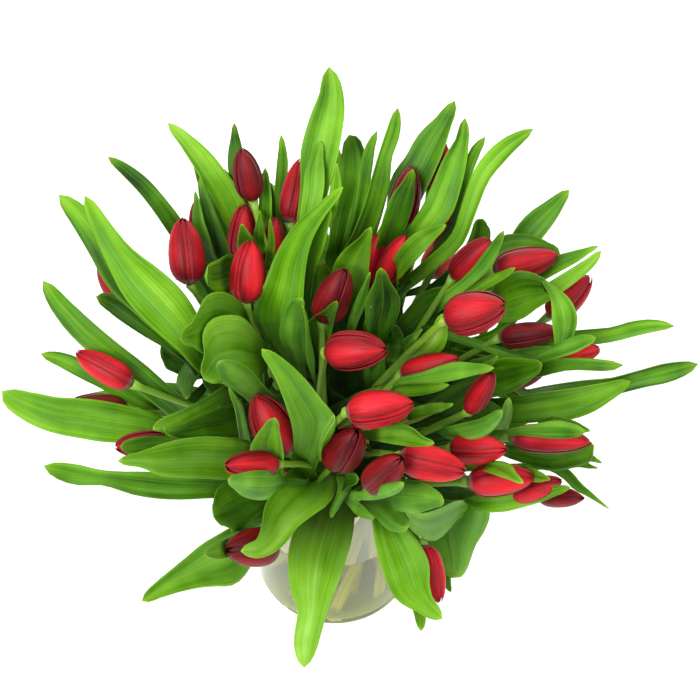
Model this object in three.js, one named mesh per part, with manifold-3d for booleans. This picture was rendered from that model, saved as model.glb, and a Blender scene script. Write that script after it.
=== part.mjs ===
// Tulips in a glass cylinder vase. Millimetres, +Z up, vase foot centred on the origin at z = 0.
import * as THREE from 'three';
import { mergeVertices } from 'three/addons/utils/BufferGeometryUtils.js';
import Module from 'manifold-3d';

// ---- driving dimensions -------------------------------------------------
const VASE_RADIUS = 75;          // outside of the glass
const VASE_HEIGHT = 225;
const VASE_WALL = 4.5;
const VASE_FLOOR = 12;           // thickness of the glass bottom
const VASE_SIDES = 42;
const WATER_LEVEL = 130;         // height of the water surface
const GAP = 0.35;                // clearance between neighbouring pieces
const WELD = 0.004;              // points closer than this are one point
const STEM_RADIUS = 3.1;
const STEM_SIDES = 6;
const NECK_RADIUS = 2.6;         // stem just under the flower
const LEAF_HALF_THICKNESS = 0.6; // at the midrib
const NECK_HALF_THICKNESS = 1.0; // where a leaf leaves its stem
const FLOWER_SIDES = 9;
const FLOWER_LOBE = 0.07;        // depth of the three-petal outline
// flower profile: fraction of the length, fraction of the radius
const FLOWER_PROFILE = [[0.06, 0.55], [0.28, 1.0], [0.60, 0.93], [0.88, 0.50]];

// One row for each tulip: bundle, flower base x y z, flower axis x y z, length, radius, turn about the axis.
const FLOWERS = [
  [10, -63, 108.4, 421.9, -0.173, 0.439, 0.882, 46.4, 11.8, 26.6],
  [10, -35.4, 112.8, 387.3, 0.184, 0.824, 0.535, 53.1, 11.5, 104.5],
  [14, 53.8, 99.9, 398.9, 0.208, 0.820, 0.533, 50.3, 13.1, 24.8],
  [1, 81.3, 145.7, 387.8, 0.194, 0.357, 0.914, 47.5, 11, 110.2],
  [3, -75.6, 89.7, 369.3, 0.114, 0.447, 0.887, 49.8, 11.4, 58.6],
  [3, -49.8, 85.5, 358.3, 0.089, 0.402, 0.911, 50.6, 10, 73.4],
  [11, -112.7, 49.4, 389.4, -0.117, 0.833, 0.541, 54.4, 14.7, 91.9],
  [11, -66.7, 23.3, 402, 0.095, 0.639, 0.763, 50.5, 14.7, 62.2],
  [10, 28.4, 75.3, 347.2, 0.183, 0.430, 0.884, 51.5, 10.6, 35.6],
  [14, 41.8, 65.3, 371.2, 0.350, 0.246, 0.904, 50.2, 12.1, 22.5],
  [1, 89.9, 104.6, 354.5, 0.251, 0.320, 0.914, 48.7, 11.2, 9.7],
  [9, 96, 53.2, 393.7, 0.575, 0.202, 0.793, 48.4, 11.2, 88.6],
  [9, 129.9, 66.6, 384.5, 0.971, 0.200, 0.130, 53.7, 13.4, 53],
  [15, -7.3, 5, 402.7, 0.367, 0.385, 0.847, 50.6, 14.1, 19],
  [4, -166.3, 58.6, 342.3, -0.464, 0.398, 0.791, 47.9, 12.2, 105.6],
  [0, 177.2, 50.8, 342.2, 0.667, 0.405, 0.626, 48.3, 13.4, 32.9],
  [14, 84, -37.6, 468.5, 0.889, -0.034, 0.457, 47, 16.1, 49.7],
  [9, 133.3, 12.3, 367.9, 0.924, -0.092, 0.372, 49, 10.4, 35.5],
  [15, -3.2, -52.5, 447.4, 0.902, -0.198, 0.385, 49.7, 14.9, 75.5],
  [0, 175, -2.3, 361.2, 0.729, -0.233, 0.644, 45.7, 9.7, 69.6],
  [11, -153.3, -39.1, 381.5, -0.872, 0.411, 0.267, 50.3, 10.9, 72],
  [15, 53.9, -40.1, 397.4, 0.848, -0.051, 0.528, 50.2, 10.3, 31.9],
  [0, 125, -6.1, 337.4, 0.927, -0.013, 0.375, 50.7, 13.7, 34.2],
  [13, 103.5, -72.9, 397.6, 0.299, 0.099, 0.949, 49.5, 9.2, 30.4],
  [12, 12.2, -97.4, 437.1, 0.977, 0.023, 0.213, 49.9, 14.4, 39.3],
  [12, -33.1, -96.3, 376.6, -0.462, 0.564, 0.685, 52, 15.8, 17.3],
  [4, -165.2, -22.2, 314.4, -0.938, -0.070, 0.339, 48.8, 11.4, 19.9],
  [12, 2.1, -92.3, 350.8, 0.349, 0.031, 0.937, 52.2, 15.7, 115.7],
  [5, -128.5, -64.7, 333.4, -0.795, -0.328, 0.511, 48.1, 11.3, 115.2],
  [13, 91.7, -88.8, 369.5, 0.813, -0.301, 0.499, 49, 12.1, 22.6],
  [13, 50.8, -117.9, 409, 0.971, -0.233, -0.059, 49.6, 13.4, 2.9],
  [7, 29, -134.9, 393.1, 0.436, -0.026, 0.899, 51, 12.9, 24.5],
  [7, 103.3, -114.2, 362.3, 0.998, 0.049, 0.032, 51.4, 12.9, 84],
  [8, 141.2, -108, 328.2, 0.694, -0.099, 0.713, 48.2, 9.4, 93.5],
  [8, 163.5, -98.9, 311.1, 0.625, -0.394, 0.674, 46.9, 8.5, 2.8],
  [8, 138.1, -69.8, 353.2, 0.998, -0.051, -0.033, 63.5, 11.4, 69.3],
  [6, -39.2, -118.9, 398.8, -0.747, -0.348, 0.566, 48.7, 10.8, 0.2],
  [6, -42.4, -144.2, 316.6, -0.782, -0.357, 0.511, 47.2, 15.7, 61.9],
  [7, 73.5, -121.3, 268.5, 0.249, -0.941, -0.232, 48.1, 10.7, 76.8],
  [3, -107.7, 109, 356.9, -0.049, 0.359, 0.932, 48.1, 9.8, 118.3],
  [2, -31.8, 180.4, 257.3, -0.165, 0.936, 0.312, 50, 13.5, 31.1],
  [1, 85, 159.8, 244, 0.455, 0.855, 0.248, 50, 13.5, 96.3],
];

// One row for each stem, in the order of FLOWERS: centre line points from the cut end up to the flower.
const STEMS = [
  [30.3, 1.5, 15.5, -10.9, 33.7, 231.4, -25.4, 50.5, 286.3, -40.1, 67.6, 342, -55.9, 91.7, 396.2, -62.9, 108.2, 421.6],
  [34.7, 3.3, 15.9, -6.5, 35.5, 232, -15.5, 55.8, 276.7, -24, 77.4, 321.1, -31.8, 100.6, 365.2, -35.5, 112.6, 387.1],
  [5.7, -5.7, 20.2, 5.7, 11.4, 231.8, 20.8, 33.5, 279.8, 34.5, 58.2, 327.6, 48.1, 84.8, 375.3, 53.8, 99.6, 398.7],
  [38.7, -41.6, 19.1, 38.7, 45.8, 232, 50.7, 74.3, 275.5, 62.7, 102.6, 319.9, 75, 131.2, 364.9, 81.2, 145.5, 387.5],
  [48.2, 30.8, 17.9, -38.3, 46.1, 232, -49.4, 57.8, 270.7, -60.3, 70.1, 309.8, -70.6, 83, 349.2, -75.6, 89.5, 368.9],
  [48.7, 26.6, 21.1, -36.9, 41.7, 232.9, -41.2, 53.5, 268.2, -45, 65.9, 303.8, -48.3, 78.8, 339.8, -49.8, 85.4, 358],
  [7.1, 33.7, 18.5, -35.8, 4.8, 232, -57.8, 15.2, 277.3, -79.8, 27.3, 322.3, -101.7, 41.5, 367, -112.7, 49.1, 389.2],
  [11.8, 31.9, 16.3, -31.5, 2.7, 232.6, -42.1, 6.8, 280.7, -52.3, 12.2, 329, -62, 19.2, 377.5, -66.7, 23.1, 401.7],
  [33.4, -0.9, 19.6, -7.2, 30.8, 232.6, 2, 42.9, 265, 12.2, 55.4, 297.5, 22.9, 68.5, 330.4, 28.3, 75.1, 346.9],
  [9.8, -8.3, 17.2, 9.8, 9, 232, 18.2, 24.6, 271.3, 27.2, 40.6, 310.9, 36.8, 56.9, 350.8, 41.7, 65.2, 370.9],
  [34.6, -44.4, 18.5, 34.6, 43.6, 232.9, 49.3, 62.4, 266.4, 65.2, 79, 301.2, 81.5, 96, 336.5, 89.8, 104.5, 354.2],
  [9.5, -31.9, 20.2, 27.1, 16.4, 232.6, 45.5, 26.8, 278.3, 64.8, 37.2, 324.2, 85.3, 47.8, 370.3, 95.8, 53.1, 393.4],
  [10.9, -28.1, 16.7, 28.7, 20.7, 231.4, 55.1, 33.5, 276.7, 83.4, 46.5, 320.8, 113.8, 59.8, 363.4, 129.5, 66.6, 384.4],
  [-5.7, 10.5, 19.7, -5.7, -6.6, 232.2, -7.1, -4.5, 280.5, -7.8, -1.6, 329.1, -7.7, 2.7, 377.9, -7.4, 4.9, 402.4],
  [16.8, 54.1, 19.1, -58.9, 10.5, 232, -89, 23, 263.1, -119.6, 36.5, 294.5, -150.5, 51, 326.1, -166.1, 58.5, 342],
  [0.5, -53.3, 15.5, 57.4, 14.5, 231.1, 89.6, 22.1, 263.9, 123.9, 33.4, 295.1, 159.2, 44.8, 326.3, 177, 50.6, 342],
  [5.7, -10.7, 16.9, 5.7, 6.6, 232.2, 24.9, -5.7, 300.5, 46.4, -18.3, 368.2, 70.8, -31.1, 435.1, 83.7, -37.6, 468.3],
  [14, -31.7, 17.1, 31.7, 17.2, 232, 56.6, 16.7, 272.5, 86, 15.3, 310.9, 117.1, 13.4, 348.9, 132.9, 12.3, 367.7],
  [-9.8, 8.4, 15.8, -9.8, -9, 232, -10.7, -21, 294.5, -9.6, -33.3, 356.2, -5.9, -46, 417, -3.5, -52.4, 447.2],
  [2, -57.9, 15.6, 59.1, 10.2, 232, 91.3, 9.2, 267.7, 124.7, 7.7, 303.1, 159.3, 4.7, 338.4, 174.7, -2.2, 361],
  [7.6, 29, 17.3, -35.4, 0.1, 231.4, -67.3, -14.7, 274.4, -100.3, -25.7, 317.8, -135.1, -35, 360.3, -153, -39.2, 381.4],
  [-5.7, 5.9, 17.1, -5.7, -11.4, 231.8, 8.2, -20.8, 279.8, 23.6, -31, 327.3, 42, -40, 374.1, 53.6, -40, 397.3],
  [-2, -56.2, 18.7, 54.5, 11.1, 232.9, 73.4, 6.5, 263.1, 93.2, 1.6, 292.9, 114.2, -3.6, 322.5, 124.7, -6.1, 337.3],
  [-23, -19, 18, 28.6, -20.8, 231.4, 49.6, -36, 278.2, 70.9, -51, 325.4, 92.6, -65.7, 373.2, 103.4, -72.9, 397.2],
  [-26.6, 20.7, 18.1, -12.3, -29.2, 232.6, -8.5, -48.8, 292.6, -3.1, -67.4, 351.7, 6, -86.9, 409, 11.8, -97.4, 437],
  [-29.8, 16.8, 19.7, -15.6, -32.5, 232, -19.5, -52.4, 273.3, -24.2, -71, 314.5, -29.8, -88.2, 355.8, -32.9, -96.5, 376.4],
  [20.4, 50.4, 16, -56.4, 6.1, 232, -83.2, -0.2, 259.4, -115.1, -9.2, 281.6, -148.1, -17.9, 303.4, -164.8, -22.2, 314.3],
  [-25.2, 15.9, 18.5, -11, -33.6, 231.4, -16.1, -55.7, 263.5, -15.7, -78.7, 295.3, -4.3, -89.2, 331.6, 1.9, -92.3, 350.5],
  [-19.7, 51.1, 20, -49.5, -30.7, 232, -70.7, -40.2, 261.2, -92.9, -49.9, 290.2, -116.3, -59.7, 318.9, -128.2, -64.6, 333.2],
  [-25.6, -23.1, 18.3, 26.1, -24.9, 232, 43.3, -42.5, 271.7, 61.6, -60.5, 311, 81.3, -79.2, 350, 91.4, -88.7, 369.4],
  [-27.2, -18.9, 20.8, 24, -20.7, 232.6, 28.7, -46.8, 285.4, 35.5, -74.2, 336.4, 45.1, -103.1, 385.2, 50.4, -117.9, 409],
  [-55.6, -12.7, 18.7, 20.3, -56.4, 232, 21.8, -81.2, 276, 24.3, -102.7, 322.4, 27.3, -124.2, 369.2, 28.8, -134.9, 392.8],
  [-56.5, -7.4, 16.5, 20.4, -51.8, 232.9, 44.9, -67.3, 270.4, 66.9, -86.3, 308.2, 90.7, -104.9, 344.5, 103, -114.2, 362.3],
  [-35.1, -45.5, 17.1, 51.8, -30.2, 232, 76.4, -52.1, 259.3, 101.6, -74.3, 286.7, 127.7, -96.7, 314.2, 140.9, -107.9, 328],
  [-33.9, -41.1, 15.4, 53.3, -25.8, 231.1, 83.9, -45.8, 253.8, 115.2, -66.4, 276.6, 147.1, -87.8, 299.4, 163.3, -98.7, 310.8],
  [-37.1, -41.7, 20.2, 48.9, -26.5, 232.9, 72.7, -38.7, 268.7, 97.7, -51, 303.5, 124.2, -63.5, 336.8, 137.7, -69.7, 353.2],
  [-45.6, 27.4, 19.8, -15.8, -54.5, 232, -10.1, -68.9, 281.8, -14.9, -84.3, 331.8, -30, -106.6, 376.8, -39, -118.8, 398.6],
  [-50.8, 27, 16.3, -20.5, -56.2, 232, -25.2, -81.1, 256.4, -31.1, -106.2, 280.5, -38.3, -131.4, 304.5, -42.2, -144, 316.4],
  [-52.5, -9.7, 15.2, 24.2, -54, 231.1, 38.3, -72.1, 242.9, 52.3, -91, 253.9, 66.4, -110.9, 263.8, 73.4, -121, 268.6],
  [44.6, 27.3, 18.8, -41.2, 42.4, 231.1, -61.6, 64.3, 261.7, -80.8, 81.2, 299.5, -98.9, 99.5, 337.6, -107.7, 108.9, 356.6],
  [55.3, -9.9, 15.6, -1.8, 58.2, 232, -9.6, 91.8, 239.5, -18.1, 126.2, 247, -27.2, 161.9, 253.9, -31.8, 180.1, 257.2],
  [34.6, -39.9, 17, 34.6, 48, 231.1, 48.2, 78.9, 236.7, 62.4, 110.5, 239.7, 77.2, 143.1, 242.6, 84.8, 159.5, 243.9],
];

// One row for each leaf: bundle, stations in the neck, cup, then stations from the stem to the tip (centre x y z, half width x y z).
const LEAVES = [
  [15, 2, -0.20, 30.6, -9.6, 321.2, 0.2, 2.1, 0.7, 33.4, -14.4, 334.1, 0.3, 2.1, 1, 40.8, -33, 367.3, 0, 2.5, 0.3, 66.6, -58.6, 421.7, -0.1, 4, 0.9, 91.1, -77.9, 462, -0.5, 6.2, 1.8, 102.8, -88.2, 480.3, -0.2, 3.8, 1.2, 113.7, -98.6, 498.2, 0, 0.3, 0.1],
  [8, 4, 0.24, 55.5, -33.1, 236.2, -0.6, 2.1, 0.2, 55.1, -33.4, 238.2, -0.7, 2.4, 1.4, 57.2, -35.2, 240.8, 1.2, 1.7, 3.6, 72.2, -44.4, 237.8, 2.2, 2.2, 5.2, 86.9, -53.8, 236, -0.1, 4.6, 5.4, 97.9, -71.4, 267.4, 0, 5.7, 5.4, 108.4, -86, 293.8, 0, 4.2, 3.6, 112.7, -95.3, 311.1, 0, 2.5, 2, 116.6, -104.4, 328, 0, 0.2, 0.2],
  [1, 2, 0.24, 46.5, 77.2, 235.5, -0.4, 2, 0.8, 75.8, 73.7, 259.6, 0, 3.5, 2.3, 159.7, -11.4, 358.5, -1.3, 6.1, 1.4, 191.5, -21.2, 382.1, -0.5, 5.1, 0.7, 214.1, -24.5, 384.7, -0.1, 4.4, 0.6, 225.1, -24.2, 385.2, 0.1, 0.8, 0.1],
  [6, 4, 0.20, -21.9, -61.6, 238.1, 1.2, 0.8, 1.7, -28, -58.7, 241, 0.7, 1.5, 2.4, -38.3, -56.1, 239.2, -1.6, 1.9, 3.4, -47.3, -69.3, 237.5, -2.6, 1.2, 3.3, -51.1, -75, 236, -1.8, 3, 3.4, -59.4, -103.8, 280.3, -2.2, 3.8, 3.5, -67.5, -127.7, 317, -1.5, 2.8, 2.4, -71.2, -138.9, 334.3, -0.8, 1.6, 1.3, -74.6, -149.8, 351.4, -0.1, 0.2, 0.2],
  [6, 4, -0.24, -21.6, -61.7, 238, 1.2, 0.7, 1.7, -27.6, -59.2, 241, 0.8, 1.2, 2.5, -39.1, -55.6, 240.2, -1.6, 1.7, 3.5, -48.3, -68.2, 236.2, -3.1, 1.7, 4.8, -72.4, -104.4, 236, -7.5, 9.6, 15.4, -97.1, -134.3, 261.8, -8.4, 10.3, 12.7, -121.9, -159.4, 284.1, -4.9, 5.8, 5.1, -133.7, -171.7, 293.4, -3.3, 3.9, 3.1, -143.9, -184.6, 302.8, -0.2, 0.2, 0.2],
  [8, 4, 0.20, 60.4, -30.4, 236.4, 1.2, 0.4, -1.8, 62.5, -23.8, 239.2, 1.4, 0, -2.5, 67.8, -12.8, 240.7, 0.2, -1.8, -3.8, 82.2, -15.7, 236.1, -4.4, -3.6, -1.8, 106, -19.3, 158.4, -21, -8.3, 5.2, 100.7, -65.9, 195.7, -27, -8.4, 7.9, 98.3, -102.1, 213.5, -16.6, -4.5, 5.3, 98.8, -117.7, 219.5, -10.3, -1.8, 3.9, 96.8, -130.9, 229.3, -0.3, 0, 0.1],
  [8, 4, 0.20, 57.9, -35.3, 239.2, -1.8, 1.3, 0.3, 55.4, -39.1, 240.1, -2.2, 1.9, 0.3, 51.5, -42.9, 240.2, -3.5, -2.3, 0, 64.9, -53.5, 235.7, -4.4, -4, -0.6, 91.4, -75.6, 167.8, -6.2, -2.7, 1.5, 92.1, -107.5, 205.9, -4.3, -2.1, 1, 94.1, -128.4, 222.4, -2.6, -1.5, 0.3, 94.3, -138.4, 229.6, -2.3, -1.3, -0.2, 95.8, -147.1, 237.4, -0.3, -0.2, 0],
  [14, 2, 0.24, 29.5, 43.4, 318.5, -1.4, 1.6, -0.3, 47.3, 62.7, 337.5, -2.2, 2.6, -0.4, 95.2, 103.2, 387.2, -1.9, 3.3, 0.3, 106.3, 120.2, 429.2, -1.7, 2.9, 0.3, 114.6, 142.6, 442.4, -3.1, 3.3, -0.1, 122.2, 152.4, 447, -0.2, 0.2, 0],
  [11, 2, -0.24, -70.8, 21.5, 302.5, -0.2, 2.2, 0.2, -81.3, 20.3, 306.3, -0.5, 4.2, 0.4, -109.7, 14.6, 313.6, -1, 5.3, 0.8, -132.1, 15, 357.4, -0.4, 5.7, 0.8, -158.9, 25.9, 377.8, 1.5, 8.4, 1.2, -172.8, 33.5, 384.8, 1.5, 8.2, 1.1, -185.2, 32.8, 395.3, 0.1, 0.3, 0],
  [0, 2, 0.24, 89.3, 2.5, 287.6, -0.6, 2.1, -0.2, 113, 11, 302.3, -1.4, 3.9, -0.4, 177.6, 31, 334.3, 0.3, 5.8, 0.9, 207.2, 17.4, 362.1, 0.3, 6.9, 1.1, 239.2, 19.6, 369.8, 0.5, 6.5, 1, 255.9, 22.5, 370.1, 0.5, 5.2, 0.8, 271.6, 21.4, 371.3, 0, 0.3, 0],
  [12, 2, 0.20, -26.6, -79.8, 333.2, 0.7, 0.1, 2.1, -18.2, -98.7, 331.6, 0.9, 1, 3.1, -34.6, -105.9, 347.2, 1.6, 1.9, 2.8, -46, -138.1, 402.1, 1.2, 7.7, 7.1, -58.5, -160.7, 445.9, 1.5, 6.5, 5.6, -63.4, -170.4, 467.2, 1, 3.8, 3.1, -67.2, -180, 488.1, 0.1, 0.2, 0.2],
  [12, 2, 0.24, -6.1, -56.7, 317.2, -0.7, 1.3, -0.3, -22.6, -64.3, 325.5, -1.3, 0.8, 0.3, -9.4, -92, 355.1, -1.5, 0.7, 0.4, -7.3, -112.1, 416, -1.5, 0.5, 0.2, -1.8, -127.4, 464.2, -2, 0.5, 0.3, 1.6, -134.8, 486.7, -2, 0.5, 0.3, 3.6, -142.4, 508.5, -0.3, 0.1, 0],
  [12, 2, -0.24, -24.2, -71.3, 316.1, 1.9, 1.1, -0.2, -14.6, -88.5, 316.5, 3.9, 1.5, -0.1, -20.5, -90.4, 336.3, 7.8, 1, 2.9, -11.9, -93.5, 411.8, 16, 3.1, 2.8, -26.6, -91.2, 465.4, 9.1, 2.8, 2.2, -35.9, -90.5, 489.2, 5.2, 2.3, 1.5, -46, -91.5, 511.4, 0.3, 0.1, 0.1],
  [6, 2, 0.24, -32.3, -106.9, 282.5, -1.2, 1.5, 1, -22.1, -106.9, 295, -3.2, 2.7, -0.3, -43, -100.7, 331, -4.7, 3.2, 0.6, -46.8, -111, 384.9, -11.6, 2.8, -2, -43.8, -117.3, 432.4, -9.2, 2.3, -0.8, -40.8, -122.3, 457.1, -5.2, 1.5, -0.2, -37.3, -128.3, 480.8, -0.3, 0.1, 0],
  [7, 2, -0.20, 57.9, -78.9, 293.1, 0.5, 1.4, 1.6, 33.6, -86.1, 306.3, 0.6, 2, 2.3, 15.1, -104.3, 324.6, 0.8, 2.1, 2.5, 29, -135.4, 381.3, -0.2, 2.7, 2.6, 41.2, -156, 428, -1.3, 3.4, 3.1, 46.9, -165.4, 449.7, -1.4, 2.6, 2.3, 51, -174, 471.5, -0.1, 0.2, 0.2],
  [15, 2, 0.24, -8.5, -2.6, 311.3, -0.6, 0.2, -0.3, -15, -12, 316.1, -0.7, 0.1, -0.2, -13.6, -13.7, 337.5, -0.8, 0.1, -0.1, -15.7, -28, 399.7, -2.9, -0.2, -0.3, -16.8, -36.5, 449.9, -1.4, -0.2, -0.1, -17.4, -40.4, 473.5, -1, -0.1, -0.1, -19.3, -44.4, 496.2, -0.4, 0, 0],
  [13, 2, 0.24, 33.5, -64.1, 319.5, 0, 1.7, -1.4, 16.9, -54.2, 331.9, -0.6, 2.8, -1.5, 27.6, -62.1, 342.2, -0.8, 3, 1.8, 44.3, -92.2, 395.8, 0.1, 5.9, 3.1, 59.5, -118.6, 436.9, 0.7, 5.8, 3, 65.7, -132.4, 455.4, 0, 2.8, 1.6, 72.1, -144.3, 474.1, 0, 0.3, 0.1],
  [12, 2, -0.24, -8.9, -48.5, 289.1, -1.2, 1.7, -0.8, -17.7, -52.8, 293.5, -3.9, 1.6, 0.1, -11.9, -71, 309.2, -13.5, 4.4, 1.8, -27.8, -112.5, 331.5, -16.4, 7.9, 4.2, -42.8, -154, 354.6, -7.7, 6.8, 5.3, -51.4, -172.4, 368.5, -2.9, 4.7, 4.3, -63.9, -183.8, 387.3, -0.1, 0.2, 0.2],
  [15, 2, 0.20, -10.5, -31.2, 345.3, 0.3, -0.8, 2, -39.3, -29.3, 350.3, 1.5, -1.6, 3.6, -50.9, -42.4, 364, 9.5, -0.7, 4.9, -60.7, -68.4, 424.7, 8.9, 2.5, 4.3, -69.2, -85.9, 472.5, 7.5, 4.1, 3.9, -72.6, -94.5, 494.9, 4.6, 2.8, 2.4, -74.6, -104.4, 516.3, 0.2, 0.1, 0.1],
  [14, 2, -0.20, 22.7, -4.7, 289.7, -0.9, 0.7, -1.9, -1.4, 2.8, 304.2, -2.2, 1.5, -3.2, -25.6, 6.6, 335.3, -7, 3.1, -1.8, -28.8, -12.6, 399.2, -9.9, 2.9, -1.4, -26.8, -24.4, 450, -7.7, 3.2, -0.6, -24, -30.5, 473.8, -4.8, 2.6, -0.1, -19.8, -38.6, 496.6, -0.3, 0.1, 0],
  [8, 2, -0.20, 91.9, -48.5, 294, -1.2, 1.4, -1.2, 76.6, -46.4, 312.5, -3, 2.8, -1, 85.4, -53.7, 330.9, -3.3, 1.9, 3.9, 99, -89.5, 394.6, -3.9, 3.7, 5.1, 111.5, -110.8, 441.7, -3.9, 2.9, 4.1, 115.8, -118.7, 465.1, -2.8, 1.8, 2.6, 118.6, -126.4, 488.4, -0.2, 0.1, 0.2],
  [8, 2, 0.24, 98.1, -56, 264.2, 1.3, 1.6, -0.7, 99.6, -52.4, 274.8, 2.1, 2.6, -0.6, 105.6, -59.1, 292.7, 2.5, 2.8, -0.1, 116, -105, 371.5, 3, 3.8, 0, 127.4, -130.2, 409.3, 3.1, 4.8, 0.8, 131, -146.1, 428.6, 1.5, 2.4, 0.6, 134.6, -160.9, 447.2, 0.2, 0.3, 0.1],
  [11, 1, -0.24, 12.1, -94.1, 330.4, -2.2, 0.2, 0.4, 11.6, -92.1, 327.3, -8.2, 0.3, 0.2, 6.4, -103, 315.4, -3.4, 0.1, 0.1, 1.1, -110.2, 307.6, -2.5, 0.5, 0.3, -0.6, -113.9, 303.6, -0.8, 0.3, 0.2],
  [0, 2, 0.24, 100.6, 26.3, 274.2, 0.4, 2.2, -0.1, 94.6, 28.8, 298.7, 0.7, 4.1, -0.5, 95.2, 39, 370.2, 0.9, 4.9, 0.7, 106.6, 11.5, 431.1, 0, 4.3, 0.6, 120, -1.5, 466.6, -0.7, 3.6, 0.5, 126.8, -7.6, 482.5, -0.8, 2.7, 0.3, 132.8, -13.4, 498, -0.1, 0.3, 0],
  [5, 2, -0.24, -87.2, -48.2, 283.5, -0.3, 2, 0.9, -75.6, -53.9, 299.5, -0.4, 3.7, 2, -63, -76.3, 334.1, -0.8, 9.9, 7, -93.1, -104.6, 383.1, -1, 13.3, 8.5, -122.2, -126.6, 418.3, -0.4, 9.6, 6.2, -134.9, -136, 435.8, -0.4, 4.5, 2.6, -147.6, -146, 451.9, 0, 0.3, 0.2],
  [11, 2, 0.24, -38, -1.4, 235.1, -0.4, -0.5, 2.1, -36.7, -7, 234, -0.7, -1.7, 3.8, -34.3, -27, 222.8, -2.6, 4.3, 2.9, -13.4, -62, 277.8, -1.4, 7.2, 5.5, 6.1, -89.5, 320.8, -0.8, 8.3, 6.2, 14.1, -100.4, 342.2, 0, 4.8, 3.4, 21.1, -111.6, 362.4, 0, 0.2, 0.2],
  [6, 2, 0.24, -13.3, -60.9, 255.3, 0.6, 1.2, 1.8, -8.5, -66.1, 257.2, 0.2, 2.6, 2.5, 7.8, -75.6, 271.4, 0, 2.5, 3.1, 16.1, -112.3, 325.1, 1, 3.1, 3, 23.6, -142.2, 367, 1.3, 2.9, 2.5, 27.5, -155.5, 387.1, 0.7, 1.8, 1.5, 31.5, -167.8, 407, 0, 0.3, 0.2],
  [11, 2, -0.24, -48.4, 9.8, 312.7, -0.3, 1.1, 1.9, -53.5, -3.8, 320, 0.2, 3.7, 2, -53, 5.2, 345.1, 1.4, 9.6, 1.3, -65.9, -27.8, 410.5, -2.6, 26.9, 3.9, -81.7, -61.9, 450.8, -6.5, 19.2, 2.4, -84.4, -81.5, 469, -3.5, 9.6, 1.5, -87.1, -100.8, 486.8, -0.7, 1.1, 0.1],
  [1, 2, -0.20, 67.8, 82.1, 307, -0.3, 1.9, 1.1, 71.7, 78.3, 314.1, -0.5, 3.4, 2.4, 83.8, 56.1, 347.5, -1.5, 6.3, 0.9, 102.7, 41.3, 399.4, -2.1, 4.7, 0.5, 119.6, 39.1, 435.1, -4, 3.7, 1.5, 125.1, 40.3, 452.6, -2.9, 2.2, 1.2, 129.9, 41.1, 470, -0.2, 0.2, 0.1],
  [0, 1, -0.24, 166.5, 26.9, 412.5, -1.3, 0, -0.4, 162.8, 27.7, 424.1, -1.5, 0, 0, 179.1, 2, 410.9, -9.8, -1.1, -0.7, 176.3, -12.4, 392.8, -3.9, -0.3, -0.2, 174.9, -18.5, 382.1, -0.3, 0, 0],
  [0, 2, 0.24, 121.3, 32.9, 293, -0.5, 2.1, -0.3, 121, 35, 306.9, -1, 3.8, -1.6, 129.3, 58.4, 341.3, -1.2, 11.7, 1.8, 140.4, 38.3, 385.3, -3.6, 18.7, 2.8, 155.9, 32.8, 401.4, -2.6, 15.9, 2.5, 162.8, 29.1, 408.2, -1.8, 10.6, 1.7, 168.6, 23, 417.4, -1.4, 4, 0.9],
  [8, 2, 0.24, 119.2, -68.4, 279.1, -0.2, 2.2, 0.2, 125.8, -68.2, 285.9, 0, 4.1, 0.9, 151.5, -76.9, 310.2, 0.8, 4.2, 2.2, 152.1, -108.4, 362.6, 1, 4.3, 2.3, 157.7, -115.5, 372.2, 0.7, 3, 1.7, 159.1, -123.3, 385.1, 0.3, 1.5, 0.8, 160.1, -132.3, 400.3, 0.1, 0.3, 0.1],
  [8, 2, -0.20, 104.7, -59.1, 269, -0.6, 1.9, -0.8, 109.5, -52.7, 280.1, -0.5, 2, -0.6, 125.1, -43.9, 311.6, 0, 2.3, 0.9, 144.5, -75.7, 372.6, 0.3, 3.2, 1.1, 164.8, -94.5, 407, 0.5, 6.3, 2.5, 174.5, -104, 421.8, 0.4, 5, 2, 182.6, -114.1, 437.2, 0, 0.3, 0.1],
  [5, 2, -0.24, -51.8, -31.7, 235.1, 2.1, 0.2, 0.7, -54.5, -33.8, 243.5, 3.7, 0.4, 1.4, -68.1, -42.4, 278.8, 3.8, 0.2, 2.2, -68.7, -61.5, 347.8, 3.4, 0.4, 1.8, -68.8, -70.7, 397.8, 3.1, 0.8, 1.4, -71.1, -75.1, 419.9, 2, 0.6, 0.8, -73.3, -80.1, 442, 0.3, 0.1, 0.1],
  [4, 2, -0.24, -70.7, 3.9, 249.3, -0.6, 1.8, 1.1, -66.3, -3.5, 263.5, -1.2, 3.6, 1.8, -64.7, -22.8, 301.1, -2.8, 13.1, 1.9, -85, -58, 354.7, -1.8, 11.1, 3.9, -103.9, -86.2, 393.9, -0.2, 6.4, 3.2, -112.5, -99.5, 412.3, 0.6, 3.9, 2.4, -120.3, -108.8, 432.4, 0, 0.3, 0.2],
  [0, 2, 0.24, 83.3, 9, 259.6, -2, 0.1, 0.9, 87.2, 8.9, 268.1, -1.6, -0.6, 3.8, 135.7, -21.9, 270.3, -3.5, 1.2, 3, 133.8, -57.8, 351.3, -3.4, 0.6, 2.4, 131.8, -74.8, 400.6, -3.4, 0.2, 2, 130.3, -81.9, 422.4, -2.5, 0.1, 1.4, 129.1, -88.8, 442.5, -0.3, 0, 0.1],
  [7, 2, -0.20, 21.7, -86.3, 286.6, -0.7, 1.8, 1, 25.5, -87.7, 291.8, -1, 3.3, 2.4, 43.4, -97.2, 309.6, -0.9, 5.4, 8.3, 57.1, -128.6, 366.9, 0.2, 8.9, 9, 70.2, -152.4, 409, 0.8, 6.9, 5.8, 75.7, -164.3, 429.3, 0.7, 4.3, 3.3, 79.1, -176.3, 449.6, 0, 0.2, 0.2],
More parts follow.
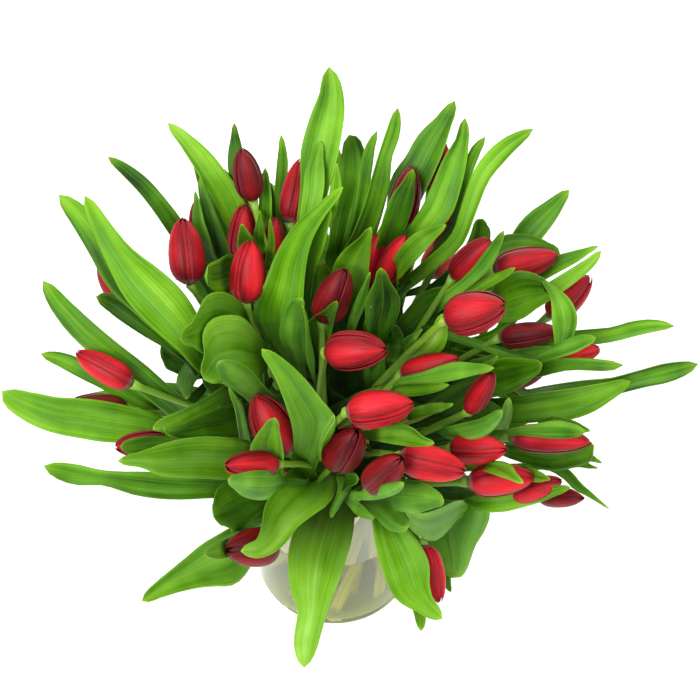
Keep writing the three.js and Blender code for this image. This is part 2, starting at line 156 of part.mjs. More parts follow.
  [8, 2, 0.24, 53.6, -31.1, 234.6, -0.3, 2.2, -0.1, 70.5, -28.7, 236.6, -0.5, 3.3, -0.1, 137.3, -17.2, 240.1, 1, 3.6, 0.5, 160.3, -50.8, 289.5, -0.8, 6, 5.7, 184.5, -67.9, 317.4, -2.8, 5.5, 8, 196, -71.9, 331.8, -3.6, 4.7, 7.5, 202.8, -76.1, 351, 0, 0.3, 0.2],
  [4, 2, -0.24, -80.5, 20.5, 255.7, -0.8, 1.5, 1.4, -78.8, 9.9, 268.2, -1.6, 3.6, 1.4, -79, 6.6, 298.5, -2.7, 7.2, 0.9, -95.4, -46.4, 363.9, -1.7, 4.9, 0.6, -111.9, -83, 403.7, -1.8, 5, 1.1, -120.2, -98.5, 421.8, -1.6, 4.5, 1.2, -126.4, -113.5, 440.4, -0.1, 0.3, 0.1],
  [12, 2, 0.20, -12.3, -35.7, 234.8, -0.7, -1.9, -0.7, -3.8, -38.9, 234.7, -1.8, -3.5, -1.4, 21, -55.5, 238.2, -5, -4.4, -4.1, 36, -92.3, 286.6, -5.7, -6.7, -5.2, 48.9, -123.8, 323.2, -5.5, -7.5, -5.7, 54, -138.8, 341.9, -2.8, -5, -4, 58.1, -151.2, 362.4, -0.1, -0.2, -0.2],
  [3, 2, -0.24, -56.3, 65.4, 293.4, 0.2, 1.3, 1.8, -66, 52.6, 304.1, 0.7, 3.2, 2.7, -65.8, 29.2, 346.6, 2.2, 9.8, 1.3, -78.8, -7.1, 421.3, 2.6, 21, 2.9, -92.7, -44.3, 461.9, 0.3, 17.2, 2.4, -98.5, -59.7, 480.5, 0.4, 8.1, 1.5, -104.3, -73.8, 498.4, 0, 0.3, 0.1],
  [15, 2, 0.24, -7.9, -2.4, 320.5, -1, 0.2, -1.9, -21.5, -7.1, 327.6, -2.9, 0.2, -3, -34.9, 10.8, 352.7, -11.8, 2.9, -4.5, -36.7, 21.7, 417.8, -15.3, 4, -5.2, -21.1, 40.3, 467.7, -7.9, 3.8, -2, -6.4, 44.2, 492.2, -4.2, 2.3, -0.9, 9.2, 47, 515.2, -0.3, 0.1, -0.1],
  [0, 2, 0.24, 109, 8.3, 286.7, -0.2, 1.5, 1.6, 117.4, 4.9, 291.2, 1.4, 1.8, 3, 189.1, -40, 272, -0.1, 3.2, 2.7, 194.9, -60.3, 309.3, 0.6, 3.8, 1.4, 202.2, -74.4, 329, 0.9, 3, 0.7, 205.5, -81.5, 337.5, 0.5, 1.6, 0.3, 208.6, -88.5, 345.6, 0.1, 0.3, 0.1],
  [0, 2, 0.24, 77.9, 6.1, 269.5, -0.1, 2.1, 0.5, 66, 3, 281.2, -0.8, 3.3, 1.7, 60.2, -23, 307.8, -1.2, 3.6, 1.9, 70, -55.5, 368.6, -1.2, 3.8, 2.1, 79.3, -80.1, 414.5, -0.9, 3, 1.7, 83.6, -91.7, 435.8, -0.6, 1.7, 1, 87.4, -102.5, 456.7, -0.1, 0.2, 0.1],
  [15, 2, 0.24, -9.6, -15.1, 262.3, -1.5, 0.9, -1.3, -12.1, -11.5, 267.6, -2.6, 2.2, -0.6, -4.7, -9.7, 284.6, -2.5, 2.8, 0.9, 25.6, -25.2, 344.6, -1.5, 1.9, 0.8, 57.7, -47.1, 385.4, -1.2, 4.4, 1.9, 73.2, -57, 404.2, -0.8, 3.6, 1.6, 87.5, -65.5, 422.7, -0.1, 0.3, 0.1],
  [9, 2, 0.24, 85.6, 15.7, 310.3, -1.9, 0.8, -0.8, 79.1, 16.1, 326.2, -2, 0.5, 1.6, 117.6, -2.6, 337.8, -2.1, 0.7, 1.9, 116, -45.3, 413.8, -1.7, 0.7, 1.5, 116.6, -67, 456.7, -1.4, 0.8, 1.1, 117.1, -76.7, 475.6, -0.8, 0.4, 0.6, 117.4, -85.8, 493.7, -0.2, 0.1, 0.2],
  [14, 2, 0.24, 29.3, 48.2, 307.7, -2, 0.9, 0.5, 24.8, 28.4, 325.6, -3.8, 1.3, 1.3, 36, 15.2, 353.2, -5.6, 1.9, 1.4, 37.5, -9.7, 427.5, -11.4, 0.2, 2.7, 38.2, -21.9, 479.9, -9.9, -0.4, 1.9, 37.2, -28.3, 504.1, -5, -0.2, 0.8, 35.9, -34.7, 527.6, -0.3, 0, 0],
  [14, 2, -0.20, 24.7, 35.7, 300, -1.4, 0.9, -1.4, 18.3, 35.3, 306.3, -3.3, 1.7, -1.9, 13.1, 37.4, 323.9, -4.5, 2.2, -0.3, 17.6, 12.9, 395, -3.8, 1.5, 0.3, 24.1, -1.4, 446.7, -3.3, 1.1, 0.4, 26.5, -7.7, 470.6, -1.8, 0.6, 0.2, 28.7, -13.9, 493.7, -0.3, 0.1, 0],
  [1, 2, 0.24, 40.9, 52, 246.7, -1.8, 0.3, -1.2, 35.1, 54, 255.9, -2.9, 0.5, -1.3, 28, 65.9, 278.8, -3.4, 0.5, 0.8, 27.9, 28.9, 353.4, -3, 0.5, 0.5, 29.1, 6.7, 403.6, -2.8, 0.4, 0.4, 29.4, -3.3, 426.4, -1.7, 0.3, 0.2, 30, -13.3, 448.5, -0.3, 0.1, 0],
  [8, 2, 0.24, 80.3, -54.4, 262.6, -0.4, 2.2, 0, 99.7, -50.7, 268.9, -0.2, 3.3, 0.1, 194, -49.4, 273.6, 1, 3.5, 0.5, 198.9, -74.9, 318.6, 0.7, 2.4, 0.5, 203.2, -86.9, 336, 0.3, 1, 0.4, 205.3, -92.3, 344.5, 0.1, 0.3, 0.1],
  [10, 2, 0.24, -12.9, 34.4, 236.4, -2.1, 0.5, 0.1, -12.7, 33.1, 247.4, -4.1, 1, 0.2, -14.1, 28.2, 293.7, -5, 1.5, -0.7, -13.6, 11.8, 358.3, -9.3, 3.2, -0.5, -6.2, -0.2, 410.2, -7.5, 3.3, 0.2, -0.2, -7.5, 434.3, -3.9, 1.4, 0.2, 4.7, -14, 457.2, -0.3, 0.1, 0],
  [1, 2, 0.24, 60.1, 96.2, 309, -0.3, 2.1, 0.4, 54.3, 92.8, 323.8, -0.8, 3.9, 1.3, 49.6, 63.4, 385.6, -1.5, 7.6, 1.1, 59.2, 40.2, 442.9, -3.7, 8.7, 0.9, 71.4, 29.4, 477.2, -2.7, 6.1, 0.6, 77.8, 23.6, 492.7, -1.5, 3.3, 0.3, 83.8, 18.1, 507.5, -0.1, 0.3, 0],
  [8, 2, 0.24, 89.2, -50.4, 259, 0.3, 1.2, 1.8, 97.2, -59.4, 263.8, 0.5, 2.3, 3.5, 111.4, -87.8, 284.2, 0.6, 3.7, 5.8, 133.2, -113.6, 332.5, -0.3, 5.7, 7.9, 157.6, -115.6, 345, -0.7, 4.1, 5, 168.4, -119.2, 357.6, -0.5, 2.5, 2.9, 178.3, -124.3, 373.2, 0, 0.2, 0.2],
  [9, 2, 0.24, 67, 16.5, 286.9, -1.5, 0.8, -1.4, 51, 15.7, 304.4, -3.7, 1.2, -1.6, 46.2, -8, 329, -5.3, -0.9, 2.3, 61.5, -23.3, 387, -7.4, 0.1, 3, 78, -32.3, 428.8, -7.6, 0.4, 3, 80.6, -34.3, 451.4, -5.1, -0.1, 1.8, 80.8, -37.6, 474.9, -0.3, 0, 0.1],
  [4, 2, -0.24, -106.7, -6.9, 276.3, -0.5, 1.1, 1.8, -104.9, -15.9, 282.4, -1, 1.5, 3.8, -120.1, -37.5, 282.5, 0, 4, 2.8, -129.6, -75, 352.6, 0.1, 4.4, 2.7, -141.1, -98.9, 391.8, 0, 5.1, 3, -146.7, -110.1, 409, 0.1, 4.5, 2.8, -150.3, -120.4, 427.3, 0, 0.3, 0.2],
  [6, 2, -0.24, -21.9, -62.2, 237.9, -0.5, 2.2, -0.1, -23.9, -62.3, 244.2, -0.7, 4.1, -0.4, -46.7, -63.7, 255.4, -4.9, 5.5, 3.7, -63.6, -99.8, 311.3, -7.1, 11.1, 7.4, -78.6, -130, 349.4, -7.5, 12.5, 8.1, -82.5, -144.6, 368.7, -4, 7, 4.7, -84.3, -157.8, 389.8, -0.1, 0.2, 0.1],
  [12, 2, -0.24, -11.5, -36, 233.9, -1.7, -1.4, 0, -8.2, -40.1, 235.1, -3.9, -1.6, -0.1, -0.7, -61.9, 236.1, -16.7, -0.3, -1.2, -12.1, -116.7, 242.7, -23.9, 2, -1.3, -16.1, -163, 234.6, -11.5, 1, -0.2, -20.6, -184.3, 226, -10, 1, -0.5, -22.3, -204.6, 220, -3.2, 0.2, -1.6],
  [7, 2, -0.24, 35.1, -68, 240.4, -2.1, 0.6, -0.1, 35.5, -65.6, 251.1, -4, 1.1, 0.5, 37.2, -77.1, 263.1, -8.2, -0.4, 4.3, 51.3, -122.5, 276.6, -15.7, -6.8, 1.8, 62.9, -161.1, 276.1, -13.6, -6.7, -4.9, 72.8, -176.7, 278.4, -6.2, -3.4, -3.5, 85.2, -190.1, 281.9, -0.2, -0.1, -0.1],
  [8, 4, 0.24, 60.8, -31.1, 236.6, 1.8, 0, -1.2, 62.5, -25.8, 239.2, 2.2, -0.5, -1.8, 66.8, -16.9, 239.7, 0.4, -3.2, -2.6, 81.4, -20, 235.1, -3, -5, -1.6, 122.2, -29.6, 175, -6.5, -8.6, -0.5, 97.3, -82.9, 244.5, -3.4, -9.9, -8.9, 73.2, -111.5, 287.7, -4.5, -7.6, -5.8, 62.6, -119.5, 312.2, -3.3, -3.9, -2.5, 54.8, -124, 335.8, -0.2, -0.2, -0.1],
  [10, 2, 0.24, -13.9, 53.4, 269.4, -2, 0.8, -0.3, -18.7, 46.1, 284.6, -3.5, 1.4, -0.6, -20.9, 57.5, 324.9, -3.8, 1.7, -1, -18.2, 44, 400, -2.9, 1.7, -0.6, -10.6, 44, 450, -5.2, 3.1, -1, -5.4, 44, 473, -3.6, 2.2, -0.6, 0.3, 43.1, 495.4, -0.3, 0.2, 0],
  [2, 2, 0.24, -8.9, 84.9, 238.6, -2, 0.9, 0.3, -7.3, 80.6, 266.1, -3.7, 1.7, 0.9, 9.7, 71.2, 332.7, -9.6, 5.4, -2, 13.7, 46.1, 406.2, -13, 6, -0.9, 21.9, 35.9, 452.6, -7.9, 3.6, 0.1, 26.1, 30.9, 473.8, -3.9, 1.5, 0.2, 29.7, 26.6, 493.9, -0.3, 0.1, 0],
  [10, 2, 0.24, 23.3, 69.2, 331.7, -0.1, 2.1, 0.7, 31.6, 69.2, 333.1, -1.3, 3.8, 1.1, 58.6, 80.4, 342.8, -2.8, 4.8, 0.4, 99.6, 82.3, 404.3, -3.4, 6.2, 0.6, 118.9, 119.7, 440.3, -3.4, 7.3, 0.9, 136.7, 136.6, 452, -3.7, 6.8, 0.7, 158.5, 145.5, 464.8, -0.1, 0.3, 0],
  [9, 2, -0.20, 72, 41.6, 341.7, 0.9, 1.7, 1.1, 82.7, 32, 347.7, 1.3, 2.9, 1.6, 155.9, -4.6, 361.1, -0.6, 3.9, 0.5, 177.6, -19.6, 400.8, -1.3, 5.6, 1.4, 192.9, -21.8, 415.8, -0.9, 4.4, 1.1, 199.3, -24.9, 424.2, -0.1, 0.3, 0.1],
  [0, 2, 0.24, 121.2, 33.1, 293.7, 1.7, 1.2, 0.8, 128.6, 20.9, 296, 2.5, 2.5, 1.4, 173.5, -17.8, 290.2, 1.4, 4, 0.5, 180.9, -42.1, 328.8, 1.5, 4.4, 0.6, 190.1, -56.9, 348, 1.2, 3.4, 0.4, 194.2, -64.8, 356.8, 0.7, 2.4, 0.3, 198.2, -71.9, 366.1, 0.1, 0.3, 0],
  [0, 2, 0.24, 89.4, 8.5, 266.3, 0.1, 2.2, 0.4, 100.4, 7.4, 268.9, 1.7, 3.8, 0.8, 179.5, -32.7, 245.3, 1.5, 4.5, 0.6, 193.7, -58.5, 269, 1.8, 4, 0.5, 206.5, -80.2, 280.4, 1.2, 2.4, 0.3, 213.8, -89, 283.8, 0.8, 1.3, 0.1, 221, -97.5, 286.5, 0.1, 0.3, 0],
  [0, 2, 0.24, 69.9, 15.9, 244, 1, -0.3, 1.9, 71.2, 16.2, 243.3, 3, -0.2, 2.9, 75.4, 17.7, 239.3, -7.9, 1, 5, 93.1, -3.3, 291.7, -8.2, 3, 6.4, 109.4, -9, 323.4, -7.7, 4, 5.5, 115.3, -15.4, 346.5, -5.2, 2.5, 3.5, 118.9, -22.9, 370.2, -0.2, 0.1, 0.2],
  [0, 2, 0.24, 69.1, 7.8, 256.6, -1.4, 1.6, -0.6, 72, 14.1, 267.9, -1.8, 3.8, 0.2, 111.4, 19.8, 286.5, -1.4, 10.8, 1.6, 127.3, -16.5, 353, -2.8, 13.6, 4.6, 143.9, -34.8, 392.3, -2.8, 9.5, 4.4, 151.2, -42.9, 410.4, -2, 5.5, 2.9, 156.6, -51.1, 428.9, -0.1, 0.3, 0.1],
  [9, 2, 0.24, 57, 32.7, 303.3, -1.7, 0.5, -1.3, 46.3, 25.8, 314.9, -3.9, 0.3, -1.5, 44.7, -3.2, 346.3, -4.8, -1.9, 1.5, 50.7, 9, 360.6, -6.5, -1.9, 1.5, 50.1, 3, 391.1, -3.3, -1.2, 0.4, 47.9, -6.6, 414.5, -0.3, -0.1, 0],
  [9, 2, -0.20, 50.8, 32.3, 268.8, -1.1, 1.6, -1.1, 40.3, 33.8, 281.9, -2.5, 3.2, -1.1, 56.2, 43, 298.5, -1.6, 4.6, 0.6, 58.5, -4.7, 385, -2.1, 3.9, 0.8, 62.5, -31.6, 436.2, -1.5, 2.1, 0.7, 64.2, -43.6, 459.3, -0.8, 1.1, 0.4, 65.7, -55, 481.4, -0.2, 0.2, 0.1],
  [1, 2, 0.24, 50.7, 83.2, 236.5, 0, 2.1, 0.5, 58, 79.5, 252.4, 0.3, 4, 1.4, 103.9, 60.6, 280.6, 0.1, 4.6, 0.8, 118.5, 33.3, 331.8, -0.7, 4.1, 0.7, 133.9, 26.2, 354.6, -2, 4.1, 1.6, 139.8, 24.3, 368.1, -1.8, 3.1, 1.5, 145, 19.6, 383.9, -0.1, 0.2, 0.1],
  [6, 4, -0.24, -22.4, -61.6, 237.7, 1, 0.8, 1.8, -28.3, -59.1, 239.9, 0.8, 1.3, 2.5, -39.4, -55.6, 240, -1.5, 1.7, 3.5, -48.1, -68.6, 236.4, -3, 1.5, 4.7, -65.7, -95.5, 236, -2.3, 3.1, 5.1, -73.4, -137.3, 304.1, -2, 4, 5.4, -82.5, -164.1, 346.7, -1.2, 4.1, 4.8, -87, -175.2, 367.1, -0.5, 2.7, 3.1, -90.4, -185.5, 387.5, 0, 0.2, 0.2],
  [3, 2, -0.24, -46.7, 73.4, 324.9, 0.1, 2.2, -0.4, -56.1, 74.8, 330.3, 0.8, 4, -1.2, -71.7, 88.8, 349.6, -0.3, 10, 1.6, -80.1, 50.4, 403.8, -0.3, 14.1, 2.3, -89.3, 23.4, 435, 0, 11.3, 1.8, -92.4, 14.1, 448.8, -0.5, 7.9, 1.3, -91.7, 3.5, 463.2, 0, 0.8, 0.1],
  [11, 2, -0.24, -76.5, 25.8, 315.7, -1.1, 1, 1.6, -82.9, 2.8, 325.2, -1.6, 3, 2.4, -99.3, 6.2, 337.6, 2, 11.5, 1.5, -127.6, 15.3, 404.5, 11.8, 11.5, 7.7, -162.6, 42.3, 436.2, 8.7, 4.5, 6.8, -177, 60.8, 449.9, 6.6, 1.8, 5.5, -188.5, 78.3, 465, 0.2, 0.1, 0.2],
  [4, 2, -0.24, -113, -8.6, 280.5, 1.8, 1.3, 0.2, -109.4, -15.7, 293.1, 3.5, 2.1, 1, -114.3, -30.1, 318.1, 6.8, 3.2, 7.2, -151.3, -26.1, 374.5, 8, 3.2, 7.7, -190.7, -2.4, 398.8, 8.3, 2.7, 7.2, -208.3, 13.5, 409.4, 6.8, 1.8, 5.4, -221.8, 27.6, 424.3, 0.2, 0.1, 0.2],
  [4, 2, -0.24, -81.2, 19.1, 255.5, -1, 1.5, 1.3, -89.7, 4.5, 265.6, -1.6, 3.2, 2.2, -129.6, -23.7, 286.5, -0.3, 7.5, 1.8, -173.2, -40.6, 324.6, 3.2, 11.6, 10.9, -220.4, -38.8, 334.1, 5.7, 7.9, 12.8, -243, -31.6, 338.5, 5.3, 5.9, 9.7, -259.2, -28.8, 354.4, 0.1, 0.1, 0.2],
  [7, 4, -0.24, 29, -61.5, 235.8, 0.5, -1.8, 1.2, 31.9, -59, 238.4, 0.6, -2.4, 1.5, 35.3, -57.6, 239.3, -2.8, -2.9, 1.4, 44.5, -72.1, 236.7, -4.2, -3.7, 2.1, 57.7, -93.5, 221.3, -11.8, -1.7, 5.2, 65.1, -130.8, 243, -11.7, -2.3, 4.7, 68.8, -161.1, 251, -7.2, -1.2, 3, 69.7, -175.6, 254.1, -4.4, -0.7, 1.9, 69.9, -189.7, 257.9, -0.3, 0, 0.1],
  [10, 2, 0.24, -28.2, 88.8, 340.7, -2, 0.8, -0.2, -34.8, 76.3, 356.5, -3.8, 1.5, -0.1, -23.8, 96.1, 387.9, -4.1, 1.1, -1.5, -14.6, 112.8, 430.1, -8.3, 3.5, -2.2, -12, 136.8, 442, -4.7, 2.3, -1.1, -8.8, 147.6, 447.8, -0.3, 0.1, -0.1],
  [1, 2, 0.24, 59, 96.3, 309.2, -1.8, -0.8, -0.9, 53.3, 96.4, 321.3, -3.8, -1.6, -1, 44.5, 91, 375.1, -9.1, -4.2, 2.3, 53.1, 97.8, 423.4, -9.9, -2.1, 4, 60.6, 109.2, 443.5, -4.7, -0.8, 1.9, 63.7, 114.3, 453.4, -0.3, 0, 0.1],
  [1, 2, 0.24, 59.1, 95.1, 309, -1.6, 1.4, -0.5, 57.1, 97.5, 321.7, -3.1, 2.8, -0.1, 62, 95.8, 377.5, -5.2, 4.4, -0.5, 84, 99.4, 422.7, -10.5, 6.2, 1.2, 96.9, 126.4, 445.9, -8.9, 2.3, 2.7, 103, 141.6, 455, -5.4, -0.4, 2.6, 105.3, 156.7, 464.9, -0.3, 0, 0.1],
  [1, 2, 0.24, 71.9, 85.3, 313.1, 0.1, 2.2, 0.2, 81.2, 83.9, 324, 0.3, 4.2, 0.5, 121.1, 75.5, 366.1, 1.1, 9.4, 1.5, 151.8, 92.1, 374.6, -0.8, 16.6, 2.7, 174.5, 86.6, 380.8, 0.2, 8, 1.3, 183.5, 80.7, 387.1, 0, 0.3, 0],
  [0, 2, 0.24, 122.3, 32.8, 292.5, -0.9, 2, -0.2, 124.1, 35.3, 307.3, -1.6, 3.8, -0.5, 151, 52.4, 348.5, -1.7, 7.2, 1, 183.7, 55.4, 382.4, -2.9, 5.3, 1.5, 206.5, 69.7, 389.9, -3.2, 1.5, 3.3, 215.3, 77.7, 395.2, -0.2, 0.1, 0.2],
  [3, 2, 0.24, -44.7, 65.7, 301.3, -1.7, 0.4, -1.3, -55.3, 67.6, 315.6, -3.6, 0.9, -1.9, -67.6, 90.7, 366.5, -8.4, 2.9, -2.6, -66.1, 67.8, 414.5, -7.8, 2, -2.8, -66.6, 58.1, 442.7, -4.8, 1, -1.8, -66.9, 53.2, 456.1, -2.5, 0.5, -0.8, -67, 48.5, 468.9, -0.3, 0.1, -0.1],
  [3, 2, 0.24, -73.8, 74.7, 284.4, -2.1, 0.5, 0, -74.9, 71.5, 305.3, -3.2, 0.7, 0.3, -58.6, 89.1, 383.8, -3.3, 0.9, -1.2, -56.5, 66.8, 430.2, -3.9, 1.1, -1.4, -54.2, 56.8, 459.1, -2.5, 0.6, -0.8, -53.5, 52.9, 471.8, -1.3, 0.3, -0.4, -52.8, 49.3, 483.8, -0.3, 0.1, -0.1],
  [3, 2, 0.24, -77.9, 78, 292.8, -2.2, 0.4, 0.3, -77.1, 73.4, 306, -3.1, 0.5, 1, -53, 84.3, 360, -3.4, 0.9, -1.2, -47.9, 58.9, 418, -3.1, 0.7, -1.1, -45.7, 49.4, 452.8, -2.4, 0.3, -0.6, -45.5, 45.8, 468.2, -1.5, 0.2, -0.3, -45.2, 42.5, 482.8, -0.3, 0, -0.1],
  [9, 2, -0.20, 46.4, 17.9, 256.3, -1.8, 0.1, -1.3, 36.9, 18.2, 269.6, -3.9, 0.2, -1.5, 35.5, 7.5, 293.9, -6.3, -1.4, 2.4, 33.9, -9.4, 341.6, -8.4, 0.3, 1.9, 36.1, -11.1, 362.9, -6.6, 1.1, 1.4, 38, -12.8, 372.4, -3.4, 0.7, 0.7, 39.8, -19.4, 389.2, -0.3, 0.1, 0.1],
  [1, 2, 0.24, 43.2, 66.7, 234.6, -1.2, 1.9, -0.1, 42.7, 67, 251.2, -2.2, 3.6, 0.3, 50.4, 67, 275.6, -3.4, 5.8, 0.5, 69.3, 53.4, 333.8, -6.7, 12.2, 1.2, 92.8, 48.1, 366.8, -5.5, 11.3, 1.9, 104.4, 40.4, 386.9, -3.3, 7.5, 1.5, 114.1, 33.7, 407.6, 0.1, 2.5, 0.5],
  [0, 2, -0.20, 70.1, 8, 257.9, -1.6, 1.2, -0.9, 72.6, 18, 266.6, -2.3, 3.5, -0.7, 109.4, 33.8, 286.4, -0.7, 5.5, 0.8, 131.4, 14.9, 330.7, -0.6, 5.7, 0.9, 155.5, 10.3, 347.3, -0.5, 5.7, 1, 167.1, 6.9, 356.4, -0.3, 4.5, 0.8, 177.8, 1.3, 367.3, 0, 0.3, 0.1],
  [11, 2, -0.24, -77.8, 25.3, 316.2, 1.4, 0.2, 1.7, -85, 4.2, 325, 2.4, 0.1, 3.4, -109.8, 11.2, 335.8, 5.5, -0.6, 2.5, -145.5, 20.8, 396.1, 7.9, 1.4, 5.6, -176.6, 50.9, 432.8, 9.2, 2.6, 7.6, -192.1, 69.4, 447, 7.4, 2.9, 6.1, -209.7, 83.7, 459.5, 0.2, 0.1, 0.2],
  [4, 2, -0.24, -104.5, 29.2, 278.4, -0.9, 0.9, 1.8, -110.8, 14.8, 282.5, -1.8, 1.8, 3.4, -135.7, -8, 284.2, 0.8, 4.4, 2.4, -165.9, -11, 323.9, 2.3, 6, 4.6, -199, -0.6, 340.2, 1.9, 6, 3.3, -216.4, 6.7, 344, 1.3, 5.5, 2.1, -233.9, 11.2, 346.2, 0.1, 0.3, 0.1],
  [11, 2, -0.24, -39, -0.6, 236.1, -1.6, 0.8, 1.3, -46.1, -10.7, 233.9, -2.5, 2.2, 2.6, -81.5, -47.4, 235.5, -3.3, 6.8, 5, -132, -69.7, 272.5, -0.8, 7.4, 8.7, -182.2, -71.5, 289.7, 0.8, 3.8, 5.7, -208.4, -69, 291.8, 2.3, 4.8, 7.4, -230.6, -66.8, 301.7, 0.1, 0.2, 0.2],
  [10, 2, 0.24, -33.6, 60, 317.3, -2, 0.8, -0.3, -31.7, 67.6, 325.1, -3.9, 1.5, -0.6, -23.8, 104.5, 358.9, -6.7, 2.5, -2, -14.5, 120.5, 421.3, -11.3, 3.4, -2.9, -5.2, 155.3, 456.3, -14.1, 1.9, -1.6, -0.5, 175.2, 470.2, -9.7, -2.1, 1.4, -2.3, 192.8, 484.5, -0.3, -0.1, 0],
  [10, 2, 0.24, 20.9, 65, 324.4, -1.9, -0.8, 0.7, 20.8, 72, 331.3, -3.7, -1.4, 1.4, 19.3, 101.2, 357.7, -11.6, -5.2, 3, 33.8, 111.1, 409.6, -8.6, -3.9, 2.2, 42.4, 139.8, 437.8, -5.6, -2.2, 1.6, 48.9, 156, 448.5, -5.5, -1.4, 2, 52.7, 173.2, 458.1, -0.3, -0.1, 0.1],
  [1, 2, 0.24, 71.3, 84.8, 314.7, -1.5, 0.2, 1.6, 80.7, 88.5, 323, -3.2, 0.2, 2.7, 112.1, 91.3, 363.5, -7.6, 0.3, 4.4, 118.1, 86.2, 399.8, -7.8, 0.1, 4.3, 117.9, 86.9, 419, -4.4, 1.1, 2.2, 118.9, 84.3, 428.4, -0.3, 0.1, 0.1],
  [1, 2, 0.24, 60.1, 95.8, 308.6, -0.2, 2.1, 0.6, 77.4, 94.5, 318.1, 0, 4, 1.3, 159.8, 77.5, 357.6, -1.7, 7.7, 1.2, 186.3, 78.1, 380.4, -1.7, 6.5, 0.9, 205.5, 85.6, 384.4, -0.8, 2.9, 0.4, 215.3, 90.6, 384.5, -0.1, 0.3, 0],
  [0, 2, 0.24, 96.7, 8.4, 272.8, -2, 0.8, -0.4, 97.1, 13.4, 280.2, -0.6, 3.3, 2.5, 133.3, 2.7, 272.8, -1.5, 9.3, 4, 170.2, -12.6, 302.5, -3.1, 9, 7.9, 207.8, -11.4, 313.6, -4.1, 6.4, 9.9, 225.6, -6.4, 318.9, -2.9, 3.8, 6.2, 241.9, -1.5, 325.5, -0.1, 0.1, 0.2],
  [0, 2, 0.24, 93.7, 24, 268.1, -0.8, 0.9, -1.9, 96.8, 32.4, 270.5, -1.8, 0.9, -3.7, 102.2, 53.5, 275.9, 1, 6.4, 1, 127.4, 33, 320.2, 0.4, 6.9, 1.1, 153.5, 20.3, 344.6, 0.2, 4.8, 0.8, 166.2, 15.3, 355.8, 0.2, 3.4, 0.6, 178.2, 8.7, 367.6, 0, 0.3, 0],
  [10, 2, 0.24, -7.5, 37.7, 236.8, -0.1, -0.9, 2, -5.7, 34.5, 235.4, 0.2, -2.2, 3.6, 6.5, 27.8, 227.5, -4.3, 1.6, 0.8, 7.9, 12.3, 290.4, -13.9, 6, 2.4, 19.2, -1.7, 340.5, -11.2, 5.8, 2.7, 25.8, -10, 363.3, -5.9, 2.8, 1.5, 31.4, -17.9, 385.5, -0.3, 0.1, 0.1],
  [10, 2, 0.24, -38.8, 66.9, 338.8, -2.1, 0.2, 0.7, -33.7, 77.5, 351.7, -3.3, 0.6, 1.4, -1, 111.7, 399.4, -4, 0.1, -0.1, 3.1, 113, 430.9, -4.6, 0.3, -0.1, 3.8, 119.7, 443.9, -1.9, 0.1, 0, 4.1, 123.3, 449.9, -0.3, 0, 0],
  [3, 2, 0.24, -64.4, 74.4, 325.2, -1.3, 0.7, -1.6, -79.6, 72.1, 336, -2.9, 1.4, -2.7, -100.3, 86.4, 376.5, -5.9, 3, -1.3, -107.4, 100.3, 401.2, -5, 1.9, -1.4, -109, 114.7, 411.5, -2.2, 0.6, -0.7, -110.6, 123.4, 414.6, -0.3, 0.1, -0.1],
  [3, 2, 0.24, -85.2, 85.1, 307.1, -2, 0.8, 0, -85.1, 86.1, 323.5, -3.8, 1.7, 0.7, -54.6, 109.1, 394.9, -5, 1.3, -1.8, -53.6, 116.5, 420, -5, 1.4, -1.8, -53.5, 127, 429, -2.8, 0.8, -1, -53.6, 131.9, 433.2, -0.3, 0.1, -0.1],
  [3, 2, 0.24, -65.1, 74.3, 326, -0.7, -0.8, -1.9, -78.3, 75.5, 330.1, -2.9, -0.9, -2.8, -91, 98.6, 352.9, -7.7, 0, -4.2, -98.9, 110.6, 394.4, -5.5, 0.3, -2.8, -105.7, 128.6, 408, -3.1, 0.4, -1.4, -107.3, 138.4, 413.8, -0.3, 0, -0.1],
  [2, 2, 0.24, -12.3, 105.5, 242.9, -1.8, -1.2, 0.1, -9.4, 103.5, 274.6, -3.4, -2.3, 0.6, 15.6, 105.1, 369.8, -4.5, -3.1, 0.7, 22.9, 114.2, 407.9, -4.3, -1.9, 1.1, 27.6, 137.6, 427.5, -4.8, 0.4, 0.4, 30.3, 151.2, 434.6, -3.8, 1.8, -0.8, 36.1, 163.4, 441.5, -0.3, 0.1, -0.1],
  [3, 2, 0.24, -46.5, 74, 325.5, -1.9, 0.1, -1, -51.1, 82.1, 335, -3.8, 0.7, -1.4, -51.1, 124.6, 371.9, -4.2, 1.1, -1.5, -49.5, 119.1, 405.4, -3.8, 1, -1.3, -48.9, 121.5, 419.1, -1.7, 0.4, -0.6, -48.8, 122.6, 425.7, -0.3, 0.1, -0.1],
  [10, 2, 0.24, 23.7, 69.3, 330.6, -1.6, -1.5, -0.1, 19.4, 73.1, 335.1, -3.4, -2.5, 0.1, 3.6, 99.3, 351.2, -9.1, -5, 1.9, 9.7, 113.2, 392.2, -9.9, -5, 2.2, 16.7, 141.5, 412.8, -10.4, -5.2, 2.4, 17.3, 159.7, 418.6, -9.3, -5, 1.9, 13.5, 166.2, 433.3, -0.3, -0.1, 0.1],
  [1, 2, 0.24, 59.8, 94.8, 308.7, -2, 0.3, -0.9, 56.1, 101.7, 319.4, -3.9, 0.8, -1.2, 50.6, 120.5, 359.6, -7.9, 2.5, 0.8, 60.7, 133.3, 407.8, -13.8, 7.8, -0.6, 79.8, 158.8, 433.2, -10.2, 7.7, -1.2, 90, 171.8, 443.6, -6, 4.6, -0.6, 98.9, 184, 454.3, -0.2, 0.2, 0],
  [1, 2, 0.24, 71.8, 84.3, 313.3, -1.1, 1.6, 1.1, 87.1, 89.5, 320.3, -2, 3, 2.2, 146.4, 103.1, 352.4, -5.7, 5.5, 2.4, 168.4, 113.7, 386.4, -7.7, 6.7, 3.4, 185.5, 129.3, 395.5, -3.7, 3.8, 1.3, 193.3, 135.8, 400.2, -0.2, 0.2, 0.1],
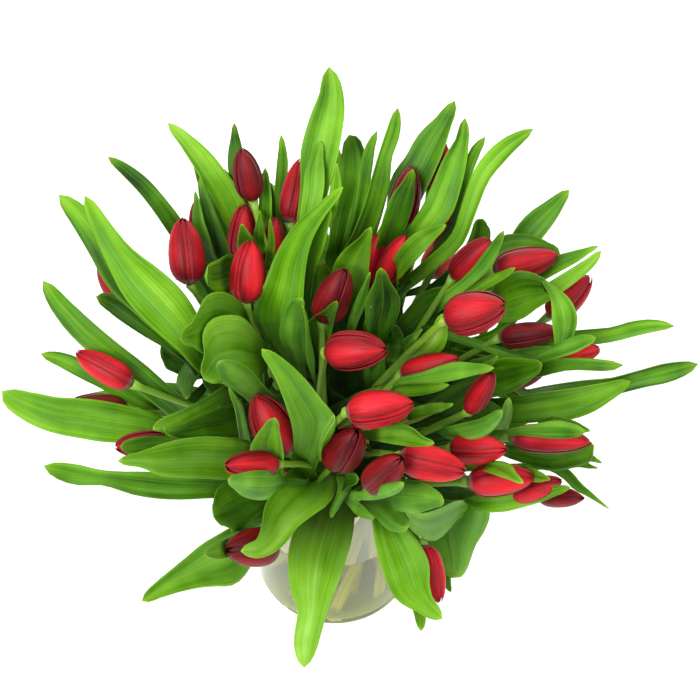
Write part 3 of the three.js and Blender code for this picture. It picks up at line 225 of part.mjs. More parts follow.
  [0, 2, 0.24, 109.1, 9.2, 286.1, -1.1, -0.7, 1.8, 113.1, 16.3, 291.2, 0.5, 0.4, 4.2, 163.9, 15.6, 272.4, -6.7, 3, 6.5, 206.9, -1.6, 311.9, -5.5, 4.1, 7.2, 251.8, 0.1, 326.2, -4, 3.7, 6.3, 274.5, 4.4, 330.4, -3.4, 4.1, 6.5, 295.2, 7.7, 336.6, -0.1, 0.1, 0.2],
  [3, 2, -0.24, -84.8, 84.5, 306.6, 1.6, 1.5, 0.1, -88.5, 87.8, 314.5, 3.4, 1.8, -1.7, -77.1, 117.9, 346.4, 7.4, 4.8, 0.5, -85.1, 129.8, 395, 9.6, 6.9, 0.2, -107, 154.8, 417.6, 6.8, 6.9, -0.2, -119.9, 166.8, 426.7, 4.2, 4.7, 0, -133.6, 176.8, 435.7, 0.2, 0.2, 0],
  [2, 2, 0.24, -20.1, 137.1, 249.5, -2, 0.6, -0.6, -27.6, 134.8, 273.6, -4, 1, -0.9, -43.8, 132.9, 361.2, -5.5, 1.5, -1.9, -42.1, 149.7, 398.3, -4.9, 1.2, -1.7, -41.5, 170.5, 410.5, -3.2, 0.6, -1.1, -42.6, 182.4, 414.3, -0.3, 0.1, -0.1],
  [3, 2, -0.24, -84, 85.5, 306.9, 0.5, 2.1, 0.5, -96, 87.6, 311.3, 2.4, 3.4, 0.3, -115.1, 113, 334.5, 5.2, 5.9, 0.5, -132.3, 120, 379.2, 5, 6.6, 0.3, -155, 139.8, 401.5, 3.8, 5.8, 0.5, -168.9, 149.6, 409, 2.8, 4.7, 0.4, -183.1, 157, 416.6, 0.2, 0.3, 0],
  [3, 2, 0.24, -46.3, 68.5, 310.1, -1.8, 0, -1.2, -56.4, 80.7, 325.7, -3.7, 0.4, -1.9, -75.6, 145.6, 391.9, -7.6, 1.4, -3, -78.9, 159.6, 416.4, -6.9, 1.4, -2.6, -79.9, 175.2, 424.8, -2.9, 0.6, -1.1, -80.7, 184, 427.4, -0.3, 0.1, -0.1],
  [3, 2, 0.20, -47.9, 56, 264.5, -0.4, 2.2, 0, -67.3, 52.2, 258.1, 0.1, 4.2, 0.4, -122.2, 62.7, 239, -2.1, 8.4, 1.4, -127, 31.9, 298.5, -0.3, 9.8, 1.7, -134.1, 17.3, 332.5, 0.7, 9.6, 1.9, -135.6, 10.9, 348.7, -0.2, 6.8, 1.2, -136, 1.4, 364.2, 0, 0.8, 0.2],
  [3, 2, 0.20, -45.7, 54.2, 256.7, -0.5, 1.7, -1.3, -62.1, 50, 258, -0.4, 3.2, -2.6, -115.3, 52.9, 265.8, -8.1, 4.9, -1.2, -117.2, 11.9, 314.3, -8.1, 3.8, -1.7, -118.2, -9.2, 328.9, -5.6, 1.7, -1.6, -116.3, -19.4, 335.7, -3.4, 1, -1, -114.3, -31.3, 346.4, -0.3, 0.1, -0.1],
  [10, 2, -0.25, -1.1, 38.1, 251.4, 1.7, -0.7, 1.2, -3, 40.3, 255.5, 3.2, -2.2, 1.4, 15.4, 64.1, 256.8, 8.3, -3.9, 3.8, 43.2, 150, 292.4, 14.5, -6.8, 6.6, 69.4, 205.4, 307.6, 7.9, -3.7, 3.6, 84.8, 232.6, 312.5, 0.5, -0.2, 0.2],
  [10, 2, -0.25, -10, 44.3, 252.9, 1.3, -1.8, -0.2, -7.4, 46, 253, 3.3, -2.5, -0.6, 9.5, 75.6, 242.2, 8.8, -2.1, -4.1, 17.1, 183.7, 178.5, 15.4, -3.7, -7.1, 15.6, 256.6, 157.7, 8.4, -2, -3.9, 12.8, 293.3, 146.7, 0.5, -0.1, -0.2],
  [10, 2, -0.25, -11.4, 44.4, 252.1, 0.6, 2, 0.5, -12.7, 44.6, 253, 4.1, 0.7, 0.4, -11.7, 65.9, 243.1, 8.7, 1.6, 0.3, -35.4, 159.8, 184.4, 15.2, 2.8, 0.6, -58.9, 221, 162.9, 8.3, 1.5, 0.3, -72.9, 251.2, 150.8, 0.5, 0.1, 0],
  [10, 2, -0.25, -13.9, 37.4, 247.1, 2, 0.8, 0.6, -15.5, 39.3, 249.7, 3.9, 1.3, 1, -20.6, 53.9, 257, 9.3, 2.4, 2, -56.9, 134.9, 301.8, 16.3, 4.2, 3.5, -86.2, 186.9, 326.8, 8.9, 2.3, 1.9, -102.4, 212.3, 337.8, 0.5, 0.1, 0.1],
  [11, 2, -0.25, -32.8, 3.8, 236.3, 2.2, -0.4, -0.2, -31.1, 12.2, 237.6, 4.2, -0.4, -0.3, -26.9, 57.1, 243.5, 8.3, 4, -0.6, -67.8, 131.7, 244, 14.5, 7, -1, -100.5, 178.9, 252.4, 7.9, 3.8, -0.6, -118.5, 201.7, 256.9, 0.5, 0.2, 0],
  [14, 2, -0.25, 14, 1.5, 262.8, 0.7, 2, -0.4, -10.5, 10.6, 264.6, 2, 3.6, -0.7, -58.2, 46.5, 242.3, 6.4, 8.1, -1.3, -140.1, 118.7, 230.8, 11.1, 14.1, -2.2, -191.1, 171.3, 229.8, 6.1, 7.7, -1.2, -215.4, 199, 228.5, 0.3, 0.4, -0.1],
  [11, 2, -0.25, -33.8, 4.6, 246.4, 1.8, 1.1, -0.6, -37.8, 10.8, 245.4, 3.8, 1.4, -1.1, -48.5, 47.9, 243, 5.2, 4.9, -2, -114.2, 107.2, 193.6, 9.2, 8.5, -3.5, -161.1, 143.6, 173.1, 5, 4.6, -1.9, -185.4, 160.9, 160.8, 0.3, 0.3, -0.1],
  [11, 2, -0.25, -37.8, 6.4, 236.9, 1, 1.8, 0.9, -40.9, 8, 237.2, 3.2, 2.4, 1.4, -54.8, 25.5, 243.8, 3.5, 9.5, 4.2, -146.5, 61.5, 185.6, 6.1, 16.7, 7.4, -210.4, 79.4, 161.1, 3.3, 9.1, 4, -243.2, 86.6, 146.9, 0.2, 0.5, 0.2],
  [5, 2, -0.25, -52.2, -31.4, 233.9, 1.9, 0, 1.1, -55.4, -24.6, 239.6, 3.2, 0.8, 2.6, -78.8, 10, 241.9, 0.8, 8.1, 4.4, -166.4, 22, 213.2, 1.4, 14.2, 7.8, -224.7, 31, 203.9, 0.8, 7.7, 4.2, -253.8, 35.8, 198, 0, 0.4, 0.2],
  [14, 2, -0.25, 16.3, 22.1, 264, 1.6, 1, 1.1, 11.2, 28, 266.2, 3.7, 0.7, 1.8, 7.1, 72.7, 268.1, 7, -2.2, 2.5, 9, 147.2, 312.2, 12.3, -3.8, 4.4, 4.5, 197.4, 342.1, 6.7, -2, 2.4, 0.5, 222.7, 357.1, 0.4, -0.1, 0.1],
  [14, 2, -0.25, 9.6, 15.9, 244.7, 0.2, 2.2, 0.2, -1.9, 16.6, 250.8, 1.2, 4, 0, -39.4, 34.6, 258.2, 6, 7.9, -1.1, -93.9, 91.1, 304.7, 10.6, 13.9, -1.9, -125.5, 134.2, 332.2, 5.8, 7.6, -1.1, -139.9, 157.3, 345, 0.3, 0.4, -0.1],
];

// ---- shape helpers ------------------------------------------------------
const vec = (row, i) => new THREE.Vector3(row[i], row[i + 1], row[i + 2]);

// Skins a closed body over rings of equal size; an end ring of one point is an apex.
function skin(rings) {
  const position = [];
  const index = [];
  const first = [];
  for (const ring of rings) {
    first.push(position.length / 3);
    for (const p of ring) position.push(p.x, p.y, p.z);
  }
  const fan = (ringIndex, flip) => {
    const n = rings[ringIndex].length;
    const a = first[ringIndex];
    for (let i = 1; i < n - 1; i++) {
      if (flip) index.push(a, a + i + 1, a + i);
      else index.push(a, a + i, a + i + 1);
    }
  };
  for (let r = 0; r < rings.length - 1; r++) {
    const a = first[r];
    const b = first[r + 1];
    const na = rings[r].length;
    const nb = rings[r + 1].length;
    const n = Math.max(na, nb);
    for (let i = 0; i < n; i++) {
      const j = (i + 1) % n;
      if (nb === 1) index.push(a + i, a + j, b);
      else if (na === 1) index.push(a, b + j, b + i);
      else index.push(a + i, a + j, b + j, a + i, b + j, b + i);
    }
  }
  if (rings[0].length > 1) fan(0, true);
  if (rings[rings.length - 1].length > 1) fan(rings.length - 1, false);
  const geometry = new THREE.BufferGeometry();
  geometry.setAttribute('position', new THREE.Float32BufferAttribute(position, 3));
  geometry.setIndex(index);
  return geometry;
}

function stemGeometry(row, grow) {
  const points = [];
  for (let i = 0; i < row.length; i += 3) points.push(vec(row, i));
  const rings = [];
  let side = null;
  for (let i = 0; i < points.length; i++) {
    const t = points[Math.min(i + 1, points.length - 1)].clone().sub(points[Math.max(i - 1, 0)]).normalize();
    if (side === null) side = new THREE.Vector3(1, 0, 0);
    side = side.clone().sub(t.clone().multiplyScalar(side.dot(t))).normalize();
    const up = new THREE.Vector3().crossVectors(t, side);
    const k = i / (points.length - 1);
    const sides = grow > 0 ? 4 : STEM_SIDES;
    const radius = (THREE.MathUtils.lerp(STEM_RADIUS, NECK_RADIUS, k * k) + grow) * (grow > 0 ? 1.38 : 1);
    const centre = points[i].clone();
    if (i === 0) centre.addScaledVector(t, -grow);
    if (i === points.length - 1) centre.addScaledVector(t, grow);
    const ring = [];
    for (let s = 0; s < sides; s++) {
      const a = (2 * Math.PI * s) / sides;
      ring.push(centre.clone().addScaledVector(side, radius * Math.cos(a)).addScaledVector(up, radius * Math.sin(a)));
    }
    rings.push(ring);
  }
  return skin(rings);
}

// A leaf is a folded ribbon: two thin edges and a thicker midrib that sits below them by the cup.
// Its two sides are split along the same diagonals, so that they stay apart where the ribbon bends or twists.
function leafGeometry(row, grow) {
  const necks = row[1];
  const cup = row[2];
  const count = (row.length - 3) / 6;
  const centre = [];
  const half = [];
  for (let i = 0; i < count; i++) {
    centre.push(vec(row, 3 + i * 6));
    half.push(vec(row, 6 + i * 6));
  }
  // each rail holds one edge, the midrib and the other edge
  const rails = [];
  for (let i = 0; i < count; i++) {
    const t = centre[Math.min(i + 1, count - 1)].clone().sub(centre[Math.max(i - 1, 0)]).normalize();
    const h = half[i].clone();
    const width = h.length();
    const n = new THREE.Vector3().crossVectors(h, t).normalize();
    const mid = centre[i].clone().addScaledVector(n, i < necks ? 0 : cup * width);
    const reach = h.clone().setLength(width + 6 * grow);
    const end = centre[i].clone();
    if (i === count - 1) {
      if (grow === 0) reach.set(0, 0, 0);
      end.addScaledVector(t, 2 * grow);
      mid.copy(end);
    }
    rails.push([end.clone().add(reach), mid, end.clone().sub(reach)]);
  }
  const normalOf = (tri) => {
    const [a, b, c] = tri.map(([i, k]) => rails[i][k]);
    return b.clone().sub(a).cross(c.clone().sub(a)).normalize();
  };
  const tip = count - 1;
  const faces = [];
  for (let i = 0; i < tip; i++) {
    const j = i + 1;
    for (const k of [0, 1]) {
      const [p, q, r, s] = [[i, k], [i, k + 1], [j, k + 1], [j, k]];
      if (j === tip && grow === 0) {
        faces.push([p, q, [j, 1]]);
        continue;
      }
      const ways = [[[p, q, r], [p, r, s]], [[p, q, s], [q, r, s]]];
      const flat = ways.map(([e, f]) => normalOf(e).dot(normalOf(f)));
      faces.push(...ways[flat[0] > flat[1] ? 0 : 1]);
    }
  }
  const position = [];
  for (let i = 0; i < count; i++) {
    const around = faces.filter((tri) => tri.some(([r, k]) => r === i && k === 1)).map(normalOf);
    const n = around.reduce((sum, v) => sum.add(v), new THREE.Vector3()).normalize();
    for (let pass = 0; pass < 8; pass++) {
      const worst = around.reduce((a, b) => (b.dot(n) < a.dot(n) ? b : a));
      n.addScaledVector(worst, 0.25).normalize();
    }
    const thick = i === tip && grow === 0 ? 0 : (i < necks ? NECK_HALF_THICKNESS : LEAF_HALF_THICKNESS) + grow;
    const [a, m, b] = rails[i];
    for (const p of [a, m.clone().addScaledVector(n, thick), b, m.clone().addScaledVector(n, -thick)]) {
      position.push(p.x, p.y, p.z);
    }
  }
  const at = (back) => ([i, k]) => {
    if (i === tip && grow === 0) return 4 * tip;
    return 4 * i + (k === 1 && back ? 3 : k);
  };
  const index = [0, 2, 1, 0, 3, 2];
  for (const tri of faces) {
    index.push(...tri.map(at(false)));
    index.push(...tri.map(at(true)).reverse());
  }
  if (grow > 0) index.push(...[0, 1, 2, 0, 2, 3].map((k) => 4 * tip + k));
  else position.length = 3 * (4 * tip + 1);
  const geometry = new THREE.BufferGeometry();
  geometry.setAttribute('position', new THREE.Float32BufferAttribute(position, 3));
  geometry.setIndex(index);
  return geometry;
}

function flowerGeometry(row, grow) {
  const base = vec(row, 1);
  const axis = vec(row, 4).normalize();
  const length = row[7];
  const radius = row[8];
  const turn = THREE.MathUtils.degToRad(row[9]);
  const helper = Math.abs(axis.z) > 0.9 ? new THREE.Vector3(1, 0, 0) : new THREE.Vector3(0, 0, 1);
  const side = new THREE.Vector3().crossVectors(axis, helper).normalize();
  const up = new THREE.Vector3().crossVectors(axis, side);
  const rings = [[base.clone().addScaledVector(axis, -grow)]];
  for (const [along, wide] of FLOWER_PROFILE) {
    const ring = [];
    for (let s = 0; s < FLOWER_SIDES; s++) {
      const a = (2 * Math.PI * s) / FLOWER_SIDES;
      const r = radius * wide * (1 - FLOWER_LOBE + FLOWER_LOBE * Math.cos(3 * a)) + grow * 1.1;
      ring.push(base.clone()
        .addScaledVector(axis, along * length)
        .addScaledVector(side, r * Math.cos(a + turn))
        .addScaledVector(up, r * Math.sin(a + turn)));
    }
    rings.push(ring);
  }
  rings.push([base.clone().addScaledVector(axis, length + grow)]);
  return skin(rings);
}

function turned(profile, sides) {
  const geometry = new THREE.LatheGeometry(profile.map(([r, z]) => new THREE.Vector2(r, z)), sides);
  geometry.rotateX(Math.PI / 2);
  geometry.deleteAttribute('normal');
  geometry.deleteAttribute('uv');
  return mergeVertices(geometry, 1e-4);
}

function vaseGeometry(grow) {
  const R = VASE_RADIUS + grow;
  const r = VASE_RADIUS - VASE_WALL - grow;
  const top = VASE_HEIGHT + grow;
  const floor = VASE_FLOOR + grow;
  return turned([
    [0, -grow], [R - 1.6, -grow], [R, 1.6 - grow],
    [R, top - 1.4], [R - 1.4, top], [r + 1.4, top], [r, top - 1.4],
    [r, floor + 3], [r - 3, floor], [0, floor],
  ], VASE_SIDES);
}

function waterGeometry() {
  const r = VASE_RADIUS - VASE_WALL - GAP;
  const floor = VASE_FLOOR + GAP;
  return turned([
    [0, floor], [r - 3.2, floor], [r, floor + 3.2],
    [r, WATER_LEVEL], [0, WATER_LEVEL],
  ], VASE_SIDES);
}

// ---- joining and cutting ------------------------------------------------
const wasm = await Module();
wasm.setup();

function solid(geometry) {
  const make = (flip) => {
    const tri = Uint32Array.from(geometry.index.array);
    if (flip) for (let i = 0; i < tri.length; i += 3) [tri[i + 1], tri[i + 2]] = [tri[i + 2], tri[i + 1]];
    const mesh = new wasm.Mesh({
      numProp: 3,
      vertProperties: Float32Array.from(geometry.attributes.position.array),
      triVerts: tri,
    });
    return new wasm.Manifold(mesh);
  };
  const body = make(false);
  return body.volume() < 0 ? make(true) : body;
}

const box = (body) => body.boundingBox();
const meet = (a, b) => [0, 1, 2].every((i) => a.min[i] <= b.max[i] && b.min[i] <= a.max[i]);

// Cuts every tool that reaches the body out of it.
function cut(body, tools) {
  let result = body;
  let bounds = box(result);
  for (const tool of tools) {
    if (!meet(bounds, tool.bounds)) continue;
    const next = result.subtract(tool.body);
    if (next.isEmpty()) return next;
    result = next;
    bounds = box(result);
  }
  return result;
}

function largest(body) {
  return body.decompose().reduce((best, piece) => (piece.volume() > best.volume() ? piece : best));
}

function meshOf(body, name, material) {
  const data = body.getMesh();
  const geometry = new THREE.BufferGeometry();
  const stride = data.numProp;
  const position = new Float32Array((data.vertProperties.length / stride) * 3);
  for (let i = 0; i < position.length / 3; i++) {
    for (let k = 0; k < 3; k++) position[i * 3 + k] = data.vertProperties[i * stride + k];
  }
  geometry.setAttribute('position', new THREE.BufferAttribute(position, 3));
  geometry.setIndex(Array.from(data.triVerts));
  geometry.computeVertexNormals();
  const mesh = new THREE.Mesh(geometry, material);
  mesh.name = name;
  return mesh;
}

function block(lo, hi, grow) {
  const size = [0, 1, 2].map((k) => hi[k] - lo[k] + 2 * grow);
  const geometry = mergeVertices(new THREE.BoxGeometry(...size).deleteAttribute('normal').deleteAttribute('uv'), 1e-4);
  return solid(geometry.translate(...[0, 1, 2].map((k) => (hi[k] + lo[k]) / 2)));
}

// Edges along which a body only touches itself: more than two faces share them.
function pinches(body) {
  const data = body.getMesh();
  const p = data.vertProperties;
  const key = (v) => [0, 1, 2].map((k) => Math.round(p[v * data.numProp + k] * 1e3)).join();
  const used = new Map();
  for (let i = 0; i < data.triVerts.length; i += 3) {
    for (let k = 0; k < 3; k++) {
      const a = data.triVerts[i + k];
      const b = data.triVerts[i + ((k + 1) % 3)];
      const name = [key(a), key(b)].sort().join('|');
      if (!used.has(name)) used.set(name, { count: 0, a, b });
      used.get(name).count++;
    }
  }
  const at = (v) => [0, 1, 2].map((k) => p[v * data.numProp + k]);
  return [...used.values()].filter((e) => e.count !== 2).map((e) => [at(e.a), at(e.b)]);
}

function weld(body, distance) {
  const geometry = meshOf(body, 'weld', null).geometry;
  geometry.deleteAttribute('normal');
  return solid(mergeVertices(geometry, distance));
}

// Welds points that almost touch, fills pinched edges and keeps the outer skin, so that no pocket stays sealed inside.
function tidy(body) {
  let result = largest(weld(largest(body), WELD).simplify(2 * WELD));
  for (let pass = 1; pass < 16; pass++) {
    const welded = weld(result, 1e-3);
    const pieces = welded.decompose();
    const tight = pinches(result);
    if (pieces.length > 1) result = largest(welded);
    else if (tight.length === 0) break;
    for (const [a, b] of tight) {
      result = result.add(block(a.map((v, k) => Math.min(v, b[k])), a.map((v, k) => Math.max(v, b[k])), 0.1 * pass));
    }
    result = largest(result);
  }
  return result;
}

// Notches a body wherever a sharp corner of its neighbour still reaches into it.
function clearOf(body, neighbour) {
  if (!meet(box(body), box(neighbour))) return body;
  const common = body.intersect(neighbour);
  if (common.isEmpty()) return body;
  let result = body;
  for (const piece of common.decompose()) {
    const b = box(piece);
    result = result.subtract(block(b.min, b.max, GAP / 2));
  }
  return result;
}

const two = (n) => String(n).padStart(2, '0');
const group = new THREE.Group();
group.name = 'tulips_in_glass_vase';

const vaseMaterial = new THREE.MeshStandardMaterial({ color: 0xdfe8d8, roughness: 0.05, metalness: 0 });
const waterMaterial = new THREE.MeshStandardMaterial({ color: 0xaebb86, roughness: 0.05, metalness: 0 });
const petalMaterial = new THREE.MeshStandardMaterial({ color: 0xb32235, roughness: 0.55, metalness: 0 });
const leafMaterial = new THREE.MeshStandardMaterial({ color: 0x5e8f2f, roughness: 0.45, metalness: 0 });

// vase
const vase = solid(vaseGeometry(0));
group.add(meshOf(vase, 'glass_vase', vaseMaterial.clone()));
const grownVase = { body: solid(vaseGeometry(GAP)) };
grownVase.bounds = box(grownVase.body);

// flowers
const flowerTools = [];
FLOWERS.forEach((row, i) => {
  const body = largest(cut(solid(flowerGeometry(row, 0)), flowerTools));
  group.add(meshOf(body, `tulip_${two(i + 1)}_flower`, petalMaterial.clone()));
  const tool = { body: solid(flowerGeometry(row, GAP)) };
  tool.bounds = box(tool.body);
  flowerTools.push(tool);
});

// stems, each held by its bundle
const bundleCount = Math.max(...FLOWERS.map((row) => row[0])) + 1;
const stemTools = [];
const bundles = Array.from({ length: bundleCount }, () => []);
STEMS.forEach((row, i) => {
  const bundle = FLOWERS[i][0];
  const tool = { bundle, body: solid(stemGeometry(row, GAP)) };
  tool.bounds = box(tool.body);
  const others = stemTools.filter((t) => t.bundle !== bundle);
  bundles[bundle].push(largest(cut(solid(stemGeometry(row, 0)), [...flowerTools, ...others, grownVase])));
  stemTools.push(tool);
});

// leaves, front ones first; each is cut clear of what other bundles already hold
const leafTools = [];
for (const row of LEAVES) {
  const bundle = row[0];
  const others = [...stemTools, ...leafTools].filter((t) => t.bundle !== bundle);
  const whole = solid(leafGeometry(row, 0));
  const body = cut(whole, [grownVase, ...flowerTools, ...others]);
  const tool = { bundle, body: solid(leafGeometry(row, GAP)) };
  tool.bounds = box(tool.body);
  leafTools.push(tool);
  if (!body.isEmpty()) bundles[bundle].push(body);
}
const bodies = bundles.map((pieces) => largest(wasm.Manifold.union(pieces)).simplify(0.1));
for (let i = 0; i < bodies.length; i++) {
  for (let j = 0; j < i; j++) bodies[i] = clearOf(bodies[i], bodies[j]);
  bodies[i] = tidy(bodies[i]);
  group.add(meshOf(bodies[i], `stems_and_leaves_${two(i + 1)}`, leafMaterial.clone()));
}

// water, with room for every stem that stands in it
const water = tidy(cut(solid(waterGeometry()), stemTools));
group.add(meshOf(water, 'water', waterMaterial.clone()));

export default group;
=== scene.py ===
# Tulips in a glass cylinder vase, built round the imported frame. Metres, +Z up, vase foot at the origin.
import math

import bpy
import numpy as np
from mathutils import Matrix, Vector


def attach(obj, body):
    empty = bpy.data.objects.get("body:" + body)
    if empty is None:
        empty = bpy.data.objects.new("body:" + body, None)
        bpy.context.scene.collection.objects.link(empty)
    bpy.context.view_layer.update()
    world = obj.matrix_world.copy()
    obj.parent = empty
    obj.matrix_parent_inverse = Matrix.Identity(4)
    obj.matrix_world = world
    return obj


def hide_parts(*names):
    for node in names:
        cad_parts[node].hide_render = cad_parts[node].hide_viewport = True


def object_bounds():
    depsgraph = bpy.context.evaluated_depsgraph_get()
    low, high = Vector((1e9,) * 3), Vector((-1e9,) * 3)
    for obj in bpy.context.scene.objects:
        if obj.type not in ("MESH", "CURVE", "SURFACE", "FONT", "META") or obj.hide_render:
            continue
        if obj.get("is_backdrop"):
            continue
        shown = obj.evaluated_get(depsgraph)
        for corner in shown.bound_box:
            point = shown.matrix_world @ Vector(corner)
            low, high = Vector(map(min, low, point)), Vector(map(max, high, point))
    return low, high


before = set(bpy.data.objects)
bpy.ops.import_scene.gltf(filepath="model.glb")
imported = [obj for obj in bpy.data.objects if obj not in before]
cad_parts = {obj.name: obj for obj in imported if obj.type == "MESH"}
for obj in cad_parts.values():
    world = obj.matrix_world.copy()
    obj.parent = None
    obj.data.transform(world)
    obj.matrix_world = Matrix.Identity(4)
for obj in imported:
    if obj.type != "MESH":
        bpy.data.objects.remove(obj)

cad_low, cad_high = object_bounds()
MM = 0.001

# ---- driving sizes (millimetres) ----
VASE_RADIUS, VASE_HEIGHT, VASE_WALL, VASE_FLOOR = 75.0, 225.0, 4.5, 12.0
WATER_LEVEL = 130.0
STEM_RADIUS, NECK_RADIUS = 3.1, 2.6
LEAF_STEPS, LEAF_ACROSS = 26, 9
PETAL_STEPS, PETAL_ACROSS = 16, 11

# Millimetres. One row for each tulip: bundle, base x y z, axis x y z, length, radius, turn, tone (0 dark, 1 bright;
# set to how light or dark each flower looks, so partly painted light and shade).
FLOWERS = [
    (10, -63, 108.4, 421.9, -0.173, 0.439, 0.882, 46.4, 11.8, 26.6, 0.12),
    (10, -35.4, 112.8, 387.3, 0.184, 0.824, 0.535, 53.1, 11.5, 104.5, 0.50),
    (14, 53.8, 99.9, 398.9, 0.208, 0.820, 0.533, 50.3, 13.1, 24.8, 0.12),
    (1, 81.3, 145.7, 387.8, 0.194, 0.357, 0.914, 47.5, 11, 110.2, 0.50),
    (3, -75.6, 89.7, 369.3, 0.114, 0.447, 0.887, 49.8, 11.4, 58.6, 0.50),
    (3, -49.8, 85.5, 358.3, 0.089, 0.402, 0.911, 50.6, 10, 73.4, 0.50),
    (11, -112.7, 49.4, 389.4, -0.117, 0.833, 0.541, 54.4, 14.7, 91.9, 0.50),
    (11, -66.7, 23.3, 402, 0.095, 0.639, 0.763, 50.5, 14.7, 62.2, 0.80),
    (10, 28.4, 75.3, 347.2, 0.183, 0.430, 0.884, 51.5, 10.6, 35.6, 0.80),
    (14, 41.8, 65.3, 371.2, 0.350, 0.246, 0.904, 50.2, 12.1, 22.5, 0.80),
    (1, 89.9, 104.6, 354.5, 0.251, 0.320, 0.914, 48.7, 11.2, 9.7, 0.50),
    (9, 96, 53.2, 393.7, 0.575, 0.202, 0.793, 48.4, 11.2, 88.6, 0.50),
    (9, 129.9, 66.6, 384.5, 0.971, 0.200, 0.130, 53.7, 13.4, 53, 0.50),
    (15, -7.3, 5, 402.7, 0.367, 0.385, 0.847, 50.6, 14.1, 19, 0.12),
    (4, -166.3, 58.6, 342.3, -0.464, 0.398, 0.791, 47.9, 12.2, 105.6, 0.50),
    (0, 177.2, 50.8, 342.2, 0.667, 0.405, 0.626, 48.3, 13.4, 32.9, 0.50),
    (14, 84, -37.6, 468.5, 0.889, -0.034, 0.457, 47, 16.1, 49.7, 0.50),
    (9, 133.3, 12.3, 367.9, 0.924, -0.092, 0.372, 49, 10.4, 35.5, 0.12),
    (15, -3.2, -52.5, 447.4, 0.902, -0.198, 0.385, 49.7, 14.9, 75.5, 0.50),
    (0, 175, -2.3, 361.2, 0.729, -0.233, 0.644, 45.7, 9.7, 69.6, 0.80),
    (11, -153.3, -39.1, 381.5, -0.872, 0.411, 0.267, 50.3, 10.9, 72, 0.80),
    (15, 53.9, -40.1, 397.4, 0.848, -0.051, 0.528, 50.2, 10.3, 31.9, 0.50),
    (0, 125, -6.1, 337.4, 0.927, -0.013, 0.375, 50.7, 13.7, 34.2, 0.12),
    (13, 103.5, -72.9, 397.6, 0.299, 0.099, 0.949, 49.5, 9.2, 30.4, 0.50),
    (12, 12.2, -97.4, 437.1, 0.977, 0.023, 0.213, 49.9, 14.4, 39.3, 0.80),
    (12, -33.1, -96.3, 376.6, -0.462, 0.564, 0.685, 52, 15.8, 17.3, 0.50),
    (4, -165.2, -22.2, 314.4, -0.938, -0.070, 0.339, 48.8, 11.4, 19.9, 0.12),
    (12, 2.1, -92.3, 350.8, 0.349, 0.031, 0.937, 52.2, 15.7, 115.7, 0.12),
    (5, -128.5, -64.7, 333.4, -0.795, -0.328, 0.511, 48.1, 11.3, 115.2, 0.50),
    (13, 91.7, -88.8, 369.5, 0.813, -0.301, 0.499, 49, 12.1, 22.6, 0.80),
    (13, 50.8, -117.9, 409, 0.971, -0.233, -0.059, 49.6, 13.4, 2.9, 0.80),
    (7, 29, -134.9, 393.1, 0.436, -0.026, 0.899, 51, 12.9, 24.5, 0.12),
    (7, 103.3, -114.2, 362.3, 0.998, 0.049, 0.032, 51.4, 12.9, 84, 0.80),
    (8, 141.2, -108, 328.2, 0.694, -0.099, 0.713, 48.2, 9.4, 93.5, 0.50),
    (8, 163.5, -98.9, 311.1, 0.625, -0.394, 0.674, 46.9, 8.5, 2.8, 0.12),
    (8, 138.1, -69.8, 353.2, 0.998, -0.051, -0.033, 63.5, 11.4, 69.3, 0.50),
    (6, -39.2, -118.9, 398.8, -0.747, -0.348, 0.566, 48.7, 10.8, 0.2, 0.50),
    (6, -42.4, -144.2, 316.6, -0.782, -0.357, 0.511, 47.2, 15.7, 61.9, 0.12),
    (7, 73.5, -121.3, 268.5, 0.249, -0.941, -0.232, 48.1, 10.7, 76.8, 0.80),
    (3, -107.7, 109, 356.9, -0.049, 0.359, 0.932, 48.1, 9.8, 118.3, 0.12),
    (2, -31.8, 180.4, 257.3, -0.165, 0.936, 0.312, 50, 13.5, 31.1, 0.50),
    (1, 85, 159.8, 244, 0.455, 0.855, 0.248, 50, 13.5, 96.3, 0.50),
]

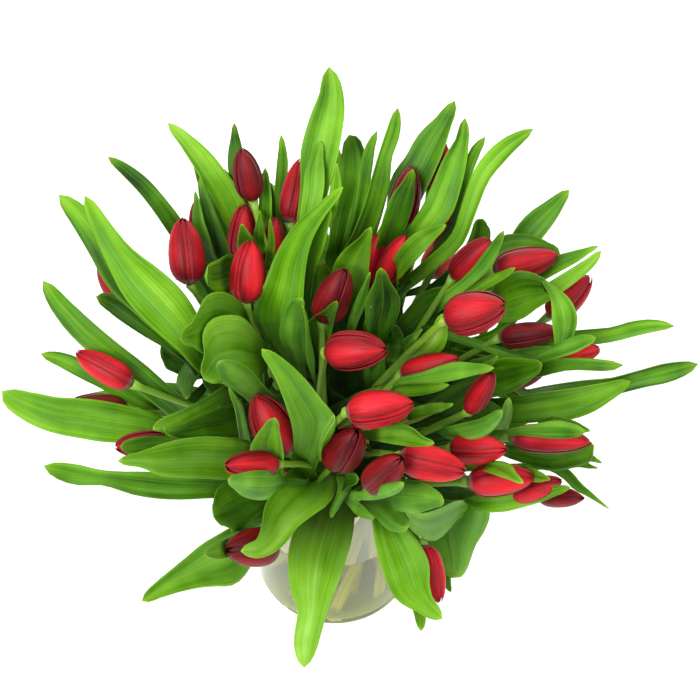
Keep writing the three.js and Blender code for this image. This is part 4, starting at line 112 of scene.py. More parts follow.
# One row for each stem, in the order of FLOWERS: centre line from the cut end up to the flower.
STEMS = [
    (30.3, 1.5, 15.5, -10.9, 33.7, 231.4, -18.1, 42, 258.8, -25.4, 50.5, 286.3, -32.7, 59, 314, -40.1, 67.6, 342, -47.6, 76.8, 370.2, -55.9, 91.7, 396.2, -62.9, 108.2, 421.6),
    (34.7, 3.3, 15.9, -6.5, 35.5, 232, -11, 45.5, 254.4, -15.5, 55.8, 276.7, -19.8, 66.4, 299, -24, 77.4, 321.1, -27.9, 88.8, 343.2, -31.8, 100.6, 365.2, -35.5, 112.6, 387.1),
    (5.7, -5.7, 20.2, 5.7, 11.4, 231.8, 14, 21.8, 255.8, 20.8, 33.5, 279.8, 27.5, 45.7, 303.8, 34.5, 58.2, 327.6, 41.6, 71.1, 351.4, 48.1, 84.8, 375.3, 53.8, 99.6, 398.7),
    (38.7, -41.6, 19.1, 38.7, 45.8, 232, 44.9, 60.2, 253.6, 50.7, 74.3, 275.5, 56.7, 88.4, 297.6, 62.7, 102.6, 319.9, 68.8, 116.9, 342.3, 75, 131.2, 364.9, 81.2, 145.5, 387.5),
    (48.2, 30.8, 17.9, -38.3, 46.1, 232, -43.9, 51.9, 251.4, -49.4, 57.8, 270.7, -54.9, 63.9, 290.2, -60.3, 70.1, 309.8, -65.5, 76.4, 329.4, -70.6, 83, 349.2, -75.6, 89.5, 368.9),
    (48.7, 26.6, 21.1, -36.9, 41.7, 232.9, -39.1, 47.6, 250.5, -41.2, 53.5, 268.2, -43.2, 59.6, 285.9, -45, 65.9, 303.8, -46.7, 72.3, 321.8, -48.3, 78.8, 339.8, -49.8, 85.4, 358),
    (7.1, 33.7, 18.5, -35.8, 4.8, 232, -46.8, 9.9, 254.7, -57.8, 15.2, 277.3, -68.8, 20.9, 299.9, -79.8, 27.3, 322.3, -90.8, 34.2, 344.7, -101.7, 41.5, 367, -112.7, 49.1, 389.2),
    (11.8, 31.9, 16.3, -31.5, 2.7, 232.6, -36.9, 4.6, 256.6, -42.1, 6.8, 280.7, -47.3, 9.3, 304.9, -52.3, 12.2, 329, -57.2, 15.5, 353.2, -62, 19.2, 377.5, -66.7, 23.1, 401.7),
    (33.4, -0.9, 19.6, -7.2, 30.8, 232.6, -2.6, 36.8, 248.8, 2, 42.9, 265, 7, 49.1, 281.2, 12.2, 55.4, 297.5, 17.5, 61.9, 313.9, 22.9, 68.5, 330.4, 28.3, 75.1, 346.9),
    (9.8, -8.3, 17.2, 9.8, 9, 232, 14, 16.8, 251.6, 18.2, 24.6, 271.3, 22.6, 32.6, 291, 27.2, 40.6, 310.9, 31.9, 48.7, 330.8, 36.8, 56.9, 350.8, 41.7, 65.2, 370.9),
    (34.6, -44.4, 18.5, 34.6, 43.6, 232.9, 41.5, 54, 249.1, 49.3, 62.4, 266.4, 57.2, 70.6, 283.8, 65.2, 79, 301.2, 73.3, 87.5, 318.8, 81.5, 96, 336.5, 89.8, 104.5, 354.2),
    (9.5, -31.9, 20.2, 27.1, 16.4, 232.6, 36.2, 21.6, 255.4, 45.5, 26.8, 278.3, 55, 32, 301.2, 64.8, 37.2, 324.2, 74.9, 42.5, 347.2, 85.3, 47.8, 370.3, 95.8, 53.1, 393.4),
    (10.9, -28.1, 16.7, 28.7, 20.7, 231.4, 41.8, 27.1, 254.2, 55.1, 33.5, 276.7, 69, 40, 298.9, 83.4, 46.5, 320.8, 98.4, 53.1, 342.3, 113.8, 59.8, 363.4, 129.5, 66.6, 384.4),
    (-5.7, 10.5, 19.7, -5.7, -6.6, 232.2, -6.4, -5.6, 256.3, -7.1, -4.5, 280.5, -7.5, -3.3, 304.8, -7.8, -1.6, 329.1, -7.8, 0.5, 353.4, -7.7, 2.7, 377.9, -7.4, 4.9, 402.4),
    (16.8, 54.1, 19.1, -58.9, 10.5, 232, -73.9, 16.7, 247.6, -89, 23, 263.1, -104.2, 29.6, 278.8, -119.6, 36.5, 294.5, -135, 43.6, 310.3, -150.5, 51, 326.1, -166.1, 58.5, 342),
    (0.5, -53.3, 15.5, 57.4, 14.5, 231.1, 72.9, 16.8, 248.2, 89.6, 22.1, 263.9, 106.7, 27.7, 279.5, 123.9, 33.4, 295.1, 141.4, 39.1, 310.7, 159.2, 44.8, 326.3, 177, 50.6, 342),
    (5.7, -10.7, 16.9, 5.7, 6.6, 232.2, 15.1, 0.5, 266.4, 24.9, -5.7, 300.5, 35.3, -12, 334.5, 46.4, -18.3, 368.2, 58.3, -24.7, 401.7, 70.8, -31.1, 435.1, 83.7, -37.6, 468.3),
    (14, -31.7, 17.1, 31.7, 17.2, 232, 42.7, 17.2, 253, 56.6, 16.7, 272.5, 71.1, 16.1, 291.8, 86, 15.3, 310.9, 101.4, 14.4, 330, 117.1, 13.4, 348.9, 132.9, 12.3, 367.7),
    (-9.8, 8.4, 15.8, -9.8, -9, 232, -10.4, -15, 263.3, -10.7, -21, 294.5, -10.5, -27.1, 325.5, -9.6, -33.3, 356.2, -8, -39.6, 386.7, -5.9, -46, 417, -3.5, -52.4, 447.2),
    (2, -57.9, 15.6, 59.1, 10.2, 232, 75.1, 9.7, 249.9, 91.3, 9.2, 267.7, 107.8, 8.6, 285.5, 124.7, 7.7, 303.1, 141.9, 6.5, 320.6, 159.3, 4.7, 338.4, 174.7, -2.2, 361),
    (7.6, 29, 17.3, -35.4, 0.1, 231.4, -51.2, -7.5, 253, -67.3, -14.7, 274.4, -83.6, -20.5, 296.2, -100.3, -25.7, 317.8, -117.5, -30.5, 339.2, -135.1, -35, 360.3, -153, -39.2, 381.4),
    (-5.7, 5.9, 17.1, -5.7, -11.4, 231.8, 1.2, -16.1, 255.8, 8.2, -20.8, 279.8, 15.6, -25.8, 303.6, 23.6, -31, 327.3, 32.2, -36.3, 350.8, 42, -40, 374.1, 53.6, -40, 397.3),
    (-2, -56.2, 18.7, 54.5, 11.1, 232.9, 63.9, 8.8, 248, 73.4, 6.5, 263.1, 83.2, 4.1, 278.1, 93.2, 1.6, 292.9, 103.6, -1, 307.7, 114.2, -3.6, 322.5, 124.7, -6.1, 337.3),
    (-23, -19, 18, 28.6, -20.8, 231.4, 39.1, -28.4, 254.8, 49.6, -36, 278.2, 60.2, -43.5, 301.7, 70.9, -51, 325.4, 81.7, -58.3, 349.2, 92.6, -65.7, 373.2, 103.4, -72.9, 397.2),
    (-26.6, 20.7, 18.1, -12.3, -29.2, 232.6, -10.5, -39, 262.7, -8.5, -48.8, 292.6, -6, -58.3, 322.3, -3.1, -67.4, 351.7, 0.5, -76.4, 380.7, 6, -86.9, 409, 11.8, -97.4, 437),
    (-29.8, 16.8, 19.7, -15.6, -32.5, 232, -17.5, -42.5, 252.6, -19.5, -52.4, 273.3, -21.7, -61.9, 293.9, -24.2, -71, 314.5, -26.9, -79.8, 335.2, -29.8, -88.2, 355.8, -32.9, -96.5, 376.4),
    (20.4, 50.4, 16, -56.4, 6.1, 232, -68.3, 4, 247.3, -83.2, -0.2, 259.4, -99, -4.7, 270.6, -115.1, -9.2, 281.6, -131.5, -13.6, 292.5, -148.1, -17.9, 303.4, -164.8, -22.2, 314.3),
    (-25.2, 15.9, 18.5, -11, -33.6, 231.4, -13.5, -44.6, 247.5, -16.1, -55.7, 263.5, -17.6, -67.3, 279.4, -15.7, -78.7, 295.3, -10.5, -85.8, 312.8, -4.3, -89.2, 331.6, 1.9, -92.3, 350.5),
    (-19.7, 51.1, 20, -49.5, -30.7, 232, -60, -35.5, 246.6, -70.7, -40.2, 261.2, -81.7, -45.1, 275.7, -92.9, -49.9, 290.2, -104.5, -54.8, 304.6, -116.3, -59.7, 318.9, -128.2, -64.6, 333.2),
    (-25.6, -23.1, 18.3, 26.1, -24.9, 232, 34.6, -33.6, 251.9, 43.3, -42.5, 271.7, 52.3, -51.4, 291.4, 61.6, -60.5, 311, 71.3, -69.8, 330.6, 81.3, -79.2, 350, 91.4, -88.7, 369.4),
    (-27.2, -18.9, 20.8, 24, -20.7, 232.6, 26.2, -33.7, 259.1, 28.7, -46.8, 285.4, 31.8, -60.3, 311.2, 35.5, -74.2, 336.4, 40, -88.5, 361, 45.1, -103.1, 385.2, 50.4, -117.9, 409),
    (-55.6, -12.7, 18.7, 20.3, -56.4, 232, 20.8, -70.1, 253.1, 21.8, -81.2, 276, 23, -92, 299.2, 24.3, -102.7, 322.4, 25.7, -113.5, 345.8, 27.3, -124.2, 369.2, 28.8, -134.9, 392.8),
    (-56.5, -7.4, 16.5, 20.4, -51.8, 232.9, 34.3, -58, 251, 44.9, -67.3, 270.4, 55.7, -76.9, 289.5, 66.9, -86.3, 308.2, 78.6, -95.7, 326.5, 90.7, -104.9, 344.5, 103, -114.2, 362.3),
    (-35.1, -45.5, 17.1, 51.8, -30.2, 232, 64, -41.1, 245.7, 76.4, -52.1, 259.3, 88.9, -63.1, 273, 101.6, -74.3, 286.7, 114.6, -85.4, 300.5, 127.7, -96.7, 314.2, 140.9, -107.9, 328),
    (-33.9, -41.1, 15.4, 53.3, -25.8, 231.1, 68.5, -35.8, 242.4, 83.9, -45.8, 253.8, 99.5, -55.9, 265.2, 115.2, -66.4, 276.6, 131.1, -77, 288, 147.1, -87.8, 299.4, 163.3, -98.7, 310.8),
    (-37.1, -41.7, 20.2, 48.9, -26.5, 232.9, 60.7, -32.7, 250.9, 72.7, -38.7, 268.7, 85, -44.8, 286.3, 97.7, -51, 303.5, 110.8, -57.2, 320.3, 124.2, -63.5, 336.8, 137.7, -69.7, 353.2),
    (-45.6, 27.4, 19.8, -15.8, -54.5, 232, -12.3, -61.9, 256.8, -10.1, -68.9, 281.8, -11.6, -76.4, 306.8, -14.9, -84.3, 331.8, -21.2, -94.6, 355, -30, -106.6, 376.8, -39, -118.8, 398.6),
    (-50.8, 27, 16.3, -20.5, -56.2, 232, -22.8, -68.6, 244.2, -25.2, -81.1, 256.4, -28, -93.6, 268.5, -31.1, -106.2, 280.5, -34.5, -118.8, 292.5, -38.3, -131.4, 304.5, -42.2, -144, 316.4),
    (-52.5, -9.7, 15.2, 24.2, -54, 231.1, 31.3, -63, 237.1, 38.3, -72.1, 242.9, 45.3, -81.5, 248.5, 52.3, -91, 253.9, 59.4, -100.9, 259, 66.4, -110.9, 263.8, 73.4, -121, 268.6),
    (44.6, 27.3, 18.8, -41.2, 42.4, 231.1, -51.4, 56, 243.5, -61.6, 64.3, 261.7, -71.4, 72.6, 280.6, -80.8, 81.2, 299.5, -89.9, 90.2, 318.5, -98.9, 99.5, 337.6, -107.7, 108.9, 356.6),
    (55.3, -9.9, 15.6, -1.8, 58.2, 232, -5.6, 75, 235.7, -9.6, 91.8, 239.5, -13.8, 108.9, 243.3, -18.1, 126.2, 247, -22.6, 143.9, 250.5, -27.2, 161.9, 253.9, -31.8, 180.1, 257.2),
    (34.6, -39.9, 17, 34.6, 48, 231.1, 41.4, 63.4, 234.6, 48.2, 78.9, 236.7, 55.2, 94.6, 238.2, 62.4, 110.5, 239.7, 69.7, 126.7, 241.2, 77.2, 143.1, 242.6, 84.8, 159.5, 243.9),
]

# One row for each leaf: bundle, stations in the neck, cup, tone (set to how light or dark each leaf looks, so the dark
# tones are partly painted shade), 1 where the blue-green back faces out, then stations from the stem to the tip
# (centre x y z, half width x y z).
LEAVES = [
    (15, 3, -0.20, 0.50, 1, 30.6, -9.6, 321.2, 0.2, 2.1, 0.7, 33.4, -14.4, 334.1, 0.3, 2.1, 1, 37.2, -25, 351.2, 0.3, 2, 1.1, 40.8, -33, 367.3, 0, 2.5, 0.3, 53.6, -46.8, 398.5, -0.1, 3, 0.5, 66.6, -58.6, 421.7, -0.1, 4, 0.9, 79.1, -68.8, 442.5, -0.4, 6, 1.6, 91.1, -77.9, 462, -0.5, 6.2, 1.8, 102.8, -88.2, 480.3, -0.2, 3.8, 1.2, 113.7, -98.6, 498.2, 0, 0.3, 0.1),
    (8, 4, 0.24, 0.15, 0, 55.5, -33.1, 236.2, -0.6, 2.1, 0.2, 55.1, -33.4, 238.2, -0.7, 2.4, 1.4, 57.2, -35.2, 240.8, 1.2, 1.7, 3.6, 72.2, -44.4, 237.8, 2.2, 2.2, 5.2, 86.9, -53.8, 236, -0.1, 4.6, 5.4, 92.3, -64.6, 255.6, 0, 5.3, 5.4, 97.9, -71.4, 267.4, 0, 5.7, 5.4, 103.4, -77.9, 279.1, 0, 5.3, 4.7, 108.4, -86, 293.8, 0, 4.2, 3.6, 112.7, -95.3, 311.1, 0, 2.5, 2, 116.6, -104.4, 328, 0, 0.2, 0.2),
    (1, 3, 0.24, 0.38, 0, 46.5, 77.2, 235.5, -0.4, 2, 0.8, 75.8, 73.7, 259.6, 0, 3.5, 2.3, 119.9, 28.1, 308.6, 0.4, 4.5, 3.6, 159.7, -11.4, 358.5, -1.3, 6.1, 1.4, 169.5, -18, 372.8, -1.1, 5.8, 1.3, 180.3, -19.5, 378.6, -0.7, 5.2, 0.9, 191.5, -21.2, 382.1, -0.5, 5.1, 0.7, 202.7, -23.2, 384.1, -0.3, 5.1, 0.7, 214.1, -24.5, 384.7, -0.1, 4.4, 0.6, 225.1, -24.2, 385.2, 0.1, 0.8, 0.1),
    (6, 4, 0.20, 0.50, 1, -21.9, -61.6, 238.1, 1.2, 0.8, 1.7, -28, -58.7, 241, 0.7, 1.5, 2.4, -38.3, -56.1, 239.2, -1.6, 1.9, 3.4, -47.3, -69.3, 237.5, -2.6, 1.2, 3.3, -51.1, -75, 236, -1.8, 3, 3.4, -55.2, -90.5, 259.8, -2, 3.4, 3.4, -59.4, -103.8, 280.3, -2.2, 3.8, 3.5, -63.5, -116, 299.2, -2, 3.6, 3.1, -67.5, -127.7, 317, -1.5, 2.8, 2.4, -71.2, -138.9, 334.3, -0.8, 1.6, 1.3, -74.6, -149.8, 351.4, -0.1, 0.2, 0.2),
    (6, 4, -0.24, 0.57, 0, -21.6, -61.7, 238, 1.2, 0.7, 1.7, -27.6, -59.2, 241, 0.8, 1.2, 2.5, -39.1, -55.6, 240.2, -1.6, 1.7, 3.5, -48.3, -68.2, 236.2, -3.1, 1.7, 4.8, -72.4, -104.4, 236, -7.5, 9.6, 15.4, -83.5, -121.7, 248, -9.2, 11, 17.2, -97.1, -134.3, 261.8, -8.4, 10.3, 12.7, -109.6, -147, 273.8, -6.5, 7.9, 8.2, -121.9, -159.4, 284.1, -4.9, 5.8, 5.1, -133.7, -171.7, 293.4, -3.3, 3.9, 3.1, -143.9, -184.6, 302.8, -0.2, 0.2, 0.2),
    (8, 4, 0.20, 0.50, 1, 60.4, -30.4, 236.4, 1.2, 0.4, -1.8, 62.5, -23.8, 239.2, 1.4, 0, -2.5, 67.8, -12.8, 240.7, 0.2, -1.8, -3.8, 82.2, -15.7, 236.1, -4.4, -3.6, -1.8, 106, -19.3, 158.4, -21, -8.3, 5.2, 104.9, -44, 181.6, -28.6, -9.3, 8.1, 100.7, -65.9, 195.7, -27, -8.4, 7.9, 97.5, -85.4, 206.8, -21.9, -7, 6.3, 98.3, -102.1, 213.5, -16.6, -4.5, 5.3, 98.8, -117.7, 219.5, -10.3, -1.8, 3.9, 96.8, -130.9, 229.3, -0.3, 0, 0.1),
    (8, 4, 0.20, 0.50, 1, 57.9, -35.3, 239.2, -1.8, 1.3, 0.3, 55.4, -39.1, 240.1, -2.2, 1.9, 0.3, 51.5, -42.9, 240.2, -3.5, -2.3, 0, 64.9, -53.5, 235.7, -4.4, -4, -0.6, 91.4, -75.6, 167.8, -6.2, -2.7, 1.5, 91.4, -94.6, 192.9, -5.2, -2.3, 1.2, 92.1, -107.5, 205.9, -4.3, -2.1, 1, 93.1, -118.4, 215, -3.5, -1.8, 0.7, 94.1, -128.4, 222.4, -2.6, -1.5, 0.3, 94.3, -138.4, 229.6, -2.3, -1.3, -0.2, 95.8, -147.1, 237.4, -0.3, -0.2, 0),
    (14, 3, 0.24, 0.15, 0, 29.5, 43.4, 318.5, -1.4, 1.6, -0.3, 47.3, 62.7, 337.5, -2.2, 2.6, -0.4, 76.2, 89.7, 359.9, -2.1, 2.8, -0.3, 95.2, 103.2, 387.2, -1.9, 3.3, 0.3, 99.5, 103.6, 407.7, -1.7, 3.1, 0.3, 102.8, 110.9, 419.8, -1.5, 2.9, 0.3, 106.3, 120.2, 429.2, -1.7, 2.9, 0.3, 109.6, 130.6, 437.1, -3, 3.4, 0, 114.6, 142.6, 442.4, -3.1, 3.3, -0.1, 122.2, 152.4, 447, -0.2, 0.2, 0),
    (11, 3, -0.24, 0.15, 0, -70.8, 21.5, 302.5, -0.2, 2.2, 0.2, -81.3, 20.3, 306.3, -0.5, 4.2, 0.4, -98.5, 17.6, 306.5, -0.9, 4.9, 0.5, -109.7, 14.6, 313.6, -1, 5.3, 0.8, -119.8, 11.5, 342.1, -0.9, 5.2, 0.7, -132.1, 15, 357.4, -0.4, 5.7, 0.8, -145.4, 19.7, 368.9, 0.7, 7.2, 1.1, -158.9, 25.9, 377.8, 1.5, 8.4, 1.2, -172.8, 33.5, 384.8, 1.5, 8.2, 1.1, -185.2, 32.8, 395.3, 0.1, 0.3, 0),
    (0, 3, 0.24, 0.38, 0, 89.3, 2.5, 287.6, -0.6, 2.1, -0.2, 113, 11, 302.3, -1.4, 3.9, -0.4, 149.5, 27.5, 315.8, -1.4, 5, -0.3, 177.6, 31, 334.3, 0.3, 5.8, 0.9, 191.7, 21.7, 353.7, 0.3, 6.1, 1, 207.2, 17.4, 362.1, 0.3, 6.9, 1.1, 223.1, 16.2, 367.2, 0.4, 6.5, 1, 239.2, 19.6, 369.8, 0.5, 6.5, 1, 255.9, 22.5, 370.1, 0.5, 5.2, 0.8, 271.6, 21.4, 371.3, 0, 0.3, 0),
    (12, 3, 0.20, 0.50, 1, -26.6, -79.8, 333.2, 0.7, 0.1, 2.1, -18.2, -98.7, 331.6, 0.9, 1, 3.1, -26, -101.7, 339.8, 1.4, 2, 2.4, -34.6, -105.9, 347.2, 1.6, 1.9, 2.8, -40.4, -123.5, 378.3, 1.6, 4.9, 5.1, -46, -138.1, 402.1, 1.2, 7.7, 7.1, -52.5, -150.1, 424.6, 1.4, 8, 7, -58.5, -160.7, 445.9, 1.5, 6.5, 5.6, -63.4, -170.4, 467.2, 1, 3.8, 3.1, -67.2, -180, 488.1, 0.1, 0.2, 0.2),
    (12, 3, 0.24, 0.57, 0, -6.1, -56.7, 317.2, -0.7, 1.3, -0.3, -22.6, -64.3, 325.5, -1.3, 0.8, 0.3, -15.1, -79.1, 341.5, -1.3, 0.3, 0.8, -9.4, -92, 355.1, -1.5, 0.7, 0.4, -8.7, -103.8, 389, -1.5, 0.6, 0.3, -7.3, -112.1, 416, -1.5, 0.5, 0.2, -4.9, -119.8, 440.8, -1.8, 0.5, 0.2, -1.8, -127.4, 464.2, -2, 0.5, 0.3, 1.6, -134.8, 486.7, -2, 0.5, 0.3, 3.6, -142.4, 508.5, -0.3, 0.1, 0),
    (12, 3, -0.24, 0.57, 0, -24.2, -71.3, 316.1, 1.9, 1.1, -0.2, -14.6, -88.5, 316.5, 3.9, 1.5, -0.1, -16.9, -89.8, 326.5, 5.7, 0.8, 1.8, -20.5, -90.4, 336.3, 7.8, 1, 2.9, -15.8, -94.3, 378.9, 12.3, 2, 2.9, -11.9, -93.5, 411.8, 16, 3.1, 2.8, -18.6, -92.6, 439.6, 12.6, 2.7, 2.4, -26.6, -91.2, 465.4, 9.1, 2.8, 2.2, -35.9, -90.5, 489.2, 5.2, 2.3, 1.5, -46, -91.5, 511.4, 0.3, 0.1, 0.1),
    (6, 3, 0.24, 0.57, 0, -32.3, -106.9, 282.5, -1.2, 1.5, 1, -22.1, -106.9, 295, -3.2, 2.7, -0.3, -31.9, -103.2, 313.1, -3.3, 3.1, -2.5, -43, -100.7, 331, -4.7, 3.2, 0.6, -45.3, -108.6, 362.9, -8.1, 2.9, -1.1, -46.8, -111, 384.9, -11.6, 2.8, -2, -46.2, -113.4, 407.9, -12.2, 2.9, -1.6, -43.8, -117.3, 432.4, -9.2, 2.3, -0.8, -40.8, -122.3, 457.1, -5.2, 1.5, -0.2, -37.3, -128.3, 480.8, -0.3, 0.1, 0),
    (7, 3, -0.20, 0.50, 1, 57.9, -78.9, 293.1, 0.5, 1.4, 1.6, 33.6, -86.1, 306.3, 0.6, 2, 2.3, 24.2, -94.4, 315.4, 0.5, 1.9, 2.4, 15.1, -104.3, 324.6, 0.8, 2.1, 2.5, 22.2, -122.3, 356, 0.3, 2.3, 2.3, 29, -135.4, 381.3, -0.2, 2.7, 2.6, 35.3, -146.3, 405.2, -0.8, 3.2, 3, 41.2, -156, 428, -1.3, 3.4, 3.1, 46.9, -165.4, 449.7, -1.4, 2.6, 2.3, 51, -174, 471.5, -0.1, 0.2, 0.2),
    (15, 3, 0.24, 0.57, 0, -8.5, -2.6, 311.3, -0.6, 0.2, -0.3, -15, -12, 316.1, -0.7, 0.1, -0.2, -14.6, -13.2, 327.9, -0.7, 0, 0, -13.6, -13.7, 337.5, -0.8, 0.1, -0.1, -14.7, -22.6, 371.9, -1.7, -0.1, -0.2, -15.7, -28, 399.7, -2.9, -0.2, -0.3, -16.4, -32.4, 425.4, -2.3, -0.2, -0.2, -16.8, -36.5, 449.9, -1.4, -0.2, -0.1, -17.4, -40.4, 473.5, -1, -0.1, -0.1, -19.3, -44.4, 496.2, -0.4, 0, 0),
    (13, 3, 0.24, 0.57, 0, 33.5, -64.1, 319.5, 0, 1.7, -1.4, 16.9, -54.2, 331.9, -0.6, 2.8, -1.5, 21.9, -57.9, 335.9, -0.4, 2.4, 2.2, 27.6, -62.1, 342.2, -0.8, 3, 1.8, 36.1, -78.9, 372, -0.3, 4.4, 2.4, 44.3, -92.2, 395.8, 0.1, 5.9, 3.1, 52.2, -104.9, 417.4, 0.6, 6.9, 3.5, 59.5, -118.6, 436.9, 0.7, 5.8, 3, 65.7, -132.4, 455.4, 0, 2.8, 1.6, 72.1, -144.3, 474.1, 0, 0.3, 0.1),
    (12, 3, -0.24, 0.80, 0, -8.9, -48.5, 289.1, -1.2, 1.7, -0.8, -17.7, -52.8, 293.5, -3.9, 1.6, 0.1, -14.4, -62.1, 301.5, -5.6, 0, 2.1, -11.9, -71, 309.2, -13.5, 4.4, 1.8, -16.4, -95.5, 323.8, -18.6, 7.4, 4.1, -27.8, -112.5, 331.5, -16.4, 7.9, 4.2, -37.2, -131.9, 342.3, -12.4, 7.3, 4.3, -42.8, -154, 354.6, -7.7, 6.8, 5.3, -51.4, -172.4, 368.5, -2.9, 4.7, 4.3, -63.9, -183.8, 387.3, -0.1, 0.2, 0.2),
    (15, 3, 0.20, 0.50, 1, -10.5, -31.2, 345.3, 0.3, -0.8, 2, -39.3, -29.3, 350.3, 1.5, -1.6, 3.6, -44.9, -34.9, 358.1, 4.9, -0.9, 3.3, -50.9, -42.4, 364, 9.5, -0.7, 4.9, -56.1, -58, 398, 9, 1, 4.4, -60.7, -68.4, 424.7, 8.9, 2.5, 4.3, -64.9, -77.3, 449.4, 8.8, 3.9, 4.4, -69.2, -85.9, 472.5, 7.5, 4.1, 3.9, -72.6, -94.5, 494.9, 4.6, 2.8, 2.4, -74.6, -104.4, 516.3, 0.2, 0.1, 0.1),
    (14, 3, -0.20, 0.50, 1, 22.7, -4.7, 289.7, -0.9, 0.7, -1.9, -1.4, 2.8, 304.2, -2.2, 1.5, -3.2, -13.4, 4.8, 319.6, -4.2, 2.4, -3.6, -25.6, 6.6, 335.3, -7, 3.1, -1.8, -26.6, -5, 371.2, -8.2, 3, -1.4, -28.8, -12.6, 399.2, -9.9, 2.9, -1.4, -28.8, -18.6, 425.2, -9.6, 3.2, -1.1, -26.8, -24.4, 450, -7.7, 3.2, -0.6, -24, -30.5, 473.8, -4.8, 2.6, -0.1, -19.8, -38.6, 496.6, -0.3, 0.1, 0),
    (8, 3, -0.20, 0.50, 1, 91.9, -48.5, 294, -1.2, 1.4, -1.2, 76.6, -46.4, 312.5, -3, 2.8, -1, 81.5, -49.8, 321.7, -3.3, 2.4, 2.6, 85.4, -53.7, 330.9, -3.3, 1.9, 3.9, 92.1, -75.3, 368.2, -3.6, 2.8, 4.8, 99, -89.5, 394.6, -3.9, 3.7, 5.1, 105.6, -101.4, 418.7, -4.2, 3.8, 5, 111.5, -110.8, 441.7, -3.9, 2.9, 4.1, 115.8, -118.7, 465.1, -2.8, 1.8, 2.6, 118.6, -126.4, 488.4, -0.2, 0.1, 0.2),
    (8, 3, 0.24, 0.57, 0, 98.1, -56, 264.2, 1.3, 1.6, -0.7, 99.6, -52.4, 274.8, 2.1, 2.6, -0.6, 103.2, -55.8, 283.5, 2.3, 2.5, 0.1, 105.6, -59.1, 292.7, 2.5, 2.8, -0.1, 110.2, -88, 343.2, 2.7, 2.9, -0.1, 116, -105, 371.5, 3, 3.8, 0, 122.3, -116.8, 390.3, 3.4, 5, 0.3, 127.4, -130.2, 409.3, 3.1, 4.8, 0.8, 131, -146.1, 428.6, 1.5, 2.4, 0.6, 134.6, -160.9, 447.2, 0.2, 0.3, 0.1),
    (11, 1, -0.24, 0.38, 0, 12.1, -94.1, 330.4, -2.2, 0.2, 0.4, 11.6, -92.1, 327.3, -8.2, 0.3, 0.2, 10.4, -95.7, 323.3, -5.9, 0.2, 0.1, 8.7, -99.3, 319.4, -4.4, 0.2, 0.1, 6.4, -103, 315.4, -3.4, 0.1, 0.1, 3.7, -106.6, 311.5, -3.1, 0.3, 0.2, 1.1, -110.2, 307.6, -2.5, 0.5, 0.3, -0.6, -113.9, 303.6, -0.8, 0.3, 0.2),
    (0, 3, 0.24, 0.57, 0, 100.6, 26.3, 274.2, 0.4, 2.2, -0.1, 94.6, 28.8, 298.7, 0.7, 4.1, -0.5, 95.8, 33.8, 333.8, 0.8, 4.4, -0.6, 95.2, 39, 370.2, 0.9, 4.9, 0.7, 100.4, 20.3, 408.3, 0.4, 4.6, 0.7, 106.6, 11.5, 431.1, 0, 4.3, 0.6, 113.2, 4.7, 449.7, -0.4, 3.9, 0.6, 120, -1.5, 466.6, -0.7, 3.6, 0.5, 126.8, -7.6, 482.5, -0.8, 2.7, 0.3, 132.8, -13.4, 498, -0.1, 0.3, 0),
    (5, 3, -0.24, 0.57, 0, -87.2, -48.2, 283.5, -0.3, 2, 0.9, -75.6, -53.9, 299.5, -0.4, 3.7, 2, -68.2, -63.9, 317, -0.3, 5, 3.3, -63, -76.3, 334.1, -0.8, 9.9, 7, -77.8, -93.6, 361.8, -1.1, 13.3, 8.9, -93.1, -104.6, 383.1, -1, 13.3, 8.5, -108, -115.6, 401.4, -0.8, 12.2, 7.7, -122.2, -126.6, 418.3, -0.4, 9.6, 6.2, -134.9, -136, 435.8, -0.4, 4.5, 2.6, -147.6, -146, 451.9, 0, 0.3, 0.2),
    (11, 3, 0.24, 0.15, 0, -38, -1.4, 235.1, -0.4, -0.5, 2.1, -36.7, -7, 234, -0.7, -1.7, 3.8, -34.8, -16.4, 228.7, -0.7, -2.6, 4.4, -34.3, -27, 222.8, -2.6, 4.3, 2.9, -23.6, -47.7, 254.2, -1.9, 5.2, 3.9, -13.4, -62, 277.8, -1.4, 7.2, 5.5, -3.5, -76, 300, -0.9, 8.4, 6.4, 6.1, -89.5, 320.8, -0.8, 8.3, 6.2, 14.1, -100.4, 342.2, 0, 4.8, 3.4, 21.1, -111.6, 362.4, 0, 0.2, 0.2),
    (6, 3, 0.24, 0.57, 0, -13.3, -60.9, 255.3, 0.6, 1.2, 1.8, -8.5, -66.1, 257.2, 0.2, 2.6, 2.5, 0.1, -71, 264.6, -0.2, 2.9, 2.2, 7.8, -75.6, 271.4, 0, 2.5, 3.1, 12.1, -95.8, 301.8, 0.5, 2.8, 3, 16.1, -112.3, 325.1, 1, 3.1, 3, 19.7, -127.9, 346.4, 1.5, 3.3, 3, 23.6, -142.2, 367, 1.3, 2.9, 2.5, 27.5, -155.5, 387.1, 0.7, 1.8, 1.5, 31.5, -167.8, 407, 0, 0.3, 0.2),
    (11, 3, -0.24, 0.57, 0, -48.4, 9.8, 312.7, -0.3, 1.1, 1.9, -53.5, -3.8, 320, 0.2, 3.7, 2, -53.8, -0.1, 331.8, 0.9, 5.6, -2, -53, 5.2, 345.1, 1.4, 9.6, 1.3, -58.2, -14.2, 384.2, 0.3, 19.6, 2.8, -65.9, -27.8, 410.5, -2.6, 26.9, 3.9, -75.8, -42.9, 431.8, -6.6, 26.9, 3.6, -81.7, -61.9, 450.8, -6.5, 19.2, 2.4, -84.4, -81.5, 469, -3.5, 9.6, 1.5, -87.1, -100.8, 486.8, -0.7, 1.1, 0.1),
